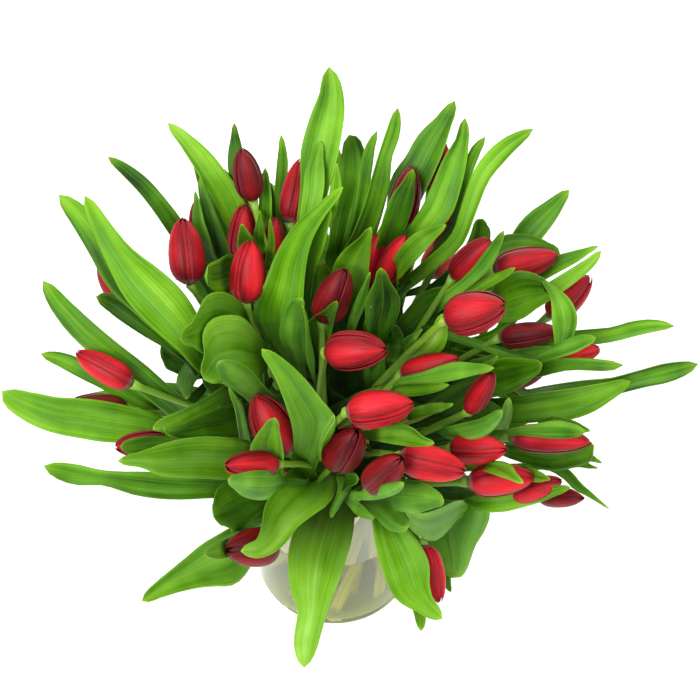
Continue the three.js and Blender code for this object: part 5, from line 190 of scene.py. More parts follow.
    (1, 3, -0.20, 0.50, 1, 67.8, 82.1, 307, -0.3, 1.9, 1.1, 71.7, 78.3, 314.1, -0.5, 3.4, 2.4, 77.6, 66.8, 331.2, -0.6, 4.8, 3.4, 83.8, 56.1, 347.5, -1.5, 6.3, 0.9, 92.9, 44.1, 380.4, -1.8, 5.5, 0.7, 102.7, 41.3, 399.4, -2.1, 4.7, 0.5, 112, 39.3, 417.5, -2.8, 4.3, 0.6, 119.6, 39.1, 435.1, -4, 3.7, 1.5, 125.1, 40.3, 452.6, -2.9, 2.2, 1.2, 129.9, 41.1, 470, -0.2, 0.2, 0.1),
    (0, 1, -0.24, 0.50, 1, 166.5, 26.9, 412.5, -1.3, 0, -0.4, 162.8, 27.7, 424.1, -1.5, 0, 0, 170.6, 19.5, 421.5, -4, -0.7, -0.5, 176.3, 10.9, 417.4, -7.7, -1.5, -1, 179.1, 2, 410.9, -9.8, -1.1, -0.7, 178.6, -6.1, 402.4, -8.1, -0.4, -0.3, 176.3, -12.4, 392.8, -3.9, -0.3, -0.2, 174.9, -18.5, 382.1, -0.3, 0, 0),
    (0, 3, 0.24, 0.38, 0, 121.3, 32.9, 293, -0.5, 2.1, -0.3, 121, 35, 306.9, -1, 3.8, -1.6, 124.2, 46.4, 323.8, -1.5, 5, -3, 129.3, 58.4, 341.3, -1.2, 11.7, 1.8, 133.9, 43.7, 370.6, -2.7, 15.5, 2.3, 140.4, 38.3, 385.3, -3.6, 18.7, 2.8, 148.2, 35.6, 394.4, -3.4, 19.1, 2.9, 155.9, 32.8, 401.4, -2.6, 15.9, 2.5, 162.8, 29.1, 408.2, -1.8, 10.6, 1.7, 168.6, 23, 417.4, -1.4, 4, 0.9),
    (8, 3, 0.24, 0.57, 0, 119.2, -68.4, 279.1, -0.2, 2.2, 0.2, 125.8, -68.2, 285.9, 0, 4.1, 0.9, 139.3, -72.5, 298.3, 0.3, 4.2, 1.2, 151.5, -76.9, 310.2, 0.8, 4.2, 2.2, 150, -100.9, 351.3, 0.9, 4.2, 2.2, 152.1, -108.4, 362.6, 1, 4.3, 2.3, 155.1, -111.2, 365.9, 0.9, 3.8, 2, 157.7, -115.5, 372.2, 0.7, 3, 1.7, 159.1, -123.3, 385.1, 0.3, 1.5, 0.8, 160.1, -132.3, 400.3, 0.1, 0.3, 0.1),
    (8, 3, -0.20, 0.50, 1, 104.7, -59.1, 269, -0.6, 1.9, -0.8, 109.5, -52.7, 280.1, -0.5, 2, -0.6, 116.3, -47.9, 296.6, -0.4, 2.1, -0.4, 125.1, -43.9, 311.6, 0, 2.3, 0.9, 134.3, -64.6, 350.5, 0.2, 2.2, 0.7, 144.5, -75.7, 372.6, 0.3, 3.2, 1.1, 154.7, -85.6, 390.9, 0.4, 4.8, 1.8, 164.8, -94.5, 407, 0.5, 6.3, 2.5, 174.5, -104, 421.8, 0.4, 5, 2, 182.6, -114.1, 437.2, 0, 0.3, 0.1),
    (5, 3, -0.24, 0.38, 0, -51.8, -31.7, 235.1, 2.1, 0.2, 0.7, -54.5, -33.8, 243.5, 3.7, 0.4, 1.4, -60.7, -37.9, 260.6, 3.6, 0.4, 1.5, -68.1, -42.4, 278.8, 3.8, 0.2, 2.2, -68.7, -54.8, 318.5, 3.6, 0.2, 2.1, -68.7, -61.5, 347.8, 3.4, 0.4, 1.8, -68.6, -66.5, 373.9, 3.2, 0.6, 1.6, -68.8, -70.7, 397.8, 3.1, 0.8, 1.4, -71.1, -75.1, 419.9, 2, 0.6, 0.8, -73.3, -80.1, 442, 0.3, 0.1, 0.1),
    (4, 3, -0.24, 0.38, 0, -70.7, 3.9, 249.3, -0.6, 1.8, 1.1, -66.3, -3.5, 263.5, -1.2, 3.6, 1.8, -65.5, -11.8, 283.1, -1.7, 5.1, 2.7, -64.7, -22.8, 301.1, -2.8, 13.1, 1.9, -74.9, -42.6, 332, -2.4, 12.9, 3.7, -85, -58, 354.7, -1.8, 11.1, 3.9, -94.7, -71.9, 375.2, -1.1, 8.6, 3.5, -103.9, -86.2, 393.9, -0.2, 6.4, 3.2, -112.5, -99.5, 412.3, 0.6, 3.9, 2.4, -120.3, -108.8, 432.4, 0, 0.3, 0.2),
    (0, 3, 0.24, 0.57, 0, 83.3, 9, 259.6, -2, 0.1, 0.9, 87.2, 8.9, 268.1, -1.6, -0.6, 3.8, 111.4, -6.5, 269.1, -0.8, -1, 4, 135.7, -21.9, 270.3, -3.5, 1.2, 3, 133.9, -46, 321.4, -3.4, 0.9, 2.6, 133.8, -57.8, 351.3, -3.4, 0.6, 2.4, 132.9, -67, 377.2, -3.7, 0.4, 2.3, 131.8, -74.8, 400.6, -3.4, 0.2, 2, 130.3, -81.9, 422.4, -2.5, 0.1, 1.4, 129.1, -88.8, 442.5, -0.3, 0, 0.1),
    (7, 3, -0.20, 0.50, 1, 21.7, -86.3, 286.6, -0.7, 1.8, 1, 25.5, -87.7, 291.8, -1, 3.3, 2.4, 34.4, -92.2, 300.1, -1.2, 4.6, 3.6, 43.4, -97.2, 309.6, -0.9, 5.4, 8.3, 50.2, -115.3, 342.9, -0.3, 7.7, 9.1, 57.1, -128.6, 366.9, 0.2, 8.9, 9, 63.9, -140.7, 388.3, 0.6, 8.7, 7.9, 70.2, -152.4, 409, 0.8, 6.9, 5.8, 75.7, -164.3, 429.3, 0.7, 4.3, 3.3, 79.1, -176.3, 449.6, 0, 0.2, 0.2),
    (8, 3, 0.24, 0.38, 0, 53.6, -31.1, 234.6, -0.3, 2.2, -0.1, 70.5, -28.7, 236.6, -0.5, 3.3, -0.1, 103.9, -22.8, 237.6, -0.6, 3.3, -0.1, 137.3, -17.2, 240.1, 1, 3.6, 0.5, 148.3, -37.9, 272.7, 0, 4.9, 3.5, 160.3, -50.8, 289.5, -0.8, 6, 5.7, 172.4, -61.5, 303, -1.8, 6.3, 7.5, 184.5, -67.9, 317.4, -2.8, 5.5, 8, 196, -71.9, 331.8, -3.6, 4.7, 7.5, 202.8, -76.1, 351, 0, 0.3, 0.2),
    (4, 3, -0.24, 0.57, 0, -80.5, 20.5, 255.7, -0.8, 1.5, 1.4, -78.8, 9.9, 268.2, -1.6, 3.6, 1.4, -78.2, 10.9, 283.5, -2.4, 5.5, 0.6, -79, 6.6, 298.5, -2.7, 7.2, 0.9, -87.1, -24.3, 339.2, -2.2, 5.9, 0.7, -95.4, -46.4, 363.9, -1.7, 4.9, 0.6, -103.7, -65.5, 384.8, -1.6, 4.7, 0.8, -111.9, -83, 403.7, -1.8, 5, 1.1, -120.2, -98.5, 421.8, -1.6, 4.5, 1.2, -126.4, -113.5, 440.4, -0.1, 0.3, 0.1),
    (12, 3, 0.20, 0.50, 1, -12.3, -35.7, 234.8, -0.7, -1.9, -0.7, -3.8, -38.9, 234.7, -1.8, -3.5, -1.4, 7.9, -46.6, 236.2, -2.9, -4.8, -2, 21, -55.5, 238.2, -5, -4.4, -4.1, 28.6, -76.1, 266.2, -5.4, -5.6, -4.6, 36, -92.3, 286.6, -5.7, -6.7, -5.2, 43.1, -107.6, 305.3, -5.7, -7.3, -5.6, 48.9, -123.8, 323.2, -5.5, -7.5, -5.7, 54, -138.8, 341.9, -2.8, -5, -4, 58.1, -151.2, 362.4, -0.1, -0.2, -0.2),
    (3, 3, -0.24, 0.57, 0, -56.3, 65.4, 293.4, 0.2, 1.3, 1.8, -66, 52.6, 304.1, 0.7, 3.2, 2.7, -65.5, 40.7, 325, 1.2, 5.2, 2.8, -65.8, 29.2, 346.6, 2.2, 9.8, 1.3, -71.1, 7.6, 393.3, 3.3, 14.7, 1.9, -78.8, -7.1, 421.3, 2.6, 21, 2.9, -86.3, -25.7, 443, 0.9, 22.9, 3.2, -92.7, -44.3, 461.9, 0.3, 17.2, 2.4, -98.5, -59.7, 480.5, 0.4, 8.1, 1.5, -104.3, -73.8, 498.4, 0, 0.3, 0.1),
    (15, 3, 0.24, 0.57, 0, -7.9, -2.4, 320.5, -1, 0.2, -1.9, -21.5, -7.1, 327.6, -2.9, 0.2, -3, -27.3, 1.8, 339.8, -5, 0.8, -3.2, -34.9, 10.8, 352.7, -11.8, 2.9, -4.5, -41.4, 13.8, 388.5, -19.2, 4.5, -7.5, -36.7, 21.7, 417.8, -15.3, 4, -5.2, -31.1, 32.2, 443.2, -11.9, 4.5, -3.6, -21.1, 40.3, 467.7, -7.9, 3.8, -2, -6.4, 44.2, 492.2, -4.2, 2.3, -0.9, 9.2, 47, 515.2, -0.3, 0.1, -0.1),
    (0, 3, 0.24, 0.57, 0, 109, 8.3, 286.7, -0.2, 1.5, 1.6, 117.4, 4.9, 291.2, 1.4, 1.8, 3, 153.9, -17.6, 281.6, 1.8, 1.5, 3, 189.1, -40, 272, -0.1, 3.2, 2.7, 191.3, -52.8, 295.5, 0.3, 3.6, 1.9, 194.9, -60.3, 309.3, 0.6, 3.8, 1.4, 198.6, -67.5, 319.9, 0.9, 3.7, 1, 202.2, -74.4, 329, 0.9, 3, 0.7, 205.5, -81.5, 337.5, 0.5, 1.6, 0.3, 208.6, -88.5, 345.6, 0.1, 0.3, 0.1),
    (0, 3, 0.24, 0.57, 0, 77.9, 6.1, 269.5, -0.1, 2.1, 0.5, 66, 3, 281.2, -0.8, 3.3, 1.7, 62.6, -10.4, 295.3, -1.1, 2.7, 2.4, 60.2, -23, 307.8, -1.2, 3.6, 1.9, 65, -41.7, 342.4, -1.2, 3.7, 2, 70, -55.5, 368.6, -1.2, 3.8, 2.1, 74.7, -68, 392.3, -1.1, 3.8, 2, 79.3, -80.1, 414.5, -0.9, 3, 1.7, 83.6, -91.7, 435.8, -0.6, 1.7, 1, 87.4, -102.5, 456.7, -0.1, 0.2, 0.1),
    (15, 3, 0.24, 0.57, 0, -9.6, -15.1, 262.3, -1.5, 0.9, -1.3, -12.1, -11.5, 267.6, -2.6, 2.2, -0.6, -8.4, -10.6, 275, -2.3, 2.5, 0.7, -4.7, -9.7, 284.6, -2.5, 2.8, 0.9, 10.3, -18.6, 318.6, -2, 2.3, 0.9, 25.6, -25.2, 344.6, -1.5, 1.9, 0.8, 41.7, -34.8, 366.4, -1.5, 2.8, 1.3, 57.7, -47.1, 385.4, -1.2, 4.4, 1.9, 73.2, -57, 404.2, -0.8, 3.6, 1.6, 87.5, -65.5, 422.7, -0.1, 0.3, 0.1),
    (9, 3, 0.24, 0.57, 0, 85.6, 15.7, 310.3, -1.9, 0.8, -0.8, 79.1, 16.1, 326.2, -2, 0.5, 1.6, 99.6, 6.9, 331.1, -0.8, -0.1, 2.5, 117.6, -2.6, 337.8, -2.1, 0.7, 1.9, 115.9, -30.4, 386.2, -1.9, 0.7, 1.7, 116, -45.3, 413.8, -1.7, 0.7, 1.5, 116.3, -56.9, 436.3, -1.6, 0.8, 1.3, 116.6, -67, 456.7, -1.4, 0.8, 1.1, 117.1, -76.7, 475.6, -0.8, 0.4, 0.6, 117.4, -85.8, 493.7, -0.2, 0.1, 0.2),
    (14, 3, 0.24, 0.15, 0, 29.3, 48.2, 307.7, -2, 0.9, 0.5, 24.8, 28.4, 325.6, -3.8, 1.3, 1.3, 30.9, 22.3, 339.1, -4.7, 1.2, 2.5, 36, 15.2, 353.2, -5.6, 1.9, 1.4, 35.9, -1.2, 397.2, -8.1, 0.8, 2.1, 37.5, -9.7, 427.5, -11.4, 0.2, 2.7, 38.8, -16, 454.5, -12.8, -0.3, 2.8, 38.2, -21.9, 479.9, -9.9, -0.4, 1.9, 37.2, -28.3, 504.1, -5, -0.2, 0.8, 35.9, -34.7, 527.6, -0.3, 0, 0),
    (14, 3, -0.20, 0.50, 1, 24.7, 35.7, 300, -1.4, 0.9, -1.4, 18.3, 35.3, 306.3, -3.3, 1.7, -1.9, 15.9, 36.2, 316.1, -3.9, 1.9, -1.4, 13.1, 37.4, 323.9, -4.5, 2.2, -0.3, 14.8, 21.7, 365.3, -3.6, 1.6, 0.1, 17.6, 12.9, 395, -3.8, 1.5, 0.3, 21.1, 5.3, 421.7, -4, 1.5, 0.4, 24.1, -1.4, 446.7, -3.3, 1.1, 0.4, 26.5, -7.7, 470.6, -1.8, 0.6, 0.2, 28.7, -13.9, 493.7, -0.3, 0.1, 0),
    (1, 3, 0.24, 0.57, 0, 40.9, 52, 246.7, -1.8, 0.3, -1.2, 35.1, 54, 255.9, -2.9, 0.5, -1.3, 32.4, 59.7, 267.9, -2.9, 0.6, -1.2, 28, 65.9, 278.8, -3.4, 0.5, 0.8, 27.8, 42.8, 323.3, -3.1, 0.6, 0.5, 27.9, 28.9, 353.4, -3, 0.5, 0.5, 28.3, 17.2, 379.6, -3, 0.5, 0.5, 29.1, 6.7, 403.6, -2.8, 0.4, 0.4, 29.4, -3.3, 426.4, -1.7, 0.3, 0.2, 30, -13.3, 448.5, -0.3, 0.1, 0),
    (8, 3, 0.24, 0.57, 0, 80.3, -54.4, 262.6, -0.4, 2.2, 0, 99.7, -50.7, 268.9, -0.2, 3.3, 0.1, 147.2, -51.2, 271.3, 0, 3.3, 0.1, 194, -49.4, 273.6, 1, 3.5, 0.5, 194.6, -61.7, 295.8, 0.9, 3.1, 0.4, 196.6, -68.8, 308.5, 0.9, 2.7, 0.4, 198.9, -74.9, 318.6, 0.7, 2.4, 0.5, 201.1, -81.1, 327.3, 0.5, 1.9, 0.6, 203.2, -86.9, 336, 0.3, 1, 0.4, 205.3, -92.3, 344.5, 0.1, 0.3, 0.1),
    (10, 3, 0.24, 0.38, 0, -12.9, 34.4, 236.4, -2.1, 0.5, 0.1, -12.7, 33.1, 247.4, -4.1, 1, 0.2, -12.4, 30.5, 270.1, -4.6, 1.2, 0, -14.1, 28.2, 293.7, -5, 1.5, -0.7, -14.2, 17.9, 329.7, -7.1, 2.2, -0.6, -13.6, 11.8, 358.3, -9.3, 3.2, -0.5, -11.2, 6.4, 384.9, -10.5, 4.3, -0.2, -6.2, -0.2, 410.2, -7.5, 3.3, 0.2, -0.2, -7.5, 434.3, -3.9, 1.4, 0.2, 4.7, -14, 457.2, -0.3, 0.1, 0),
    (1, 3, 0.24, 0.57, 0, 60.1, 96.2, 309, -0.3, 2.1, 0.4, 54.3, 92.8, 323.8, -0.8, 3.9, 1.3, 52.2, 80, 352.4, -1.2, 5.3, 2.5, 49.6, 63.4, 385.6, -1.5, 7.6, 1.1, 54, 47.1, 421.2, -2.8, 8.3, 1, 59.2, 40.2, 442.9, -3.7, 8.7, 0.9, 65, 35, 460.8, -3.6, 8.1, 0.8, 71.4, 29.4, 477.2, -2.7, 6.1, 0.6, 77.8, 23.6, 492.7, -1.5, 3.3, 0.3, 83.8, 18.1, 507.5, -0.1, 0.3, 0),
    (8, 3, 0.24, 0.57, 0, 89.2, -50.4, 259, 0.3, 1.2, 1.8, 97.2, -59.4, 263.8, 0.5, 2.3, 3.5, 106, -75.2, 272.5, 0.5, 3.7, 4.7, 111.4, -87.8, 284.2, 0.6, 3.7, 5.8, 121.1, -109.1, 322.7, 0.2, 5, 7.8, 133.2, -113.6, 332.5, -0.3, 5.7, 7.9, 145.7, -113.7, 336.9, -0.5, 5.1, 6.5, 157.6, -115.6, 345, -0.7, 4.1, 5, 168.4, -119.2, 357.6, -0.5, 2.5, 2.9, 178.3, -124.3, 373.2, 0, 0.2, 0.2),
    (9, 3, 0.24, 0.80, 0, 67, 16.5, 286.9, -1.5, 0.8, -1.4, 51, 15.7, 304.4, -3.7, 1.2, -1.6, 49.6, 3.7, 316, -5.2, 0.5, -0.5, 46.2, -8, 329, -5.3, -0.9, 2.3, 52.7, -17.4, 363.3, -6.4, -0.6, 2.7, 61.5, -23.3, 387, -7.4, 0.1, 3, 70.9, -28.7, 407.8, -8.1, 0.7, 3.4, 78, -32.3, 428.8, -7.6, 0.4, 3, 80.6, -34.3, 451.4, -5.1, -0.1, 1.8, 80.8, -37.6, 474.9, -0.3, 0, 0.1),
    (4, 3, -0.24, 0.57, 0, -106.7, -6.9, 276.3, -0.5, 1.1, 1.8, -104.9, -15.9, 282.4, -1, 1.5, 3.8, -112.6, -26.9, 282.9, -1.4, 1, 4.1, -120.1, -37.5, 282.5, 0, 4, 2.8, -123.9, -61.5, 327.4, 0, 4.2, 2.6, -129.6, -75, 352.6, 0.1, 4.4, 2.7, -135.4, -87, 373.4, 0.1, 4.7, 2.8, -141.1, -98.9, 391.8, 0, 5.1, 3, -146.7, -110.1, 409, 0.1, 4.5, 2.8, -150.3, -120.4, 427.3, 0, 0.3, 0.2),
    (6, 3, -0.24, 0.38, 0, -21.9, -62.2, 237.9, -0.5, 2.2, -0.1, -23.9, -62.3, 244.2, -0.7, 4.1, -0.4, -35.1, -63.3, 250.1, -0.8, 5.9, -0.8, -46.7, -63.7, 255.4, -4.9, 5.5, 3.7, -55.3, -83.8, 287.8, -5.9, 8.3, 5.6, -63.6, -99.8, 311.3, -7.1, 11.1, 7.4, -71.7, -114.6, 331.6, -8.3, 13.4, 8.6, -78.6, -130, 349.4, -7.5, 12.5, 8.1, -82.5, -144.6, 368.7, -4, 7, 4.7, -84.3, -157.8, 389.8, -0.1, 0.2, 0.1),
    (12, 3, -0.24, 0.80, 0, -11.5, -36, 233.9, -1.7, -1.4, 0, -8.2, -40.1, 235.1, -3.9, -1.6, -0.1, -5.4, -51.1, 235, -5.7, -2, -0.2, -0.7, -61.9, 236.1, -16.7, -0.3, -1.2, -5.6, -91.3, 243.6, -23.3, 1.1, -0.6, -12.1, -116.7, 242.7, -23.9, 2, -1.3, -15.4, -140.5, 238.8, -19.6, 1.7, -1.7, -16.1, -163, 234.6, -11.5, 1, -0.2, -20.6, -184.3, 226, -10, 1, -0.5, -22.3, -204.6, 220, -3.2, 0.2, -1.6),
    (7, 3, -0.24, 0.57, 0, 35.1, -68, 240.4, -2.1, 0.6, -0.1, 35.5, -65.6, 251.1, -4, 1.1, 0.5, 36.2, -70.8, 256.8, -5.6, 1.1, 1.8, 37.2, -77.1, 263.1, -8.2, -0.4, 4.3, 44.2, -101.9, 273.3, -11.7, -3.9, 3.9, 51.3, -122.5, 276.6, -15.7, -6.8, 1.8, 57.7, -142.1, 276.9, -16.8, -7.8, -1.3, 62.9, -161.1, 276.1, -13.6, -6.7, -4.9, 72.8, -176.7, 278.4, -6.2, -3.4, -3.5, 85.2, -190.1, 281.9, -0.2, -0.1, -0.1),
    (8, 4, 0.24, 0.57, 0, 60.8, -31.1, 236.6, 1.8, 0, -1.2, 62.5, -25.8, 239.2, 2.2, -0.5, -1.8, 66.8, -16.9, 239.7, 0.4, -3.2, -2.6, 81.4, -20, 235.1, -3, -5, -1.6, 122.2, -29.6, 175, -6.5, -8.6, -0.5, 108.5, -64.6, 224.9, -4.4, -8.8, -6.2, 97.3, -82.9, 244.5, -3.4, -9.9, -8.9, 85.5, -99.3, 263.7, -3.7, -10.5, -9.4, 73.2, -111.5, 287.7, -4.5, -7.6, -5.8, 62.6, -119.5, 312.2, -3.3, -3.9, -2.5, 54.8, -124, 335.8, -0.2, -0.2, -0.1),
    (10, 3, 0.24, 0.57, 0, -13.9, 53.4, 269.4, -2, 0.8, -0.3, -18.7, 46.1, 284.6, -3.5, 1.4, -0.6, -20.1, 51.8, 303.9, -3.5, 1.4, -0.6, -20.9, 57.5, 324.9, -3.8, 1.7, -1, -20.5, 45.4, 370.9, -2.9, 1.6, -0.6, -18.2, 44, 400, -2.9, 1.7, -0.6, -15.1, 43.9, 425.8, -3.8, 2.2, -0.7, -10.6, 44, 450, -5.2, 3.1, -1, -5.4, 44, 473, -3.6, 2.2, -0.6, 0.3, 43.1, 495.4, -0.3, 0.2, 0),
    (2, 3, 0.24, 0.57, 0, -8.9, 84.9, 238.6, -2, 0.9, 0.3, -7.3, 80.6, 266.1, -3.7, 1.7, 0.9, 1.5, 76.4, 299.2, -5.3, 2.4, 1.7, 9.7, 71.2, 332.7, -9.6, 5.4, -2, 10.7, 52.8, 378.4, -12.1, 5.8, -1.6, 13.7, 46.1, 406.2, -13, 6, -0.9, 17.6, 41, 430.3, -11.3, 5.4, -0.4, 21.9, 35.9, 452.6, -7.9, 3.6, 0.1, 26.1, 30.9, 473.8, -3.9, 1.5, 0.2, 29.7, 26.6, 493.9, -0.3, 0.1, 0),
    (10, 3, 0.24, 0.57, 0, 23.3, 69.2, 331.7, -0.1, 2.1, 0.7, 31.6, 69.2, 333.1, -1.3, 3.8, 1.1, 45.4, 75.1, 337.5, -2.2, 4.4, 1.1, 58.6, 80.4, 342.8, -2.8, 4.8, 0.4, 79.7, 74.3, 382.6, -2.9, 5.2, 0.5, 99.6, 82.3, 404.3, -3.4, 6.2, 0.6, 109, 100.1, 424, -3.9, 6.8, 0.6, 118.9, 119.7, 440.3, -3.4, 7.3, 0.9, 136.7, 136.6, 452, -3.7, 6.8, 0.7, 158.5, 145.5, 464.8, -0.1, 0.3, 0),
    (9, 3, -0.20, 0.50, 1, 72, 41.6, 341.7, 0.9, 1.7, 1.1, 82.7, 32, 347.7, 1.3, 2.9, 1.6, 118.6, 14.5, 354.1, 1.2, 3, 1.6, 155.9, -4.6, 361.1, -0.6, 3.9, 0.5, 162.5, -14.3, 381.1, -0.7, 4.4, 0.6, 170, -17.8, 391.9, -1, 5, 1, 177.6, -19.6, 400.8, -1.3, 5.6, 1.4, 185.3, -20.7, 408.5, -1.3, 5.8, 1.6, 192.9, -21.8, 415.8, -0.9, 4.4, 1.1, 199.3, -24.9, 424.2, -0.1, 0.3, 0.1),
    (0, 3, 0.24, 0.57, 0, 121.2, 33.1, 293.7, 1.7, 1.2, 0.8, 128.6, 20.9, 296, 2.5, 2.5, 1.4, 151.8, 2.1, 293.9, 2.4, 2.6, 1.4, 173.5, -17.8, 290.2, 1.4, 4, 0.5, 176.5, -33.4, 315.4, 1.5, 4.2, 0.5, 180.9, -42.1, 328.8, 1.5, 4.4, 0.6, 185.6, -49.6, 339.1, 1.4, 3.9, 0.5, 190.1, -56.9, 348, 1.2, 3.4, 0.4, 194.2, -64.8, 356.8, 0.7, 2.4, 0.3, 198.2, -71.9, 366.1, 0.1, 0.3, 0),
    (0, 3, 0.24, 0.57, 0, 89.4, 8.5, 266.3, 0.1, 2.2, 0.4, 100.4, 7.4, 268.9, 1.7, 3.8, 0.8, 140.1, -11.8, 256.4, 2.1, 3.7, 0.7, 179.5, -32.7, 245.3, 1.5, 4.5, 0.6, 186.6, -47.1, 261.3, 1.7, 4.3, 0.5, 193.7, -58.5, 269, 1.8, 4, 0.5, 199, -71.3, 276.1, 1.7, 3.6, 0.4, 206.5, -80.2, 280.4, 1.2, 2.4, 0.3, 213.8, -89, 283.8, 0.8, 1.3, 0.1, 221, -97.5, 286.5, 0.1, 0.3, 0),
    (0, 3, 0.24, 0.15, 0, 69.9, 15.9, 244, 1, -0.3, 1.9, 71.2, 16.2, 243.3, 3, -0.2, 2.9, 73.6, 17.5, 240.1, 4.2, -0.3, 4.3, 75.4, 17.7, 239.3, -7.9, 1, 5, 84.1, 3, 272.3, -8.1, 2.1, 6.1, 93.1, -3.3, 291.7, -8.2, 3, 6.4, 101.5, -6.9, 308.3, -8.3, 4, 6.3, 109.4, -9, 323.4, -7.7, 4, 5.5, 115.3, -15.4, 346.5, -5.2, 2.5, 3.5, 118.9, -22.9, 370.2, -0.2, 0.1, 0.2),
    (0, 3, 0.24, 0.38, 0, 69.1, 7.8, 256.6, -1.4, 1.6, -0.6, 72, 14.1, 267.9, -1.8, 3.8, 0.2, 91.4, 17.8, 276, -1.3, 5.7, 1.1, 111.4, 19.8, 286.5, -1.4, 10.8, 1.6, 118.7, -4.2, 328.6, -2.1, 13.3, 3, 127.3, -16.5, 353, -2.8, 13.6, 4.6, 135.9, -26.1, 373.6, -3.2, 12.6, 5.1, 143.9, -34.8, 392.3, -2.8, 9.5, 4.4, 151.2, -42.9, 410.4, -2, 5.5, 2.9, 156.6, -51.1, 428.9, -0.1, 0.3, 0.1),
    (9, 3, 0.24, 0.15, 0, 57, 32.7, 303.3, -1.7, 0.5, -1.3, 46.3, 25.8, 314.9, -3.9, 0.3, -1.5, 44.6, 11.2, 330.9, -4.8, -0.5, -0.7, 44.7, -3.2, 346.3, -4.8, -1.9, 1.5, 46.4, -10.1, 368.2, -5.5, -1.9, 1.7, 48.7, -0.8, 364.6, -6.2, -1.9, 1.8, 50.7, 9, 360.6, -6.5, -1.9, 1.5, 51.3, 10, 370.2, -5.6, -1.7, 1, 50.1, 3, 391.1, -3.3, -1.2, 0.4, 47.9, -6.6, 414.5, -0.3, -0.1, 0),
    (9, 3, -0.20, 0.50, 1, 50.8, 32.3, 268.8, -1.1, 1.6, -1.1, 40.3, 33.8, 281.9, -2.5, 3.2, -1.1, 48.9, 38.7, 290.8, -2.2, 3.8, 0, 56.2, 43, 298.5, -1.6, 4.6, 0.6, 57, 11.6, 353.5, -1.8, 4.3, 0.5, 58.5, -4.7, 385, -2.1, 3.9, 0.8, 60.4, -18.8, 411.8, -1.9, 3.1, 0.9, 62.5, -31.6, 436.2, -1.5, 2.1, 0.7, 64.2, -43.6, 459.3, -0.8, 1.1, 0.4, 65.7, -55, 481.4, -0.2, 0.2, 0.1),
    (1, 3, 0.24, 0.38, 0, 50.7, 83.2, 236.5, 0, 2.1, 0.5, 58, 79.5, 252.4, 0.3, 4, 1.4, 81.2, 70.9, 266.1, 0.6, 3.8, 1.6, 103.9, 60.6, 280.6, 0.1, 4.6, 0.8, 110.5, 40.7, 316.3, -0.3, 4, 0.7, 118.5, 33.3, 331.8, -0.7, 4.1, 0.7, 126.5, 28.8, 343.5, -1.3, 4.1, 1.1, 133.9, 26.2, 354.6, -2, 4.1, 1.6, 139.8, 24.3, 368.1, -1.8, 3.1, 1.5, 145, 19.6, 383.9, -0.1, 0.2, 0.1),
    (6, 4, -0.24, 0.57, 0, -22.4, -61.6, 237.7, 1, 0.8, 1.8, -28.3, -59.1, 239.9, 0.8, 1.3, 2.5, -39.4, -55.6, 240, -1.5, 1.7, 3.5, -48.1, -68.6, 236.4, -3, 1.5, 4.7, -65.7, -95.5, 236, -2.3, 3.1, 5.1, -69.1, -120.9, 278.7, -2.1, 3.5, 5.4, -73.4, -137.3, 304.1, -2, 4, 5.4, -78, -151.3, 326.2, -1.6, 4.2, 5.2, -82.5, -164.1, 346.7, -1.2, 4.1, 4.8, -87, -175.2, 367.1, -0.5, 2.7, 3.1, -90.4, -185.5, 387.5, 0, 0.2, 0.2),
    (3, 3, -0.24, 0.38, 0, -46.7, 73.4, 324.9, 0.1, 2.2, -0.4, -56.1, 74.8, 330.3, 0.8, 4, -1.2, -64.2, 81.4, 340.3, 1.8, 5.2, -2.4, -71.7, 88.8, 349.6, -0.3, 10, 1.6, -75.5, 64.7, 384.3, -0.3, 12.5, 2, -80.1, 50.4, 403.8, -0.3, 14.1, 2.3, -84.4, 34.7, 420.7, 0, 12.9, 2.1, -89.3, 23.4, 435, 0, 11.3, 1.8, -92.4, 14.1, 448.8, -0.5, 7.9, 1.3, -91.7, 3.5, 463.2, 0, 0.8, 0.1),
    (11, 3, -0.24, 0.57, 0, -76.5, 25.8, 315.7, -1.1, 1, 1.6, -82.9, 2.8, 325.2, -1.6, 3, 2.4, -91.3, 5.3, 331.8, 1.4, 5.8, 0.2, -99.3, 6.2, 337.6, 2, 11.5, 1.5, -111.3, 5.4, 381.5, 7.5, 12, 4.1, -127.6, 15.3, 404.5, 11.8, 11.5, 7.7, -146.1, 27.7, 421, 12.2, 8.7, 8.9, -162.6, 42.3, 436.2, 8.7, 4.5, 6.8, -177, 60.8, 449.9, 6.6, 1.8, 5.5, -188.5, 78.3, 465, 0.2, 0.1, 0.2),
    (4, 3, -0.24, 0.38, 0, -113, -8.6, 280.5, 1.8, 1.3, 0.2, -109.4, -15.7, 293.1, 3.5, 2.1, 1, -111.9, -22.7, 306.1, 4.9, 2.4, 2.4, -114.3, -30.1, 318.1, 6.8, 3.2, 7.2, -132.6, -33.4, 354.2, 7.2, 3.1, 7.1, -151.3, -26.1, 374.5, 8, 3.2, 7.7, -171.2, -15.6, 388, 8.2, 2.9, 7.4, -190.7, -2.4, 398.8, 8.3, 2.7, 7.2, -208.3, 13.5, 409.4, 6.8, 1.8, 5.4, -221.8, 27.6, 424.3, 0.2, 0.1, 0.2),
    (4, 3, -0.24, 0.57, 0, -81.2, 19.1, 255.5, -1, 1.5, 1.3, -89.7, 4.5, 265.6, -1.6, 3.2, 2.2, -109.3, -10.1, 276.9, -1.9, 4.9, 2.9, -129.6, -23.7, 286.5, -0.3, 7.5, 1.8, -150.5, -37, 313.4, 1.5, 10.1, 6.9, -173.2, -40.6, 324.6, 3.2, 11.6, 10.9, -196.6, -40.9, 331.1, 4.8, 9.9, 13.8, -220.4, -38.8, 334.1, 5.7, 7.9, 12.8, -243, -31.6, 338.5, 5.3, 5.9, 9.7, -259.2, -28.8, 354.4, 0.1, 0.1, 0.2),
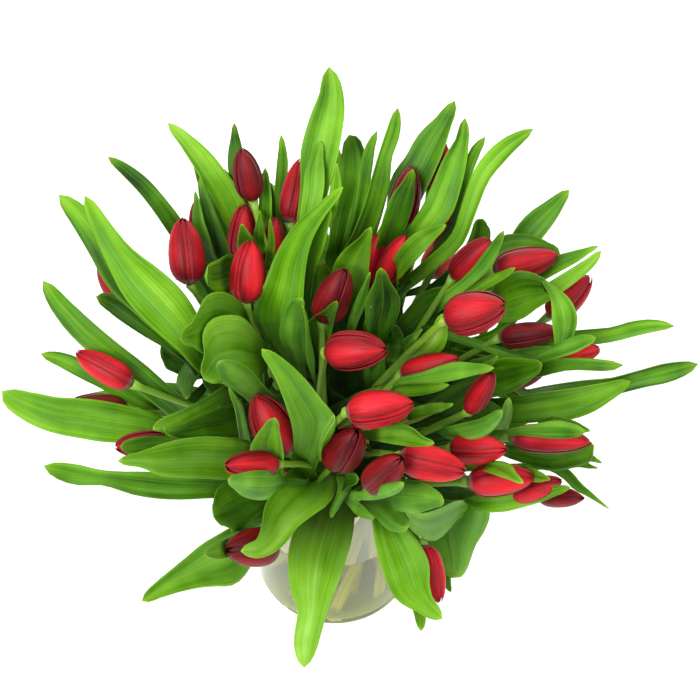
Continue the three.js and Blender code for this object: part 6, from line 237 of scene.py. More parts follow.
    (7, 4, -0.24, 0.57, 0, 29, -61.5, 235.8, 0.5, -1.8, 1.2, 31.9, -59, 238.4, 0.6, -2.4, 1.5, 35.3, -57.6, 239.3, -2.8, -2.9, 1.4, 44.5, -72.1, 236.7, -4.2, -3.7, 2.1, 57.7, -93.5, 221.3, -11.8, -1.7, 5.2, 61.8, -114.4, 236.9, -12.4, -2.3, 5.1, 65.1, -130.8, 243, -11.7, -2.3, 4.7, 67.2, -146.3, 247.4, -9.9, -1.9, 4, 68.8, -161.1, 251, -7.2, -1.2, 3, 69.7, -175.6, 254.1, -4.4, -0.7, 1.9, 69.9, -189.7, 257.9, -0.3, 0, 0.1),
    (10, 3, 0.24, 0.57, 0, -28.2, 88.8, 340.7, -2, 0.8, -0.2, -34.8, 76.3, 356.5, -3.8, 1.5, -0.1, -30.1, 87.1, 371.4, -3.7, 1.6, 0.3, -23.8, 96.1, 387.9, -4.1, 1.1, -1.5, -20.7, 97.1, 408.5, -5.4, 1.8, -1.8, -17.2, 103.7, 420.8, -7.3, 2.9, -2.1, -14.6, 112.8, 430.1, -8.3, 3.5, -2.2, -13.8, 124.7, 436.5, -7.8, 3.5, -2, -12, 136.8, 442, -4.7, 2.3, -1.1, -8.8, 147.6, 447.8, -0.3, 0.1, -0.1),
    (1, 3, 0.24, 0.15, 0, 59, 96.3, 309.2, -1.8, -0.8, -0.9, 53.3, 96.4, 321.3, -3.8, -1.6, -1, 50.2, 93.4, 348.7, -5.4, -2.3, -1.1, 44.5, 91, 375.1, -9.1, -4.2, 2.3, 46.6, 88.5, 398.2, -9.6, -3.5, 2.9, 49.7, 92.3, 412, -9.9, -2.8, 3.5, 53.1, 97.8, 423.4, -9.9, -2.1, 4, 56.7, 104, 433.5, -8.5, -0.9, 3.1, 60.6, 109.2, 443.5, -4.7, -0.8, 1.9, 63.7, 114.3, 453.4, -0.3, 0, 0.1),
    (1, 3, 0.24, 0.38, 0, 59.1, 95.1, 309, -1.6, 1.4, -0.5, 57.1, 97.5, 321.7, -3.1, 2.8, -0.1, 59.6, 96.4, 349.7, -4.5, 4, 0.5, 62, 95.8, 377.5, -5.2, 4.4, -0.5, 73, 92.8, 406.5, -8.1, 5.8, 0.1, 84, 99.4, 422.7, -10.5, 6.2, 1.2, 91, 111.9, 435.3, -10.2, 4.3, 2.1, 96.9, 126.4, 445.9, -8.9, 2.3, 2.7, 103, 141.6, 455, -5.4, -0.4, 2.6, 105.3, 156.7, 464.9, -0.3, 0, 0.1),
    (1, 3, 0.24, 0.38, 0, 71.9, 85.3, 313.1, 0.1, 2.2, 0.2, 81.2, 83.9, 324, 0.3, 4.2, 0.5, 101, 79.2, 344.1, 0.5, 5.9, 0.7, 121.1, 75.5, 366.1, 1.1, 9.4, 1.5, 129.7, 79.3, 374.5, -0.1, 12.5, 2, 139.6, 87.5, 375.4, -1.4, 16.3, 2.6, 151.8, 92.1, 374.6, -0.8, 16.6, 2.7, 163.7, 90.5, 376.9, 0, 13.4, 2.2, 174.5, 86.6, 380.8, 0.2, 8, 1.3, 183.5, 80.7, 387.1, 0, 0.3, 0),
    (0, 3, 0.24, 0.57, 0, 122.3, 32.8, 292.5, -0.9, 2, -0.2, 124.1, 35.3, 307.3, -1.6, 3.8, -0.5, 137.1, 43.8, 327.9, -2.4, 5.5, -0.7, 151, 52.4, 348.5, -1.7, 7.2, 1, 161.2, 48.3, 367, -2.4, 7.4, 1, 172.4, 50.8, 376, -2.6, 6.7, 0.8, 183.7, 55.4, 382.4, -2.9, 5.3, 1.5, 195.2, 61.7, 386.9, -3.2, 3.6, 2.5, 206.5, 69.7, 389.9, -3.2, 1.5, 3.3, 215.3, 77.7, 395.2, -0.2, 0.1, 0.2),
    (3, 3, 0.24, 0.57, 0, -44.7, 65.7, 301.3, -1.7, 0.4, -1.3, -55.3, 67.6, 315.6, -3.6, 0.9, -1.9, -62.1, 79.1, 340.3, -5.4, 1.5, -2, -67.6, 90.7, 366.5, -8.4, 2.9, -2.6, -66.4, 74.7, 396.9, -8.1, 2.4, -2.7, -66.1, 67.8, 414.5, -7.8, 2, -2.8, -66.2, 62.8, 429.1, -6.6, 1.5, -2.5, -66.6, 58.1, 442.7, -4.8, 1, -1.8, -66.9, 53.2, 456.1, -2.5, 0.5, -0.8, -67, 48.5, 468.9, -0.3, 0.1, -0.1),
    (3, 3, 0.24, 0.57, 0, -73.8, 74.7, 284.4, -2.1, 0.5, 0, -74.9, 71.5, 305.3, -3.2, 0.7, 0.3, -65.9, 80.7, 343.8, -3.2, 0.7, 0.5, -58.6, 89.1, 383.8, -3.3, 0.9, -1.2, -57.2, 73.9, 412.5, -3.6, 1, -1.3, -56.5, 66.8, 430.2, -3.9, 1.1, -1.4, -55.4, 61.3, 445.4, -3.3, 0.9, -1.2, -54.2, 56.8, 459.1, -2.5, 0.6, -0.8, -53.5, 52.9, 471.8, -1.3, 0.3, -0.4, -52.8, 49.3, 483.8, -0.3, 0.1, -0.1),
    (3, 3, 0.24, 0.57, 0, -77.9, 78, 292.8, -2.2, 0.4, 0.3, -77.1, 73.4, 306, -3.1, 0.5, 1, -64.9, 79.9, 333.7, -3, 0.5, 1.3, -53, 84.3, 360, -3.4, 0.9, -1.2, -49.8, 66.6, 396.1, -3.3, 0.8, -1.2, -47.9, 58.9, 418, -3.1, 0.7, -1.1, -46.3, 53.5, 436.4, -2.8, 0.4, -0.8, -45.7, 49.4, 452.8, -2.4, 0.3, -0.6, -45.5, 45.8, 468.2, -1.5, 0.2, -0.3, -45.2, 42.5, 482.8, -0.3, 0, -0.1),
    (9, 3, -0.20, 0.50, 1, 46.4, 17.9, 256.3, -1.8, 0.1, -1.3, 36.9, 18.2, 269.6, -3.9, 0.2, -1.5, 36.6, 13.6, 280.5, -6, -0.2, -0.4, 35.5, 7.5, 293.9, -6.3, -1.4, 2.4, 34.4, -4.9, 324.2, -7.5, -0.5, 2, 33.9, -9.4, 341.6, -8.4, 0.3, 1.9, 33.9, -10.7, 354, -8.5, 1.2, 1.8, 36.1, -11.1, 362.9, -6.6, 1.1, 1.4, 38, -12.8, 372.4, -3.4, 0.7, 0.7, 39.8, -19.4, 389.2, -0.3, 0.1, 0.1),
    (1, 3, 0.24, 0.15, 0, 43.2, 66.7, 234.6, -1.2, 1.9, -0.1, 42.7, 67, 251.2, -2.2, 3.6, 0.3, 46.2, 66.4, 264.2, -3, 5.1, 1, 50.4, 67, 275.6, -3.4, 5.8, 0.5, 59.3, 53.5, 315.7, -5.2, 9, 0.8, 69.3, 53.4, 333.8, -6.7, 12.2, 1.2, 80.6, 53.2, 349.2, -6.9, 13.7, 1.6, 92.8, 48.1, 366.8, -5.5, 11.3, 1.9, 104.4, 40.4, 386.9, -3.3, 7.5, 1.5, 114.1, 33.7, 407.6, 0.1, 2.5, 0.5),
    (0, 3, -0.20, 0.50, 1, 70.1, 8, 257.9, -1.6, 1.2, -0.9, 72.6, 18, 266.6, -2.3, 3.5, -0.7, 91.5, 25.7, 276.2, -1.8, 4.6, -0.3, 109.4, 33.8, 286.4, -0.7, 5.5, 0.8, 119.6, 19, 318, -0.5, 5.1, 0.8, 131.4, 14.9, 330.7, -0.6, 5.7, 0.9, 143.4, 12.8, 339.1, -0.6, 5.9, 0.9, 155.5, 10.3, 347.3, -0.5, 5.7, 1, 167.1, 6.9, 356.4, -0.3, 4.5, 0.8, 177.8, 1.3, 367.3, 0, 0.3, 0.1),
    (11, 3, -0.24, 0.38, 0, -77.8, 25.3, 316.2, 1.4, 0.2, 1.7, -85, 4.2, 325, 2.4, 0.1, 3.4, -98.1, 7.4, 331, 2.1, -0.1, 5, -109.8, 11.2, 335.8, 5.5, -0.6, 2.5, -127.5, 10, 374.6, 6.1, 0.2, 3.5, -145.5, 20.8, 396.1, 7.9, 1.4, 5.6, -162.6, 34.6, 414.3, 10.1, 2.5, 7.9, -176.6, 50.9, 432.8, 9.2, 2.6, 7.6, -192.1, 69.4, 447, 7.4, 2.9, 6.1, -209.7, 83.7, 459.5, 0.2, 0.1, 0.2),
    (4, 3, -0.24, 0.38, 0, -104.5, 29.2, 278.4, -0.9, 0.9, 1.8, -110.8, 14.8, 282.5, -1.8, 1.8, 3.4, -122.8, 3.5, 282.7, -1.7, 2.1, 3.6, -135.7, -8, 284.2, 0.8, 4.4, 2.4, -150.4, -13.4, 310.1, 1.2, 4.9, 2.9, -165.9, -11, 323.9, 2.3, 6, 4.6, -182.1, -6.4, 333.8, 2.1, 6, 3.9, -199, -0.6, 340.2, 1.9, 6, 3.3, -216.4, 6.7, 344, 1.3, 5.5, 2.1, -233.9, 11.2, 346.2, 0.1, 0.3, 0.1),
    (11, 3, -0.24, 0.38, 0, -39, -0.6, 236.1, -1.6, 0.8, 1.3, -46.1, -10.7, 233.9, -2.5, 2.2, 2.6, -64.7, -28.7, 235.1, -3.3, 3.4, 3.6, -81.5, -47.4, 235.5, -3.3, 6.8, 5, -106.3, -63.6, 261.4, -2.2, 7.3, 6.5, -132, -69.7, 272.5, -0.8, 7.4, 8.7, -157.4, -71.8, 281.6, 0.4, 6.5, 9.3, -182.2, -71.5, 289.7, 0.8, 3.8, 5.7, -208.4, -69, 291.8, 2.3, 4.8, 7.4, -230.6, -66.8, 301.7, 0.1, 0.2, 0.2),
    (10, 3, 0.24, 0.57, 0, -33.6, 60, 317.3, -2, 0.8, -0.3, -31.7, 67.6, 325.1, -3.9, 1.5, -0.6, -27.3, 86.6, 343.3, -5.5, 2.1, -1, -23.8, 104.5, 358.9, -6.7, 2.5, -2, -19.1, 106.9, 398.1, -9.5, 3.3, -2.9, -14.5, 120.5, 421.3, -11.3, 3.4, -2.9, -10.9, 137.2, 440, -14.6, 3.9, -3.2, -5.2, 155.3, 456.3, -14.1, 1.9, -1.6, -0.5, 175.2, 470.2, -9.7, -2.1, 1.4, -2.3, 192.8, 484.5, -0.3, -0.1, 0),
    (10, 3, 0.24, 0.38, 0, 20.9, 65, 324.4, -1.9, -0.8, 0.7, 20.8, 72, 331.3, -3.7, -1.4, 1.4, 20.6, 86.1, 343.9, -5.3, -2.1, 2, 19.3, 101.2, 357.7, -11.6, -5.2, 3, 27.2, 101.1, 390.5, -10.3, -4.5, 2.6, 33.8, 111.1, 409.6, -8.6, -3.9, 2.2, 38.7, 124.6, 424.8, -8, -3.2, 2.2, 42.4, 139.8, 437.8, -5.6, -2.2, 1.6, 48.9, 156, 448.5, -5.5, -1.4, 2, 52.7, 173.2, 458.1, -0.3, -0.1, 0.1),
    (1, 3, 0.24, 0.15, 0, 71.3, 84.8, 314.7, -1.5, 0.2, 1.6, 80.7, 88.5, 323, -3.2, 0.2, 2.7, 95.5, 88.8, 343.3, -4.8, 0.2, 3.7, 112.1, 91.3, 363.5, -7.6, 0.3, 4.4, 114.1, 86.3, 380, -7.9, 0.2, 4.5, 116.7, 85.7, 390.3, -8.3, 0.2, 4.7, 118.1, 86.2, 399.8, -7.8, 0.1, 4.3, 118.6, 86.8, 409.2, -6.6, 0.2, 3.8, 117.9, 86.9, 419, -4.4, 1.1, 2.2, 118.9, 84.3, 428.4, -0.3, 0.1, 0.1),
    (1, 3, 0.24, 0.57, 0, 60.1, 95.8, 308.6, -0.2, 2.1, 0.6, 77.4, 94.5, 318.1, 0, 4, 1.3, 118.6, 85.8, 338.3, 0.2, 5.7, 1.9, 159.8, 77.5, 357.6, -1.7, 7.7, 1.2, 168.1, 73.7, 370.4, -1.8, 7.5, 1.1, 177.1, 75.2, 376.4, -1.8, 7.1, 1, 186.3, 78.1, 380.4, -1.7, 6.5, 0.9, 195.9, 81.2, 383, -1.4, 5.1, 0.7, 205.5, 85.6, 384.4, -0.8, 2.9, 0.4, 215.3, 90.6, 384.5, -0.1, 0.3, 0),
    (0, 3, 0.24, 0.57, 0, 96.7, 8.4, 272.8, -2, 0.8, -0.4, 97.1, 13.4, 280.2, -0.6, 3.3, 2.5, 115.1, 8.9, 276.4, 2, 4.4, 3.5, 133.3, 2.7, 272.8, -1.5, 9.3, 4, 151.3, -10, 294, -2.2, 9.3, 6.2, 170.2, -12.6, 302.5, -3.1, 9, 7.9, 189.4, -13.5, 308, -4.1, 8.5, 10.1, 207.8, -11.4, 313.6, -4.1, 6.4, 9.9, 225.6, -6.4, 318.9, -2.9, 3.8, 6.2, 241.9, -1.5, 325.5, -0.1, 0.1, 0.2),
    (0, 3, 0.24, 0.15, 0, 93.7, 24, 268.1, -0.8, 0.9, -1.9, 96.8, 32.4, 270.5, -1.8, 0.9, -3.7, 99.8, 47.7, 270.8, -2.3, 1.9, -5.1, 102.2, 53.5, 275.9, 1, 6.4, 1, 114.2, 40, 305.3, 0.5, 7.7, 1.3, 127.4, 33, 320.2, 0.4, 6.9, 1.1, 140.5, 26.5, 333.2, 0.3, 6.1, 1, 153.5, 20.3, 344.6, 0.2, 4.8, 0.8, 166.2, 15.3, 355.8, 0.2, 3.4, 0.6, 178.2, 8.7, 367.6, 0, 0.3, 0),
    (10, 3, 0.24, 0.15, 0, -7.5, 37.7, 236.8, -0.1, -0.9, 2, -5.7, 34.5, 235.4, 0.2, -2.2, 3.6, 0.8, 30.3, 231.7, 0.7, -2.6, 3.3, 6.5, 27.8, 227.5, -4.3, 1.6, 0.8, 6.7, 18.3, 262.4, -9.3, 3.5, 1.5, 7.9, 12.3, 290.4, -13.9, 6, 2.4, 11.9, 6.9, 316.7, -15.7, 8.7, 3.4, 19.2, -1.7, 340.5, -11.2, 5.8, 2.7, 25.8, -10, 363.3, -5.9, 2.8, 1.5, 31.4, -17.9, 385.5, -0.3, 0.1, 0.1),
    (10, 3, 0.24, 0.57, 0, -38.8, 66.9, 338.8, -2.1, 0.2, 0.7, -33.7, 77.5, 351.7, -3.3, 0.6, 1.4, -18.1, 95, 375.7, -3.2, 0.7, 1.7, -1, 111.7, 399.4, -4, 0.1, -0.1, 0.3, 108.8, 414.3, -4.2, 0.1, -0.1, 1.6, 110.4, 423.4, -4.4, 0.2, -0.1, 3.1, 113, 430.9, -4.6, 0.3, -0.1, 3.6, 116.3, 437.6, -3.5, 0.2, -0.1, 3.8, 119.7, 443.9, -1.9, 0.1, 0, 4.1, 123.3, 449.9, -0.3, 0, 0),
    (3, 3, 0.24, 0.15, 0, -64.4, 74.4, 325.2, -1.3, 0.7, -1.6, -79.6, 72.1, 336, -2.9, 1.4, -2.7, -90, 79.3, 355.7, -4.6, 2.2, -3.1, -100.3, 86.4, 376.5, -5.9, 3, -1.3, -102.3, 87.7, 389.3, -5.6, 2.6, -1.3, -104.8, 93.3, 396.1, -5.3, 2.2, -1.3, -107.4, 100.3, 401.2, -5, 1.9, -1.4, -108.6, 107.7, 406.2, -4.2, 1.5, -1.3, -109, 114.7, 411.5, -2.2, 0.6, -0.7, -110.6, 123.4, 414.6, -0.3, 0.1, -0.1),
    (3, 3, 0.24, 0.38, 0, -85.2, 85.1, 307.1, -2, 0.8, 0, -85.1, 86.1, 323.5, -3.8, 1.7, 0.7, -69.6, 98.3, 359.4, -4.3, 2.1, 1.2, -54.6, 109.1, 394.9, -5, 1.3, -1.8, -53.9, 108.6, 407.1, -5.2, 1.4, -1.8, -53.5, 111.9, 414.4, -5.3, 1.5, -1.9, -53.6, 116.5, 420, -5, 1.4, -1.8, -53.6, 121.6, 424.8, -4.2, 1.2, -1.5, -53.5, 127, 429, -2.8, 0.8, -1, -53.6, 131.9, 433.2, -0.3, 0.1, -0.1),
    (3, 3, 0.24, 0.15, 0, -65.1, 74.3, 326, -0.7, -0.8, -1.9, -78.3, 75.5, 330.1, -2.9, -0.9, -2.8, -83.5, 86, 341.1, -5.3, -0.2, -2.8, -91, 98.6, 352.9, -7.7, 0, -4.2, -92.8, 98.9, 372.2, -7.2, 0.1, -3.8, -95.8, 104, 384.3, -6.3, 0.2, -3.3, -98.9, 110.6, 394.4, -5.5, 0.3, -2.8, -102.1, 118.8, 402.3, -4.6, 0.4, -2.2, -105.7, 128.6, 408, -3.1, 0.4, -1.4, -107.3, 138.4, 413.8, -0.3, 0, -0.1),
    (2, 3, 0.24, 0.38, 0, -12.3, 105.5, 242.9, -1.8, -1.2, 0.1, -9.4, 103.5, 274.6, -3.4, -2.3, 0.6, 2.7, 105.1, 322.7, -4, -2.8, 1.1, 15.6, 105.1, 369.8, -4.5, -3.1, 0.7, 19.6, 105.7, 394.1, -4.2, -2.4, 0.8, 22.9, 114.2, 407.9, -4.3, -1.9, 1.1, 25.5, 125, 418.7, -4.7, -1.3, 1.5, 27.6, 137.6, 427.5, -4.8, 0.4, 0.4, 30.3, 151.2, 434.6, -3.8, 1.8, -0.8, 36.1, 163.4, 441.5, -0.3, 0.1, -0.1),
    (3, 3, 0.24, 0.15, 0, -46.5, 74, 325.5, -1.9, 0.1, -1, -51.1, 82.1, 335, -3.8, 0.7, -1.4, -51.7, 102.8, 354, -3.9, 1, -1.1, -51.1, 124.6, 371.9, -4.2, 1.1, -1.5, -50.3, 119.4, 387.6, -4.2, 1.1, -1.4, -49.9, 118.6, 397.4, -4.2, 1.1, -1.4, -49.5, 119.1, 405.4, -3.8, 1, -1.3, -49, 120.3, 412.4, -3.1, 0.8, -1.1, -48.9, 121.5, 419.1, -1.7, 0.4, -0.6, -48.8, 122.6, 425.7, -0.3, 0.1, -0.1),
    (10, 3, 0.24, 0.38, 0, 23.7, 69.3, 330.6, -1.6, -1.5, -0.1, 19.4, 73.1, 335.1, -3.4, -2.5, 0.1, 11.8, 85.9, 342.8, -5, -3.3, 0.4, 3.6, 99.3, 351.2, -9.1, -5, 1.9, 6.2, 102.3, 377.4, -9.6, -5, 2.1, 9.7, 113.2, 392.2, -9.9, -5, 2.2, 14, 126.1, 403.9, -9.5, -5, 2, 16.7, 141.5, 412.8, -10.4, -5.2, 2.4, 17.3, 159.7, 418.6, -9.3, -5, 1.9, 13.5, 166.2, 433.3, -0.3, -0.1, 0.1),
    (1, 3, 0.24, 0.38, 0, 59.8, 94.8, 308.7, -2, 0.3, -0.9, 56.1, 101.7, 319.4, -3.9, 0.8, -1.2, 53.5, 111.4, 339.5, -5.7, 1.3, -1.4, 50.6, 120.5, 359.6, -7.9, 2.5, 0.8, 55.4, 122.1, 390.2, -11.2, 5.1, 0.3, 60.7, 133.3, 407.8, -13.8, 7.8, -0.6, 70.6, 144.2, 422.2, -11.9, 7.2, -0.6, 79.8, 158.8, 433.2, -10.2, 7.7, -1.2, 90, 171.8, 443.6, -6, 4.6, -0.6, 98.9, 184, 454.3, -0.2, 0.2, 0),
    (1, 3, 0.24, 0.38, 0, 71.8, 84.3, 313.3, -1.1, 1.6, 1.1, 87.1, 89.5, 320.3, -2, 3, 2.2, 116.3, 97.2, 336.3, -2.7, 4.3, 3.1, 146.4, 103.1, 352.4, -5.7, 5.5, 2.4, 153.5, 102, 369.6, -6.8, 6.3, 2.9, 160.4, 107.2, 379.4, -8, 6.9, 3.6, 168.4, 113.7, 386.4, -7.7, 6.7, 3.4, 177.2, 120.9, 391.4, -6.2, 5.3, 2.8, 185.5, 129.3, 395.5, -3.7, 3.8, 1.3, 193.3, 135.8, 400.2, -0.2, 0.2, 0.1),
    (0, 3, 0.24, 0.38, 0, 109.1, 9.2, 286.1, -1.1, -0.7, 1.8, 113.1, 16.3, 291.2, 0.5, 0.4, 4.2, 138.6, 15.3, 282.2, 2.1, 0.7, 5.6, 163.9, 15.6, 272.4, -6.7, 3, 6.5, 184.6, 2.5, 300.1, -6.1, 3.9, 7.2, 206.9, -1.6, 311.9, -5.5, 4.1, 7.2, 229.4, -2.9, 319.7, -4.5, 3.3, 5.9, 251.8, 0.1, 326.2, -4, 3.7, 6.3, 274.5, 4.4, 330.4, -3.4, 4.1, 6.5, 295.2, 7.7, 336.6, -0.1, 0.1, 0.2),
    (3, 3, -0.24, 0.57, 0, -84.8, 84.5, 306.6, 1.6, 1.5, 0.1, -88.5, 87.8, 314.5, 3.4, 1.8, -1.7, -83, 103.6, 330.8, 4.7, 1.7, -3.3, -77.1, 117.9, 346.4, 7.4, 4.8, 0.5, -78.1, 119.3, 378.2, 9.4, 5.7, 0.8, -85.1, 129.8, 395, 9.6, 6.9, 0.2, -95.4, 141.8, 407.5, 8.2, 7.4, -0.5, -107, 154.8, 417.6, 6.8, 6.9, -0.2, -119.9, 166.8, 426.7, 4.2, 4.7, 0, -133.6, 176.8, 435.7, 0.2, 0.2, 0),
    (2, 3, 0.24, 0.38, 0, -20.1, 137.1, 249.5, -2, 0.6, -0.6, -27.6, 134.8, 273.6, -4, 1, -0.9, -35.7, 134.6, 317.7, -5.2, 1.3, -0.9, -43.8, 132.9, 361.2, -5.5, 1.5, -1.9, -43.4, 134.2, 379.2, -5.2, 1.3, -1.8, -43, 141.3, 389.8, -5, 1.2, -1.7, -42.1, 149.7, 398.3, -4.9, 1.2, -1.7, -41.3, 159.5, 405.3, -4.8, 1.1, -1.7, -41.5, 170.5, 410.5, -3.2, 0.6, -1.1, -42.6, 182.4, 414.3, -0.3, 0.1, -0.1),
    (3, 3, -0.24, 0.15, 0, -84, 85.5, 306.9, 0.5, 2.1, 0.5, -96, 87.6, 311.3, 2.4, 3.4, 0.3, -106, 99.7, 322.3, 4.5, 3.9, -0.6, -115.1, 113, 334.5, 5.2, 5.9, 0.5, -122.6, 112.6, 362.9, 5.4, 6.2, 0.6, -132.3, 120, 379.2, 5, 6.6, 0.3, -143, 129.3, 391.8, 4.3, 6.1, 0.4, -155, 139.8, 401.5, 3.8, 5.8, 0.5, -168.9, 149.6, 409, 2.8, 4.7, 0.4, -183.1, 157, 416.6, 0.2, 0.3, 0),
    (3, 3, 0.24, 0.15, 0, -46.3, 68.5, 310.1, -1.8, 0, -1.2, -56.4, 80.7, 325.7, -3.7, 0.4, -1.9, -65.9, 112.8, 359.1, -5.4, 0.8, -2.4, -75.6, 145.6, 391.9, -7.6, 1.4, -3, -76.8, 147.1, 404, -8, 1.5, -3.1, -78.1, 152.9, 410.7, -7.9, 1.5, -3, -78.9, 159.6, 416.4, -6.9, 1.4, -2.6, -79.3, 166.9, 421.2, -5, 1, -1.9, -79.9, 175.2, 424.8, -2.9, 0.6, -1.1, -80.7, 184, 427.4, -0.3, 0.1, -0.1),
    (3, 3, 0.20, 0.50, 1, -47.9, 56, 264.5, -0.4, 2.2, 0, -67.3, 52.2, 258.1, 0.1, 4.2, 0.4, -94.8, 58.5, 249.2, 0.9, 5.9, 0.8, -122.2, 62.7, 239, -2.1, 8.4, 1.4, -123.8, 42.3, 276.7, -1.2, 9.1, 1.5, -127, 31.9, 298.5, -0.3, 9.8, 1.7, -130.4, 24, 316.6, 0.2, 9.9, 1.7, -134.1, 17.3, 332.5, 0.7, 9.6, 1.9, -135.6, 10.9, 348.7, -0.2, 6.8, 1.2, -136, 1.4, 364.2, 0, 0.8, 0.2),
    (3, 3, 0.20, 0.50, 1, -45.7, 54.2, 256.7, -0.5, 1.7, -1.3, -62.1, 50, 258, -0.4, 3.2, -2.6, -89.1, 52.3, 261.3, -0.3, 4.6, -3.8, -115.3, 52.9, 265.8, -8.1, 4.9, -1.2, -115.3, 25.4, 301.2, -8.2, 4.4, -1.5, -117.2, 11.9, 314.3, -8.1, 3.8, -1.7, -118.8, 1.1, 322.2, -7.4, 2.7, -1.9, -118.2, -9.2, 328.9, -5.6, 1.7, -1.6, -116.3, -19.4, 335.7, -3.4, 1, -1, -114.3, -31.3, 346.4, -0.3, 0.1, -0.1),
    (14, 3, -0.24, 0.15, 0, 10.9, 10.4, 234.9, -1.1, 1.2, 1.5, 1.9, 10.4, 228.7, -2.4, 2.2, 2.7, -14.2, 9.5, 213.3, -3.5, 3.2, 3.7, -29.5, 9.8, 199.4, 4.5, 4, 4.8, -43.1, 8.6, 223.5, 7.5, 7.1, 7.1, -56.8, 10.7, 241.4, 9.8, 9.6, 8.8, -70.5, 14.3, 256.8, 10.8, 10.7, 9.4, -84.2, 18.8, 270.4, 9.7, 9.7, 8.2, -97.1, 22.3, 284.4, 6.2, 6.3, 5.2, -108, 24.2, 298.3, 0.2, 0.2, 0.2),
    (15, 3, -0.24, 0.15, 0, -4.5, -13, 236.7, 2.1, 0.6, 0.1, -6.6, -5.9, 242.3, 4.1, 1, 0.1, -9.8, 7.3, 252.4, 5.8, 1.4, 0.1, -12.8, 17.9, 263.9, 7.8, 2.9, 1.4, -20.4, 26.2, 287.9, 13, 4.8, 2.4, -28.2, 38.3, 305.5, 17.2, 6.3, 3.1, -36.1, 52.4, 320.4, 18.9, 6.9, 3.5, -44.1, 67.8, 333.1, 17.1, 6.3, 3.1, -51.7, 83.1, 344.4, 11.1, 4.1, 2, -58.4, 95.2, 356.2, 0.4, 0.1, 0.1),
    (15, 3, -0.24, 0.15, 0, -3.8, -12.9, 236.8, 2.1, 0.4, -0.2, -5.4, -4.3, 238.3, 4.2, -0.1, -0.5, -2.7, 11.6, 242.2, 5.9, -0.5, -0.9, -1.1, 26.1, 250.3, 9.6, 0.8, 0.1, -2.3, 34.1, 275.5, 15.9, 1.2, 0.2, -3.7, 45.7, 294.6, 21, 1.6, 0.3, -5.1, 59.3, 311, 23, 1.8, 0.4, -6.5, 74.1, 325.5, 20.5, 1.6, 0.3, -7.8, 87.9, 338.9, 13, 1, 0.2, -8.9, 97.2, 353.3, 0.5, 0, 0),
    (12, 3, -0.24, 0.15, 0, -15.6, -35.2, 235.1, 1.9, -1, -0.5, -10.9, -22.8, 228.8, 3.6, -1.9, -1, 0.1, 2.6, 219.4, 5.2, -2.6, -1.5, 10, 29.6, 210.8, 9.6, -2.7, -2.2, 17.2, 37.4, 237.2, 15.9, -4.5, -3.5, 24.5, 49, 257.3, 21, -6, -4.5, 31.8, 62.1, 275.2, 23, -6.6, -4.9, 39.1, 76.3, 291, 20.5, -5.9, -4.3, 45.9, 89.8, 305.6, 13, -3.8, -2.7, 51.5, 99.3, 320.4, 0.5, -0.1, -0.1),
    (13, 3, -0.24, 0.15, 0, 24.1, -23.5, 237.4, 2, 0, -0.9, 22.2, -12.3, 232.5, 3.9, -0.2, -1.6, 18.8, 4.7, 220.2, 5.6, -0.6, -2.1, 16.1, 21.7, 206.8, 7.4, -5.7, -4.2, 31.7, 26.5, 231.3, 12.3, -9.5, -6.7, 47.2, 35.2, 249.1, 16.2, -12.6, -8.7, 62.9, 45.5, 264.3, 17.8, -13.9, -9.5, 78.6, 57.2, 277.1, 15.9, -12.5, -8.4, 93.4, 68.7, 288.5, 10.2, -8, -5.4, 106, 77.2, 300.3, 0.4, -0.3, -0.2),
    (11, 3, -0.24, 0.15, 0, -37.9, -1.6, 234.4, -0.4, -1.7, -1.3, -23.9, 0.3, 228.1, -0.9, -3.3, -2.4, -0.8, 4.8, 211.9, -1.2, -4.7, -3.5, 24.9, 10.9, 197.5, 3.2, -6.6, -5.7, 43.9, 7.4, 217.9, 5.3, -11.3, -8.9, 62.8, 7.1, 232.6, 6.9, -15, -11.4, 81.9, 8.4, 244.7, 7.6, -16.5, -12.3, 100.9, 10.6, 255, 6.8, -14.9, -10.8, 118.7, 12.7, 264.6, 4.4, -9.5, -6.9, 133.7, 13.1, 275.1, 0.2, -0.3, -0.2),
    (13, 3, -0.24, 0.15, 0, 30.8, -29.3, 242.9, 0.1, -2.2, 0, 26.9, -29.3, 248.6, 1, -3.8, -1.4, 23.4, -36.6, 258.3, 1.9, -4.8, -3.1, 20.9, -44.5, 268.1, 1.5, -4.5, -5.1, 36.7, -52.2, 289.2, 2.4, -7.9, -7.6, 52.4, -56.7, 304.5, 3.2, -10.6, -9.5, 68, -59.9, 317.6, 3.5, -11.8, -10.1, 83.4, -62.5, 329.3, 3.2, -10.7, -8.8, 98, -64.9, 340.3, 2, -7, -5.6, 110.4, -68, 351.6, 0.1, -0.2, -0.2),
    (11, 3, -0.24, 0.15, 0, -38, -1.8, 235.2, -0.4, -1.7, -1.4, -23, 0.7, 227.3, -0.9, -3.2, -2.5, 5.6, 6.3, 209.9, -1.3, -4.6, -3.6, 33.7, 11.1, 193.6, 1.6, -5.3, -4.6, 58.7, 6.9, 212.9, 2.7, -8.9, -7.2, 83.6, 6.6, 225, 3.5, -11.9, -9.2, 108.5, 8, 234.2, 3.9, -13.2, -10.1, 133.5, 11, 240.6, 3.6, -12.1, -9.3, 158.2, 15.5, 244.3, 2.4, -8.1, -6.2, 181.4, 20.2, 246.9, 0.1, -0.3, -0.2),
    (15, 3, -0.24, 0.15, 0, -6.9, -5.7, 245.6, 1.5, 1.1, 1.2, -8.9, -5.7, 248.3, 3.3, 2, 1.7, -13.1, -3.3, 254.9, 4.9, 2.7, 2.1, -17.7, -1, 262.5, 6.5, 3.5, 2.6, -27.9, 3.1, 287.1, 10.7, 5.8, 4.1, -38.2, 10.5, 305.9, 14, 7.7, 5.3, -48.7, 19.4, 322.1, 15.4, 8.5, 5.7, -59.1, 29.3, 336.6, 13.9, 7.7, 5.1, -69, 38.7, 350.2, 9, 5, 3.3, -77.5, 45.7, 364, 0.3, 0.2, 0.1),
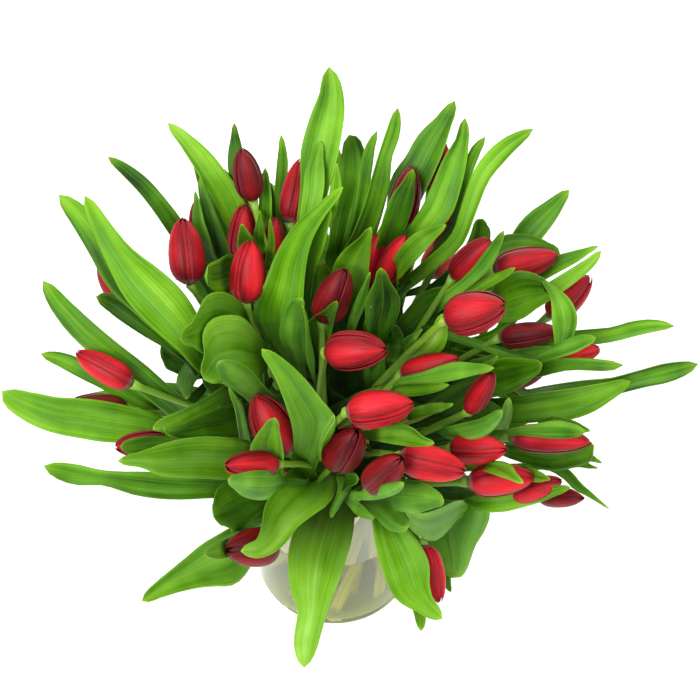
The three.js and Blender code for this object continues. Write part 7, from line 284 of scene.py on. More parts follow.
    (14, 3, -0.24, 0.15, 0, 7.1, 12.9, 236.8, -1.3, 0.1, 1.8, 1.1, 7.6, 232.6, -2.5, 0.1, 3.4, -6.8, -0.2, 227.3, -4, -0.2, 4.5, -13.2, -7.3, 219.1, 1.7, 5.2, 4.3, -25.8, -16, 240.9, 2.7, 8.9, 6.7, -38.4, -21.7, 257.3, 3.6, 11.9, 8.5, -51.1, -26.1, 271.6, 3.9, 13, 9.1, -63.5, -30.1, 285, 3.4, 11.5, 7.9, -74.8, -34.5, 298.5, 2.1, 7.2, 4.9, -83.7, -39.6, 312.2, 0.1, 0.3, 0.2),
    (14, 3, -0.24, 0.15, 0, 10.6, 11.2, 234.7, -2.1, 0.3, 0.7, 8.3, 6.2, 229.9, -4, 0.3, 1.2, 5.1, -3, 219.7, -5.7, 0.5, 1.7, 0.5, -11.2, 208.4, -6.4, 3.4, 3.7, -4.5, -22.7, 214.9, -10.7, 5.9, 5.8, -9.7, -32.7, 218.2, -14.3, 7.9, 7.5, -15.3, -42.4, 219.9, -15.3, 8.6, 7.8, -20.6, -51.6, 221.6, -12.5, 7.1, 6.3, -24.7, -59.9, 224.8, -7.1, 4.1, 3.5, -27.5, -66.9, 229.5, -0.3, 0.2, 0.1),
    (15, 3, -0.24, 0.15, 0, -3.6, -12.7, 236.3, -1.6, -0.9, -1.2, -1, -16.6, 235.6, -2.9, -2, -2.3, 6, -23.4, 233.5, -4, -3, -3.3, 14.3, -31.4, 230.7, -4.8, -4.9, -4.7, 21.9, -42.3, 239.2, -8, -8.5, -7.4, 29.7, -51.7, 244.4, -10.7, -11.4, -9.5, 38, -60.7, 248, -11.4, -12.4, -10, 46, -69, 251.3, -9.5, -10.3, -8.1, 52.3, -76.7, 255.7, -5.4, -6, -4.6, 56.7, -83.7, 261.8, -0.2, -0.3, -0.2),
    (9, 3, -0.25, 0.38, 0, 34.4, 20.9, 253, 1.6, -1.4, 0.5, 38.4, 25.3, 251.9, 2.2, -3.3, 1.3, 53.6, 31.5, 247.8, 2.5, -5, 2, 69.6, 36.9, 241.9, 3.7, -6.8, 2.8, 94.4, 50, 220.7, 5.4, -10, 4.1, 119.2, 63.1, 217.6, 6.3, -11.6, 4.8, 144, 76.2, 213, 6.6, -12, 4.9, 168.8, 89.3, 207.1, 5.7, -10.5, 4.3, 193.6, 102.3, 199.6, 3.6, -6.5, 2.7, 218.5, 115.3, 190.7, 0.2, -0.4, 0.2),
    (13, 3, -0.25, 0.38, 0, 33.7, -24.6, 244.6, 2.1, -0.5, -0.3, 37, -8.8, 244.7, 4, -1, -0.5, 44.5, 18.7, 241.9, 5.8, -1.1, -0.7, 47.5, 46.1, 243.2, 7.7, -7.4, -1.6, 73, 71.2, 247.8, 11.2, -10.8, -2.3, 97.9, 96.8, 255, 13, -12.5, -2.7, 122.3, 122.9, 261.4, 13.5, -13, -2.8, 146.2, 149.5, 267.2, 11.8, -11.4, -2.5, 169.7, 176.6, 272.3, 7.3, -7, -1.5, 192.7, 204.3, 276.8, 0.4, -0.4, -0.1),
    (9, 3, -0.25, 0.38, 0, 34.8, 24.7, 244.4, 1.9, 1.2, -0.1, 32.4, 28.7, 246.4, 4, -0.7, -0.9, 37.2, 37.3, 245.1, 5.1, -3, -1.1, 41.6, 45.5, 243.6, 6.6, -6.1, -1.5, 61.2, 68, 240.7, 9.7, -8.8, -2.1, 79.7, 91.6, 224.4, 11.2, -10.3, -2.5, 97.1, 116.1, 224.3, 11.6, -10.7, -2.6, 113.5, 141.6, 224.2, 10.2, -9.3, -2.3, 128.8, 168.2, 224, 6.3, -5.8, -1.4, 142.9, 195.7, 223.9, 0.4, -0.3, -0.1),
    (15, 3, -0.25, 0.38, 0, -9.8, -14.6, 262.2, 2.1, -0.4, 0.2, -5.7, 3.1, 258.3, 3.8, -1.7, 0.7, 12.7, 30.3, 252.2, 4.8, -3.4, 1.2, 35.5, 55.6, 243.2, 6.6, -3.8, 1.4, 52.2, 80.8, 240.2, 9.5, -5.5, 2, 69.9, 105.2, 193.8, 11.1, -6.4, 2.3, 88.6, 129.1, 184.5, 11.5, -6.7, 2.4, 108.3, 152.3, 174.3, 10.1, -5.8, 2.1, 129, 174.9, 163.1, 6.3, -3.6, 1.3, 150.7, 196.8, 151.1, 0.4, -0.2, 0.1),
    (10, 3, -0.25, 0.38, 0, -1.1, 38.1, 251.4, 1.7, -0.7, 1.2, -3, 40.3, 255.5, 3.2, -2.2, 1.4, 7.1, 52.8, 255.9, 4.4, -3.5, 2, 15.4, 64.1, 256.8, 8.3, -3.9, 3.8, 23.1, 93.1, 270.4, 12.1, -5.6, 5.5, 32.4, 121.7, 282.3, 14, -6.5, 6.4, 43.2, 150, 292.4, 14.5, -6.8, 6.6, 55.6, 177.9, 300.9, 12.7, -5.9, 5.8, 69.4, 205.4, 307.6, 7.9, -3.7, 3.6, 84.8, 232.6, 312.5, 0.5, -0.2, 0.2),
    (10, 3, -0.25, 0.38, 0, -10, 44.3, 252.9, 1.3, -1.8, -0.2, -7.4, 46, 253, 3.3, -2.5, -0.6, 1.8, 60.9, 247.8, 5, -3.2, -0.9, 9.5, 75.6, 242.2, 8.8, -2.1, -4.1, 13.3, 111.5, 197.7, 12.8, -3, -5.9, 15.8, 147.5, 188.3, 14.8, -3.5, -6.9, 17.1, 183.7, 178.5, 15.4, -3.7, -7.1, 17, 220.1, 168.3, 13.5, -3.2, -6.2, 15.6, 256.6, 157.7, 8.4, -2, -3.9, 12.8, 293.3, 146.7, 0.5, -0.1, -0.2),
    (9, 3, -0.25, 0.38, 0, 28.3, 17.3, 236, 1.8, 0.8, 0.9, 22, 29.3, 237.4, 3.3, 1.8, 1.8, 8.6, 49.9, 240.3, 4.8, 2.4, 2.6, -2.5, 72.9, 242.5, 8.2, -0.3, 3.5, -4, 101.5, 241.2, 11.9, -0.4, 5.1, -6.5, 130.1, 244.8, 13.8, -0.5, 6, -9.9, 158.6, 247.6, 14.3, -0.5, 6.2, -14.3, 187.1, 249.7, 12.5, -0.5, 5.4, -19.7, 215.6, 251, 7.8, -0.3, 3.4, -26.1, 244, 251.6, 0.4, 0, 0.2),
    (10, 3, -0.25, 0.38, 0, -14.6, 38.8, 246.9, 2.2, -0.2, -0.1, -14.1, 45.4, 246.5, 4.2, -0.4, -0.2, -12.7, 60.5, 244.6, 5.9, -0.7, -0.3, -10.4, 77.1, 242, 9.9, 1.3, -1.3, -16.1, 113.6, 222.9, 14.4, 1.9, -1.9, -23, 150, 221.9, 16.7, 2.2, -2.2, -31.3, 186.1, 220.7, 17.3, 2.3, -2.3, -41, 222.1, 219.3, 15.2, 2, -2, -51.9, 257.9, 217.6, 9.4, 1.3, -1.3, -64.2, 293.6, 215.7, 0.5, 0.1, -0.1),
    (10, 3, -0.25, 0.38, 0, -11.4, 44.4, 252.1, 0.6, 2, 0.5, -12.7, 44.6, 253, 4.1, 0.7, 0.4, -12.6, 55.2, 247.8, 5.9, 0.2, 0.9, -11.7, 65.9, 243.1, 8.7, 1.6, 0.3, -18.1, 97.5, 202.4, 12.6, 2.4, 0.5, -26, 128.8, 193.9, 14.7, 2.7, 0.6, -35.4, 159.8, 184.4, 15.2, 2.8, 0.6, -46.4, 190.5, 174.1, 13.3, 2.5, 0.5, -58.9, 221, 162.9, 8.3, 1.5, 0.3, -72.9, 251.2, 150.8, 0.5, 0.1, 0),
    (10, 3, -0.25, 0.38, 0, -13.9, 37.4, 247.1, 2, 0.8, 0.6, -15.5, 39.3, 249.7, 3.9, 1.3, 1, -18.5, 46.6, 253.3, 5.7, 1.4, 1.2, -20.6, 53.9, 257, 9.3, 2.4, 2, -31.7, 81.3, 273, 13.5, 3.4, 2.9, -43.8, 108.3, 287.9, 15.7, 4, 3.4, -56.9, 134.9, 301.8, 16.3, 4.2, 3.5, -71, 161.1, 314.8, 14.3, 3.6, 3.1, -86.2, 186.9, 326.8, 8.9, 2.3, 1.9, -102.4, 212.3, 337.8, 0.5, 0.1, 0.1),
    (11, 3, -0.25, 0.38, 0, -32.8, 3.8, 236.3, 2.2, -0.4, -0.2, -31.1, 12.2, 237.6, 4.2, -0.4, -0.3, -29.6, 35.5, 241.4, 6, -0.5, -0.5, -26.9, 57.1, 243.5, 8.3, 4, -0.6, -39.4, 82.5, 240.7, 12, 5.8, -0.8, -53.1, 107.3, 240.1, 14, 6.7, -1, -67.8, 131.7, 244, 14.5, 7, -1, -83.7, 155.5, 248.1, 12.7, 6.1, -0.9, -100.5, 178.9, 252.4, 7.9, 3.8, -0.6, -118.5, 201.7, 256.9, 0.5, 0.2, 0),
    (10, 3, -0.25, 0.38, 0, -2.3, 38.3, 252.1, 0.5, 2, 0.9, -11.2, 37.6, 258.2, 1.5, 3.7, 1.3, -22.1, 41.4, 265.7, 2.9, 5.1, 1.3, -31.8, 45.5, 272.9, 8.5, 6.8, -0.8, -46.2, 66.4, 294.9, 12.4, 9.9, -1.2, -60.3, 87.4, 316.9, 14.4, 11.5, -1.4, -74.1, 108.7, 338.9, 14.9, 11.9, -1.5, -87.6, 130.2, 361, 13, 10.5, -1.3, -100.9, 151.9, 383.2, 8.1, 6.5, -0.8, -113.9, 173.8, 405.4, 0.5, 0.4, 0),
    (14, 3, -0.25, 0.38, 0, 14, 1.5, 262.8, 0.7, 2, -0.4, -10.5, 10.6, 264.6, 2, 3.6, -0.7, -35.1, 26.4, 254.7, 3.8, 4.6, -0.7, -58.2, 46.5, 242.3, 6.4, 8.1, -1.3, -86.3, 69.7, 229.7, 9.3, 11.7, -1.9, -113.6, 93.7, 230.6, 10.8, 13.6, -2.2, -140.1, 118.7, 230.8, 11.1, 14.1, -2.2, -166, 144.5, 230.6, 9.8, 12.4, -2, -191.1, 171.3, 229.8, 6.1, 7.7, -1.2, -215.4, 199, 228.5, 0.3, 0.4, -0.1),
    (11, 3, -0.25, 0.38, 0, -33.8, 4.6, 246.4, 1.8, 1.1, -0.6, -37.8, 10.8, 245.4, 3.8, 1.4, -1.1, -43.2, 28.3, 243.1, 5.6, 1.5, -1.5, -48.5, 47.9, 243, 5.2, 4.9, -2, -69.8, 68.3, 240, 7.6, 7.1, -2.9, -91.7, 88.1, 201.8, 8.9, 8.2, -3.4, -114.2, 107.2, 193.6, 9.2, 8.5, -3.5, -137.3, 125.8, 184.1, 8.1, 7.4, -3.1, -161.1, 143.6, 173.1, 5, 4.6, -1.9, -185.4, 160.9, 160.8, 0.3, 0.3, -0.1),
    (11, 3, -0.25, 0.38, 0, -42.4, 6.6, 244.1, 1.1, 1.9, -0.3, -44.1, 8.5, 248.8, 2.4, 3.2, -1.2, -54.6, 19.3, 253.1, 3.8, 4.2, -1.9, -63.4, 29.8, 257, 2.8, 7.6, -1.5, -86.4, 41.3, 268.5, 4.1, 11, -2.2, -108.9, 54.1, 279.5, 4.7, 12.8, -2.5, -130.8, 68, 290, 4.9, 13.3, -2.6, -152.2, 83.2, 300.1, 4.3, 11.6, -2.3, -173, 99.5, 309.6, 2.7, 7.2, -1.4, -193.2, 117.1, 318.7, 0.2, 0.4, -0.1),
    (11, 3, -0.25, 0.38, 0, -37.8, 6.4, 236.9, 1, 1.8, 0.9, -40.9, 8, 237.2, 3.2, 2.4, 1.4, -47.6, 17.3, 240.3, 4.8, 3.1, 1.9, -54.8, 25.5, 243.8, 3.5, 9.5, 4.2, -84.8, 38.7, 240.5, 5, 13.9, 6.1, -115.4, 50.7, 195.8, 5.8, 16.1, 7.1, -146.5, 61.5, 185.6, 6.1, 16.7, 7.4, -178.2, 71.1, 174, 5.3, 14.6, 6.4, -210.4, 79.4, 161.1, 3.3, 9.1, 4, -243.2, 86.6, 146.9, 0.2, 0.5, 0.2),
    (5, 3, -0.25, 0.38, 0, -52.2, -31.4, 233.9, 1.9, 0, 1.1, -55.4, -24.6, 239.6, 3.2, 0.8, 2.6, -67.8, -7.1, 246, 3.8, 2.3, 4, -78.8, 10, 241.9, 0.8, 8.1, 4.4, -108, 13.8, 219.4, 1.2, 11.8, 6.4, -137.2, 17.8, 216.7, 1.4, 13.7, 7.5, -166.4, 22, 213.2, 1.4, 14.2, 7.8, -195.6, 26.4, 209, 1.3, 12.4, 6.8, -224.7, 31, 203.9, 0.8, 7.7, 4.2, -253.8, 35.8, 198, 0, 0.4, 0.2),
    (12, 3, -0.25, 0.38, 0, -11.5, -31.1, 238.3, 0.7, 1.8, -1, -26.6, -24.5, 239, 1.4, 3.5, -1.9, -52.6, -13.4, 240.9, 2.1, 4.9, -2.7, -77.2, -1.1, 242.1, -0.8, 9.5, -4.5, -108.2, -1.2, 240.5, -1.1, 13.8, -6.6, -139.2, -0.6, 244.8, -1.3, 16, -7.6, -170.2, 0.6, 248.9, -1.4, 16.6, -7.9, -201.2, 2.6, 253, -1.2, 14.5, -6.9, -232.2, 5.2, 256.9, -0.7, 9, -4.3, -263.2, 8.6, 260.8, 0, 0.5, -0.2),
    (9, 3, -0.25, 0.38, 0, 30.9, 22, 235.3, 1.7, 1.2, -0.8, 26.2, 30.6, 238, 3.4, 2, -1.5, 18.3, 46.4, 239.9, 4.9, 2.7, -2.2, 9.6, 64.2, 243.3, 10.3, -1.6, -4.3, 13.3, 92.4, 240.5, 15, -2.3, -6.3, 15.9, 120.8, 221.7, 17.5, -2.7, -7.3, 17.5, 149.3, 218.4, 18.1, -2.8, -7.5, 18, 178, 213.9, 15.9, -2.4, -6.6, 17.5, 206.8, 208.1, 9.8, -1.5, -4.1, 15.9, 235.8, 201.1, 0.6, -0.1, -0.2),
    (14, 3, -0.25, 0.38, 0, 16.3, 22.1, 264, 1.6, 1, 1.1, 11.2, 28, 266.2, 3.7, 0.7, 1.8, 9.9, 49.9, 267.2, 5.4, 0.4, 2.5, 7.1, 72.7, 268.1, 7, -2.2, 2.5, 8.9, 97.4, 282.7, 10.2, -3.1, 3.6, 9.5, 122.3, 297.4, 11.9, -3.6, 4.2, 9, 147.2, 312.2, 12.3, -3.8, 4.4, 7.3, 172.2, 327.1, 10.8, -3.3, 3.8, 4.5, 197.4, 342.1, 6.7, -2, 2.4, 0.5, 222.7, 357.1, 0.4, -0.1, 0.1),
    (14, 3, -0.25, 0.38, 0, 9.6, 15.9, 244.7, 0.2, 2.2, 0.2, -1.9, 16.6, 250.8, 1.2, 4, 0, -21.5, 25, 253.7, 2.6, 5.4, -0.2, -39.4, 34.6, 258.2, 6, 7.9, -1.1, -58.5, 52.3, 274.4, 8.8, 11.6, -1.6, -76.7, 71.2, 289.9, 10.2, 13.4, -1.9, -93.9, 91.1, 304.7, 10.6, 13.9, -1.9, -110.2, 112.1, 318.8, 9.3, 12.2, -1.7, -125.5, 134.2, 332.2, 5.8, 7.6, -1.1, -139.9, 157.3, 345, 0.3, 0.4, -0.1),
]

# ---- small helpers ----


def unit(v):
    n = np.linalg.norm(v, axis=-1, keepdims=True)
    return v / np.where(n < 1e-9, 1.0, n)


def catmull(points, params, at):
    """Smooth curve through the rows of points, which sit at params, read at the values of at."""
    p = np.asarray(points, float)
    t = np.asarray(params, float)
    m = np.zeros_like(p)
    m[1:-1] = (p[2:] - p[:-2]) / (t[2:] - t[:-2])[:, None]
    m[0] = (p[1] - p[0]) / (t[1] - t[0])
    m[-1] = (p[-1] - p[-2]) / (t[-1] - t[-2])
    out = []
    for x in at:
        i = min(max(int(np.searchsorted(t, x)) - 1, 0), len(t) - 2)
        h = t[i + 1] - t[i]
        u = (x - t[i]) / h
        out.append((2 * u**3 - 3 * u**2 + 1) * p[i] + (u**3 - 2 * u**2 + u) * h * m[i]
                   + (-2 * u**3 + 3 * u**2) * p[i + 1] + (u**3 - u**2) * h * m[i + 1])
    return np.array(out)


def lengths(p):
    return np.concatenate([[0.0], np.cumsum(np.linalg.norm(np.diff(p, axis=0), axis=1))])


class Builder:
    """Collects closed pieces into one mesh, with a colour attribute of four numbers per point."""

    def __init__(self):
        self.v, self.f, self.a = [], [], []

    def add(self, verts, faces, data):
        n = len(self.v)
        self.v.extend((np.asarray(verts, float) * MM).tolist())
        self.f.extend([tuple(i + n for i in face) for face in faces])
        self.a.extend(np.asarray(data, float).tolist())

    def make(self, name, material, nodes, smooth=True):
        mesh = bpy.data.meshes.new(name)
        mesh.from_pydata(self.v, [], self.f)
        mesh.validate()
        layer = mesh.attributes.new("grow", "FLOAT_COLOR", "POINT")
        layer.data.foreach_set("color", np.asarray(self.a, np.float32).ravel())
        if smooth:
            mesh.polygons.foreach_set("use_smooth", [True] * len(mesh.polygons))
        mesh.materials.append(material)
        mesh.update()
        obj = bpy.data.objects.new(name, mesh)
        bpy.context.scene.collection.objects.link(obj)
        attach(obj, "root")
        if nodes:
            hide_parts(*nodes)
        return obj


def sheet_faces(rows, cols, flip):
    """Quads of a rows x cols grid of points, then of its twin below it, closed round the rim."""
    faces = []
    top = lambda r, c: r * cols + c
    low = lambda r, c: rows * cols + r * cols + c
    for r in range(rows - 1):
        for c in range(cols - 1):
            q = (top(r, c), top(r, c + 1), top(r + 1, c + 1), top(r + 1, c))
            w = (low(r, c), low(r + 1, c), low(r + 1, c + 1), low(r, c + 1))
            faces += [q, w]
    for r in range(rows - 1):
        faces.append((top(r, 0), top(r + 1, 0), low(r + 1, 0), low(r, 0)))
        faces.append((top(r + 1, cols - 1), top(r, cols - 1), low(r, cols - 1), low(r + 1, cols - 1)))
    for c in range(cols - 1):
        faces.append((top(0, c + 1), top(0, c), low(0, c), low(0, c + 1)))
        faces.append((top(rows - 1, c), top(rows - 1, c + 1), low(rows - 1, c + 1), low(rows - 1, c)))
    return [tuple(reversed(f)) for f in faces] if flip else faces


# ---- leaves ----


def leaf_piece(builder, row, rng):
    necks, cup, tone, back = row[1], row[2], row[3] + rng.uniform(-0.06, 0.06), row[4]
    table = np.array(row[5:], float).reshape(-1, 6)
    centre, half = table[:, :3], table[:, 3:]
    t = lengths(centre)
    t_blade = t[necks]
    steps = np.linspace(0, 1, LEAF_STEPS)
    at = t[-1] * (1 - (1 - steps) ** 1.12)
    c = catmull(centre, t, at)
    # width and its direction are carried apart, so that the blade keeps its breadth where it turns
    w_known = np.linalg.norm(half, axis=1)
    w = np.maximum(np.interp(at, t, w_known), catmull(w_known[:, None], t, at)[:, 0] * 0.995)
    w = np.where(at > t[-2], w_known[-2] * np.sqrt(np.clip(1 - ((at - t[-2]) / (t[-1] - t[-2])) ** 1.5, 0, 1)) * 0.9
                 + 0.1 * w, w)
    w = np.maximum(w, 0.35)
    d = unit(catmull(unit(half), t, at))
    run = np.gradient(c, axis=0)
    run = unit(run)
    d = unit(d - run * (d * run).sum(1)[:, None])
    n = np.cross(d, run)
    blade = np.clip((at - t_blade * 0.6) / max(t_blade * 0.4, 4.0), 0, 1)
    blade = blade * blade * (3 - 2 * blade)
    sign = 1.0 if cup >= 0 else -1.0
    depth = np.abs(cup) * w * blade + 0.30 * w * (1 - blade)
    wave_n = rng.uniform(1.2, 2.6, 2)
    wave_p = rng.uniform(0, 6.28, 2)
    wave_a = rng.uniform(0.04, 0.11)
    x = np.linspace(-1, 1, LEAF_ACROSS)
    x = np.sign(x) * np.abs(x) ** 0.9
    s = at / t[-1]
    grid = np.zeros((LEAF_STEPS, LEAF_ACROSS, 3))
    thick = np.zeros((LEAF_STEPS, LEAF_ACROSS))
    data = np.zeros((LEAF_STEPS, LEAF_ACROSS, 4))
    for j, xx in enumerate(x):
        fold = depth * (1 - abs(xx) ** 1.45)
        k = 0 if xx < 0 else 1
        edge = wave_a * w * blade * np.sin(6.28 * wave_n[k] * s + wave_p[k]) * abs(xx) ** 2.5
        grid[:, j] = c + d * (w * xx)[:, None] + n * ((sign * fold) + edge)[:, None]
        thick[:, j] = (0.22 + 0.33 * (1 - abs(xx)) ** 0.7) * blade + (1 - blade) * (0.45 + 0.6 * (1 - abs(xx)))
        data[:, j] = np.stack([np.full_like(s, (xx + 1) / 2), s, np.full_like(s, tone), np.zeros_like(s)], 1)
    thick *= np.clip((1 - s) * 12 + 0.35, 0, 1)[:, None]
    du = np.gradient(grid, axis=0)
    dv = np.gradient(grid, axis=1)
    nn = unit(np.cross(dv, du))
    top, low = grid + nn * thick[..., None], grid - nn * thick[..., None]
    # the hollow side is the upper face of a leaf; the rounded side is its blue-green back
    data_top, data_low = data.copy(), data.copy()
    if sign > 0:
        data_top[..., 3] = 1.0
    else:
        data_low[..., 3] = 1.0
    verts = np.concatenate([top.reshape(-1, 3), low.reshape(-1, 3)])
    info = np.concatenate([data_top.reshape(-1, 4), data_low.reshape(-1, 4)])
    builder.add(verts, sheet_faces(LEAF_STEPS, LEAF_ACROSS, True), info)


# ---- stems ----


def stem_piece(builder, row, rng):
    p = np.array(row, float).reshape(-1, 3)
    t = lengths(p)
    steps = 46
    at = np.linspace(0, t[-1], steps)
    c = catmull(p, t, at)
    run = unit(np.gradient(c, axis=0))
    side = np.array([1.0, 0, 0])
    sides = 12
    verts, data = [], []
    s = at / t[-1]
    wob = rng.uniform(0, 6.28)
    cut = rng.uniform(0.15, 0.5)
    for i in range(steps):
        side = unit(side - run[i] * (side @ run[i]))
        up = np.cross(run[i], side)
        r = STEM_RADIUS + (NECK_RADIUS - STEM_RADIUS) * s[i] ** 2 + 0.12 * math.sin(9 * s[i] + wob)
        from_top = t[-1] - at[i]
        if from_top < 5:
            r += 1.5 * (1 - from_top / 5) ** 2
        for k in range(sides):
            a = 2 * math.pi * k / sides
            slant = cut * r * math.cos(a) if i == 0 else 0.0
            verts.append(c[i] + side * r * math.cos(a) + up * r * math.sin(a) + run[i] * slant)
            data.append((k / sides, s[i], 0.5, c[i][2] / 500.0))
    faces = []
    for i in range(steps - 1):
        for k in range(sides):
            j = (k + 1) % sides
            faces.append((i * sides + k, i * sides + j, (i + 1) * sides + j, (i + 1) * sides + k))
    faces.append(tuple(reversed(range(sides))))
    faces.append(tuple((steps - 1) * sides + k for k in range(sides)))
    builder.add(verts, faces, data)


# ---- flowers ----

BUD = np.array([[0.0, 0.30], [0.05, 0.60], [0.12, 0.82], [0.22, 0.96], [0.34, 1.0], [0.48, 0.985], [0.62, 0.91],
                [0.74, 0.79], [0.84, 0.63], [0.91, 0.47], [0.96, 0.31], [1.0, 0.11]])
SPAN = np.array([[0.0, 44], [0.12, 49], [0.3, 53], [0.5, 53], [0.7, 51], [0.82, 47], [0.9, 42], [0.96, 30], [1.0, 8]])


def petal(builder, base, axis, side, up, length, radius, turn, inner, tone, rng):
    rows, cols = PETAL_STEPS, PETAL_ACROSS
    v = 1 - (1 - np.linspace(0, 1, rows)) ** 1.25
    x = np.linspace(-1, 1, cols)
    reach = rng.uniform(0.965, 1.0) * (0.985 if inner else 1.0)
    squeeze = rng.uniform(0.97, 1.03)
    lean = rng.uniform(-0.05, 0.05)
    flick = rng.uniform(-0.03, 0.04)
    shrink = 0.87 if inner else 1.0
    # painted shade: inner petals, half hidden under the outer ones, get a darker tone
    tone = tone - 0.26 if inner else tone
    span = np.radians(np.interp(v, SPAN[:, 0], SPAN[:, 1])) * (1.1 if inner else 1.0)
    prof = np.interp(v, BUD[:, 0], BUD[:, 1]) * radius * shrink * squeeze
    prof = np.maximum(prof + flick * radius * np.clip((v - 0.82) / 0.18, 0, 1) ** 2, 0.8)
    grid = np.zeros((rows, cols, 3))
    data = np.zeros((rows, cols, 4))
    for j, xx in enumerate(x):
        a = turn + span * xx + lean * v
        # each petal is more strongly rounded than the bud, so that a groove shows where two meet
        r = prof * (1.0 - 0.055 * abs(xx) ** 2.2 + 0.025 * (1 - abs(xx)) ** 3 * np.clip(1 - v, 0, 1))
        h = v * length * reach - 0.012 * length * abs(xx) ** 2 * np.clip(v, 0, 1)
        grid[:, j] = base + axis * h[:, None] + (side * np.cos(a)[:, None] + up * np.sin(a)[:, None]) * r[:, None]
        data[:, j] = np.stack([np.full(rows, (xx + 1) / 2), v, np.full(rows, tone), np.zeros(rows)], 1)
    du = np.gradient(grid, axis=0)
    dv = np.gradient(grid, axis=1)
    nn = unit(np.cross(dv, du))
    out = grid - (base + axis * (0.45 * length))
    out = out - axis * (out @ axis)[..., None]
    nn *= np.where((nn * out).sum(-1, keepdims=True) < 0, -1.0, 1.0)
    thick = (0.55 - 0.25 * np.abs(x) ** 2)[None, :, None] * np.clip((1.02 - v) * 8 + 0.3, 0, 1)[:, None, None]
    low = grid - nn * thick
    inside = data.copy()
    inside[..., 3] = 1.0
    verts = np.concatenate([grid.reshape(-1, 3), low.reshape(-1, 3)])
    info = np.concatenate([data.reshape(-1, 4), inside.reshape(-1, 4)])
    q = np.cross(grid[1, 1] - grid[0, 0], grid[1, 0] - grid[0, 1])
    builder.add(verts, sheet_faces(rows, cols, bool(q @ out[0, 0] < 0)), info)


def flower_piece(row, number, rng, material):
    base, axis = np.array(row[1:4], float), unit(np.array(row[4:7], float))
    length, radius, turn, tone = row[7], row[8], math.radians(row[9]), row[10] + rng.uniform(-0.05, 0.05)
    helper = np.array([1.0, 0, 0]) if abs(axis[2]) > 0.9 else np.array([0, 0, 1.0])
    side = unit(np.cross(axis, helper))
    up = np.cross(axis, side)
    b = Builder()
    for k in range(3):
        a = turn + 2 * math.pi * k / 3
        petal(b, base, axis, side, up, length, radius, a, False, tone, rng)
        petal(b, base, axis, side, up, length, radius, a + math.pi / 3, True, tone, rng)
    return b.make("tulip_%02d_petals" % number, material, ["tulip_%02d_flower" % number])


def turned(name, profile, sides, material, node):
    """A closed body turned about Z from (radius, height) points that start and end on the axis."""
    b = Builder()
    verts, faces = [], []
    for r, z in profile:
        if r == 0:
            verts.append((0.0, 0.0, z))
        else:
            verts += [(r * math.cos(2 * math.pi * k / sides), r * math.sin(2 * math.pi * k / sides), z) for k in range(sides)]
    start, i = [], 0
    for r, z in profile:
        start.append(i)
        i += 1 if r == 0 else sides
    for a in range(len(profile) - 1):
        p, q = start[a], start[a + 1]
        for k in range(sides):
            j = (k + 1) % sides
            if profile[a][0] == 0:
                faces.append((p, q + j, q + k))
            elif profile[a + 1][0] == 0:
                faces.append((p + k, p + j, q))
            else:
                faces.append((p + k, p + j, q + j, q + k))
    b.add(verts, faces, [(0.5, v[2] / VASE_HEIGHT, 0.5, 0.0) for v in verts])
    return b.make(name, material, [node])


# ---- materials ----


def nodes_of(name):
    m = bpy.data.materials.new(name)
    m.use_nodes = True
    nt = m.node_tree
    return m, nt, nt.nodes["Principled BSDF"]


def add(nt, kind, **values):
    n = nt.nodes.new(kind)
    for k, v in values.items():
        if k.startswith("in_"):
            n.inputs[int(k[3:])].default_value = v
        else:
            setattr(n, k, v)
    return n


def math_node(nt, op, a, b=None, c=None, clamp=False):
    n = nt.nodes.new("ShaderNodeMath")
    n.operation = op
    n.use_clamp = clamp
    for i, x in enumerate((a, b, c)):
        if x is None:
            continue
        if isinstance(x, (int, float)):
            n.inputs[i].default_value = x
        else:
            nt.links.new(x, n.inputs[i])
    return n.outputs[0]


def mix(nt, fac, a, b, mode="MIX"):
    n = nt.nodes.new("ShaderNodeMix")
    n.data_type = "RGBA"
    n.blend_type = mode
    n.clamp_factor = True
    for sock, x in ((n.inputs[0], fac), (n.inputs[6], a), (n.inputs[7], b)):
        if isinstance(x, (int, float)):
            sock.default_value = x
        elif isinstance(x, tuple):
            sock.default_value = x
        else:
            nt.links.new(x, sock)
    return n.outputs[2]


def ramp(nt, fac, stops, interpolation="LINEAR"):
    n = nt.nodes.new("ShaderNodeValToRGB")
    cr = n.color_ramp
    cr.interpolation = interpolation
    while len(cr.elements) > 1:
        cr.elements.remove(cr.elements[-1])
    cr.elements[0].position, cr.elements[0].color = stops[0][0], stops[0][1]
    for pos, col in stops[1:]:
        e = cr.elements.new(pos)
        e.color = col
    nt.links.new(fac, n.inputs[0])
    return n.outputs[0]


def srgb(h, k=1.0):
    c = [int(h[i:i + 2], 16) / 255 for i in (1, 3, 5)]
    lin = [x / 12.92 if x <= 0.04045 else ((x + 0.055) / 1.055) ** 2.4 for x in c]
    return (lin[0] * k, lin[1] * k, lin[2] * k, 1.0)


def grow_data(nt):
    a = add(nt, "ShaderNodeAttribute", attribute_name="grow")
    sep = nt.nodes.new("ShaderNodeSeparateColor")
    nt.links.new(a.outputs["Color"], sep.inputs[0])
    return sep.outputs[0], sep.outputs[1], sep.outputs[2], a.outputs["Alpha"]


def stretched_noise(nt, x, y, z, sx, sy, sz, scale, detail=3.0, rough=0.55):
    comb = nt.nodes.new("ShaderNodeCombineXYZ")
    for i, (val, s) in enumerate(((x, sx), (y, sy), (z, sz))):
        nt.links.new(math_node(nt, "MULTIPLY", val, s), comb.inputs[i])
    n = add(nt, "ShaderNodeTexNoise")
    n.inputs["Scale"].default_value = scale
    n.inputs["Detail"].default_value = detail
    n.inputs["Roughness"].default_value = rough
    nt.links.new(comb.outputs[0], n.inputs["Vector"])
    return n.outputs["Fac"]


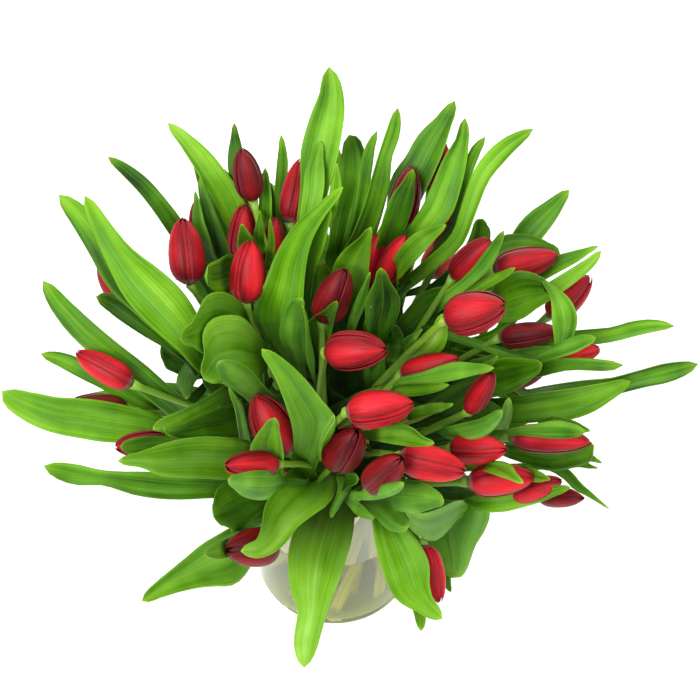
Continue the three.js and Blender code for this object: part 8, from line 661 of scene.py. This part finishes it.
def core_shade(nt, tc):
    """Painted shade mask: 1 in the crowded core of the bouquet just above the rim, falling to 0 outside it."""
    off = nt.nodes.new("ShaderNodeVectorMath")
    off.operation = "SUBTRACT"
    off.inputs[1].default_value = (0.0, 0.0, 0.262)
    nt.links.new(tc.outputs["Object"], off.inputs[0])
    far = nt.nodes.new("ShaderNodeVectorMath")
    far.operation = "LENGTH"
    nt.links.new(off.outputs[0], far.inputs[0])
    return math_node(nt, "SUBTRACT", 1.0, math_node(nt, "MULTIPLY", math_node(nt, "SUBTRACT", far.outputs["Value"], 0.065, clamp=True), 14.0, clamp=True), clamp=True)


def leaf_material():
    m, nt, bsdf = nodes_of("tulip_leaf")
    x, y, tone, back = grow_data(nt)
    noise = add(nt, "ShaderNodeTexNoise")
    noise.inputs["Scale"].default_value = 22.0
    noise.inputs["Detail"].default_value = 3.0
    tc = add(nt, "ShaderNodeTexCoord")
    nt.links.new(tc.outputs["Object"], noise.inputs["Vector"])
    patch = noise.outputs["Fac"]
    veins = stretched_noise(nt, x, y, tone, 34.0, 1.3, 90.0, 1.0, 2.0, 0.5)
    fine = stretched_noise(nt, x, y, tone, 95.0, 2.5, 170.0, 1.0, 2.0, 0.6)
    shade_bands = stretched_noise(nt, x, y, tone, 2.6, 1.6, 150.0, 1.0, 1.0, 0.4)
    bloom = stretched_noise(nt, x, y, tone, 5.0, 2.2, 230.0, 1.0, 2.0, 0.5)
    # tone of the leaf, moved by broad patches, by broad light and dark bands that are painted shade as across a folded
    # blade, and by the run of the veins
    lift = math_node(nt, "MULTIPLY_ADD", patch, 0.70, -0.35)
    lift = math_node(nt, "ADD", lift, math_node(nt, "MULTIPLY_ADD", shade_bands, 0.80, -0.40))
    lift = math_node(nt, "ADD", lift, math_node(nt, "MULTIPLY_ADD", veins, 0.40, -0.20))
    lift = math_node(nt, "ADD", lift, math_node(nt, "MULTIPLY_ADD", fine, 0.32, -0.16))
    level = math_node(nt, "ADD", math_node(nt, "MULTIPLY_ADD", tone, 0.74, 0.10), lift, clamp=True)
    upper = ramp(nt, level, [(0.0, srgb("#143202")), (0.26, srgb("#336203")), (0.50, srgb("#558c0a")),
                             (0.76, srgb("#78ac26")), (1.0, srgb("#99c85c"))])
    under = ramp(nt, level, [(0.0, srgb("#183b09")), (0.33, srgb("#3f7614")), (0.65, srgb("#689f28")),
                             (1.0, srgb("#98c658"))])
    col = mix(nt, back, upper, under)
    # pale waxy bloom in long soft patches, partly painted sheen
    bloom_and_sheen = math_node(nt, "MULTIPLY", math_node(nt, "SUBTRACT", bloom, 0.48, clamp=True), 5.0, clamp=True)
    bloom_and_sheen = math_node(nt, "MULTIPLY", bloom_and_sheen, math_node(nt, "MULTIPLY_ADD", tone, 0.30, 0.14))
    col = mix(nt, bloom_and_sheen, col, srgb("#76ae4c"))
    # paler rim and tip, and a pale midrib line
    edge = math_node(nt, "ABSOLUTE", math_node(nt, "MULTIPLY_ADD", x, 2.0, -1.0))
    rim = math_node(nt, "MULTIPLY", math_node(nt, "SUBTRACT", edge, 0.90, clamp=True), 6.0, clamp=True)
    col = mix(nt, math_node(nt, "MULTIPLY", rim, 0.40), col, srgb("#9cc93a"))
    tip = math_node(nt, "MULTIPLY", math_node(nt, "SUBTRACT", y, 0.93, clamp=True), 12.0, clamp=True)
    col = mix(nt, math_node(nt, "MULTIPLY", tip, 0.45), col, srgb("#8cb426"))
    rib = math_node(nt, "MULTIPLY", math_node(nt, "SUBTRACT", 0.06, edge, clamp=True), 12.0, clamp=True)
    col = mix(nt, math_node(nt, "MULTIPLY", rib, 0.16), col, srgb("#9cc766"))
    # painted shade: each leaf darkens towards its foot, down inside the bunch
    foot = math_node(nt, "SUBTRACT", 1.0, math_node(nt, "MULTIPLY", y, 2.4, clamp=True), clamp=True)
    col = mix(nt, math_node(nt, "MULTIPLY", foot, 0.85), col, srgb("#1f3d07"))
    # painted shade: leaves darken in the crowded core of the bouquet
    col = mix(nt, math_node(nt, "MULTIPLY", core_shade(nt, tc), 0.85), col, srgb("#0f2203"))
    nt.links.new(col, bsdf.inputs["Base Color"])
    rough = math_node(nt, "MULTIPLY_ADD", patch, 0.25, 0.36)
    nt.links.new(math_node(nt, "ADD", rough, math_node(nt, "MULTIPLY", back, 0.12)), bsdf.inputs["Roughness"])
    bsdf.inputs["Specular IOR Level"].default_value = 0.14
    bump = add(nt, "ShaderNodeBump")
    bump.inputs["Strength"].default_value = 0.4
    bump.inputs["Distance"].default_value = 0.0008
    h = math_node(nt, "ADD", veins, math_node(nt, "MULTIPLY", fine, 0.6))
    nt.links.new(math_node(nt, "SUBTRACT", h, math_node(nt, "MULTIPLY", rib, 0.7)), bump.inputs["Height"])
    nt.links.new(bump.outputs[0], bsdf.inputs["Normal"])
    return m


def stem_material():
    m, nt, bsdf = nodes_of("tulip_stem")
    x, y, tone, high = grow_data(nt)
    streak = stretched_noise(nt, x, y, tone, 14.0, 9.0, 3.0, 1.0, 3.0, 0.6)
    level = math_node(nt, "ADD", math_node(nt, "MULTIPLY", high, 0.85), math_node(nt, "MULTIPLY_ADD", streak, 0.4, -0.2), clamp=True)
    col = ramp(nt, level, [(0.0, srgb("#f2e47a")), (0.24, srgb("#d8d258")), (0.48, srgb("#587c1e")), (0.75, srgb("#76a024")),
                           (1.0, srgb("#a2b42e"))])
    nt.links.new(col, bsdf.inputs["Base Color"])
    nt.links.new(math_node(nt, "MULTIPLY_ADD", streak, 0.25, 0.32), bsdf.inputs["Roughness"])
    bump = add(nt, "ShaderNodeBump")
    bump.inputs["Strength"].default_value = 0.25
    bump.inputs["Distance"].default_value = 0.0004
    nt.links.new(streak, bump.inputs["Height"])
    nt.links.new(bump.outputs[0], bsdf.inputs["Normal"])
    return m


def petal_material():
    m, nt, bsdf = nodes_of("tulip_petal")
    x, y, tone, inside = grow_data(nt)
    edge = math_node(nt, "ABSOLUTE", math_node(nt, "MULTIPLY_ADD", x, 2.0, -1.0))
    veins = stretched_noise(nt, x, y, tone, 42.0, 2.2, 30.0, 1.0, 3.0, 0.6)
    tc = add(nt, "ShaderNodeTexCoord")
    noise = add(nt, "ShaderNodeTexNoise")
    noise.inputs["Scale"].default_value = 60.0
    noise.inputs["Detail"].default_value = 3.0
    nt.links.new(tc.outputs["Object"], noise.inputs["Vector"])
    patch = noise.outputs["Fac"]
    # vein streaks and patches move the tone, and the pale vein streaks are partly painted highlight; painted highlight
    # lightens each petal's centre
    lift = math_node(nt, "ADD", math_node(nt, "MULTIPLY_ADD", veins, 1.0, -0.50),
                     math_node(nt, "MULTIPLY_ADD", patch, 0.5, -0.25))
    centre_highlight = math_node(nt, "MULTIPLY", math_node(nt, "SUBTRACT", 1.0, edge), 0.22)
    level = math_node(nt, "ADD", math_node(nt, "ADD", math_node(nt, "MULTIPLY", tone, 0.75), lift), centre_highlight, clamp=True)
    col = ramp(nt, level, [(0.0, srgb("#380206")), (0.26, srgb("#6c060e")), (0.50, srgb("#980c17")), (0.76, srgb("#c0131f")),
                           (1.0, srgb("#dd2430"))])
    # painted shade darkens each petal towards its sides, into the creases where petals meet; each petal is also darker
    # towards its foot and its tip, and has a thin pale rim
    side = math_node(nt, "POWER", edge, 2.2)
    col = mix(nt, math_node(nt, "MULTIPLY", side, 0.66), col, srgb("#4e050e"))
    low = math_node(nt, "SUBTRACT", 1.0, math_node(nt, "MULTIPLY", y, 3.2, clamp=True), clamp=True)
    col = mix(nt, math_node(nt, "MULTIPLY", low, 0.45), col, srgb("#560a1c"))
    # partly painted highlight: a thin pale line along each petal's edge
    rim = math_node(nt, "MULTIPLY", math_node(nt, "SUBTRACT", edge, 0.93, clamp=True), 12.0, clamp=True)
    col = mix(nt, math_node(nt, "MULTIPLY", rim, 0.45), col, srgb("#cf4450"))
    tip = math_node(nt, "MULTIPLY", math_node(nt, "SUBTRACT", y, 0.86, clamp=True), 6.0, clamp=True)
    col = mix(nt, math_node(nt, "MULTIPLY", tip, 0.35), col, srgb("#7d0a10"))
    foot = math_node(nt, "SUBTRACT", 1.0, math_node(nt, "MULTIPLY", y, 14.0, clamp=True), clamp=True)
    col = mix(nt, math_node(nt, "MULTIPLY", foot, 0.55), col, srgb("#c79aa8"))
    # painted shade: the inner face of each petal, inside the closed bud, is darkened
    col = mix(nt, math_node(nt, "MULTIPLY", inside, 0.5), col, srgb("#5a0812"))
    nt.links.new(col, bsdf.inputs["Base Color"])
    nt.links.new(math_node(nt, "MULTIPLY_ADD", patch, 0.25, 0.38), bsdf.inputs["Roughness"])
    bsdf.inputs["Specular IOR Level"].default_value = 0.2
    bump = add(nt, "ShaderNodeBump")
    bump.inputs["Strength"].default_value = 0.4
    bump.inputs["Distance"].default_value = 0.0004
    nt.links.new(veins, bump.inputs["Height"])
    nt.links.new(bump.outputs[0], bsdf.inputs["Normal"])
    return m


def lamps_through(m, nt, bsdf, tint):
    """Lets light from lamps pass, so that what stands in the vase and the floor behind it are lit."""
    clear = add(nt, "ShaderNodeBsdfTransparent")
    clear.inputs["Color"].default_value = tint
    path = add(nt, "ShaderNodeLightPath")
    both = add(nt, "ShaderNodeMixShader")
    nt.links.new(path.outputs["Is Shadow Ray"], both.inputs[0])
    nt.links.new(bsdf.outputs[0], both.inputs[1])
    nt.links.new(clear.outputs[0], both.inputs[2])
    nt.links.new(both.outputs[0], nt.nodes["Material Output"].inputs["Surface"])


def glass_material():
    m, nt, bsdf = nodes_of("clear_glass")
    tc = add(nt, "ShaderNodeTexCoord")
    noise = add(nt, "ShaderNodeTexNoise")
    noise.inputs["Scale"].default_value = 14.0
    noise.inputs["Detail"].default_value = 2.0
    nt.links.new(tc.outputs["Object"], noise.inputs["Vector"])
    col = ramp(nt, noise.outputs["Fac"], [(0.3, (0.91, 0.96, 0.78, 1)), (0.7, (0.96, 0.99, 0.87, 1))])
    nt.links.new(col, bsdf.inputs["Base Color"])
    nt.links.new(math_node(nt, "MULTIPLY_ADD", noise.outputs["Fac"], 0.03, 0.0), bsdf.inputs["Roughness"])
    bsdf.inputs["Transmission Weight"].default_value = 1.0
    bsdf.inputs["IOR"].default_value = 1.42
    lamps_through(m, nt, bsdf, (0.98, 0.99, 0.95, 1))
    return m


def water_material():
    m, nt, bsdf = nodes_of("vase_water")
    tc = add(nt, "ShaderNodeTexCoord")
    noise = add(nt, "ShaderNodeTexNoise")
    noise.inputs["Scale"].default_value = 9.0
    nt.links.new(tc.outputs["Object"], noise.inputs["Vector"])
    col = ramp(nt, noise.outputs["Fac"], [(0.3, (0.13, 0.14, 0.030, 1)), (0.7, (0.22, 0.235, 0.06, 1))])
    nt.links.new(col, bsdf.inputs["Base Color"])
    bsdf.inputs["Roughness"].default_value = 0.01
    bsdf.inputs["Transmission Weight"].default_value = 1.0
    bsdf.inputs["IOR"].default_value = 1.11
    lamps_through(m, nt, bsdf, (0.76, 0.76, 0.54, 1))
    return m


# ---- build ----

leaf_mat, stem_mat, petal_mat = leaf_material(), stem_material(), petal_material()

for i, row in enumerate(FLOWERS):
    flower_piece(row, i + 1, np.random.RandomState(900 + i), petal_mat)

bundles = 1 + max(row[0] for row in FLOWERS)
for bundle in range(bundles):
    name = "stems_and_leaves_%02d" % (bundle + 1)
    b = Builder()
    for i, row in enumerate(STEMS):
        if FLOWERS[i][0] == bundle:
            stem_piece(b, row, np.random.RandomState(300 + i))
    b.make("bundle_%02d_stems" % (bundle + 1), stem_mat, [name])
    b = Builder()
    for i, row in enumerate(LEAVES):
        if row[0] == bundle:
            leaf_piece(b, row, np.random.RandomState(500 + i))
    if b.v:
        b.make("bundle_%02d_leaves" % (bundle + 1), leaf_mat, [name])

R, W, H, F = VASE_RADIUS, VASE_WALL, VASE_HEIGHT, VASE_FLOOR
arc = lambda cr, cz, r, a0, a1, n: [(cr + r * math.cos(math.radians(a0 + (a1 - a0) * k / n)),
                                     cz + r * math.sin(math.radians(a0 + (a1 - a0) * k / n))) for k in range(n + 1)]
profile = [(0, 0.6), (R - 17, 0.6), (R - 16, 0.6), (R - 12, 0.0), (R - 11, 0.0), (R - 3.0, 0.0)] \
    + arc(R - 2.2, 2.2, 2.2, -90, 0, 5) + [(R, 3.0), (R, H * 0.5), (R, H - W / 2 - 0.8)] \
    + arc(R - W / 2, H - W / 2, W / 2, 0, 180, 10) \
    + [(R - W, H - W / 2 - 0.8), (R - W, H * 0.5), (R - W, F + 6.8)] \
    + arc(R - W - 6, F + 6, 6, 0, -90, 8) + [(R - W - 6.8, F), (0, F)]
turned("vase_glass", profile, 128, glass_material(), "glass_vase")
r = R - W + 0.12
profile = [(0, F - 0.12), (r - 6.8, F - 0.12), (r - 6, F - 0.12)] + arc(r - 6, F + 6 - 0.12, 6, -90, 0, 8)[1:] \
    + [(r, F + 6.8), (r, WATER_LEVEL - 0.4), (r, WATER_LEVEL), (r - 0.4, WATER_LEVEL), (r - 1.6, WATER_LEVEL), (0, WATER_LEVEL)]
turned("vase_water", profile, 128, water_material(), "water")

# ---- floor, light, camera ----

mesh = bpy.data.meshes.new("floor")
S = 30.0
mesh.from_pydata([(-S, -S, 0), (S, -S, 0), (S, S, 0), (-S, S, 0)], [], [(0, 1, 2, 3)])
floor = bpy.data.objects.new("floor", mesh)
bpy.context.scene.collection.objects.link(floor)
m, nt, bsdf = nodes_of("pale_floor")
noise = add(nt, "ShaderNodeTexNoise")
noise.inputs["Scale"].default_value = 3.0
col = ramp(nt, noise.outputs["Fac"], [(0.3, (0.93, 0.93, 0.93, 1)), (0.7, (0.95, 0.95, 0.95, 1))])
nt.links.new(col, bsdf.inputs["Base Color"])
bsdf.inputs["Roughness"].default_value = 0.9
bsdf.inputs["Specular IOR Level"].default_value = 0.1
bsdf.inputs["Emission Color"].default_value = (1, 1, 1, 1)
bsdf.inputs["Emission Strength"].default_value = 0.2
mesh.materials.append(m)
floor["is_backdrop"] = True

world = bpy.data.worlds.new("studio")
bpy.context.scene.world = world
world.use_nodes = True
world.node_tree.nodes["Background"].inputs[0].default_value = (1.0, 1.0, 1.0, 1)
world.node_tree.nodes["Background"].inputs[1].default_value = 0.50


def area_light(name, place, aim, size, watts, colour=(1, 1, 1)):
    from mathutils import Vector
    data = bpy.data.lights.new(name, "AREA")
    data.shape = "RECTANGLE"
    data.size = data.size_y = size
    data.energy = watts
    data.color = colour
    obj = bpy.data.objects.new(name, data)
    obj.location = place
    obj.rotation_mode = "QUATERNION"
    obj.rotation_quaternion = (Vector(aim) - Vector(place)).to_track_quat("-Z", "Y")
    bpy.context.scene.collection.objects.link(obj)
    return obj


area_light("key", (-1.0, -1.3, 2.3), (0, 0, 0.3), 1.3, 76)
area_light("fill", (1.7, -0.9, 1.5), (0, 0, 0.3), 1.5, 20)
area_light("low_back", (0.4, 1.7, 0.75), (0, 0.2, 0.05), 1.6, 24)
area_light("top", (0.1, 0.5, 2.4), (0, 0, 0.3), 1.8, 18)

cam_data = bpy.data.cameras.new("camera")
cam = bpy.data.objects.new("camera", cam_data)
bpy.context.scene.collection.objects.link(cam)
cam.location = (0.01434, -0.7082, 1.4598)
cam.rotation_euler = (math.radians(33.0), 0, 0)
cam_data.sensor_width = 36.0
cam_data.lens = 1650 / 700 * 36.0
bpy.context.scene.camera = cam
bpy.context.scene.view_settings.view_transform = "Standard"

low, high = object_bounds()
{"cad": [list(cad_low), list(cad_high)], "visual": [list(low), list(high)]}
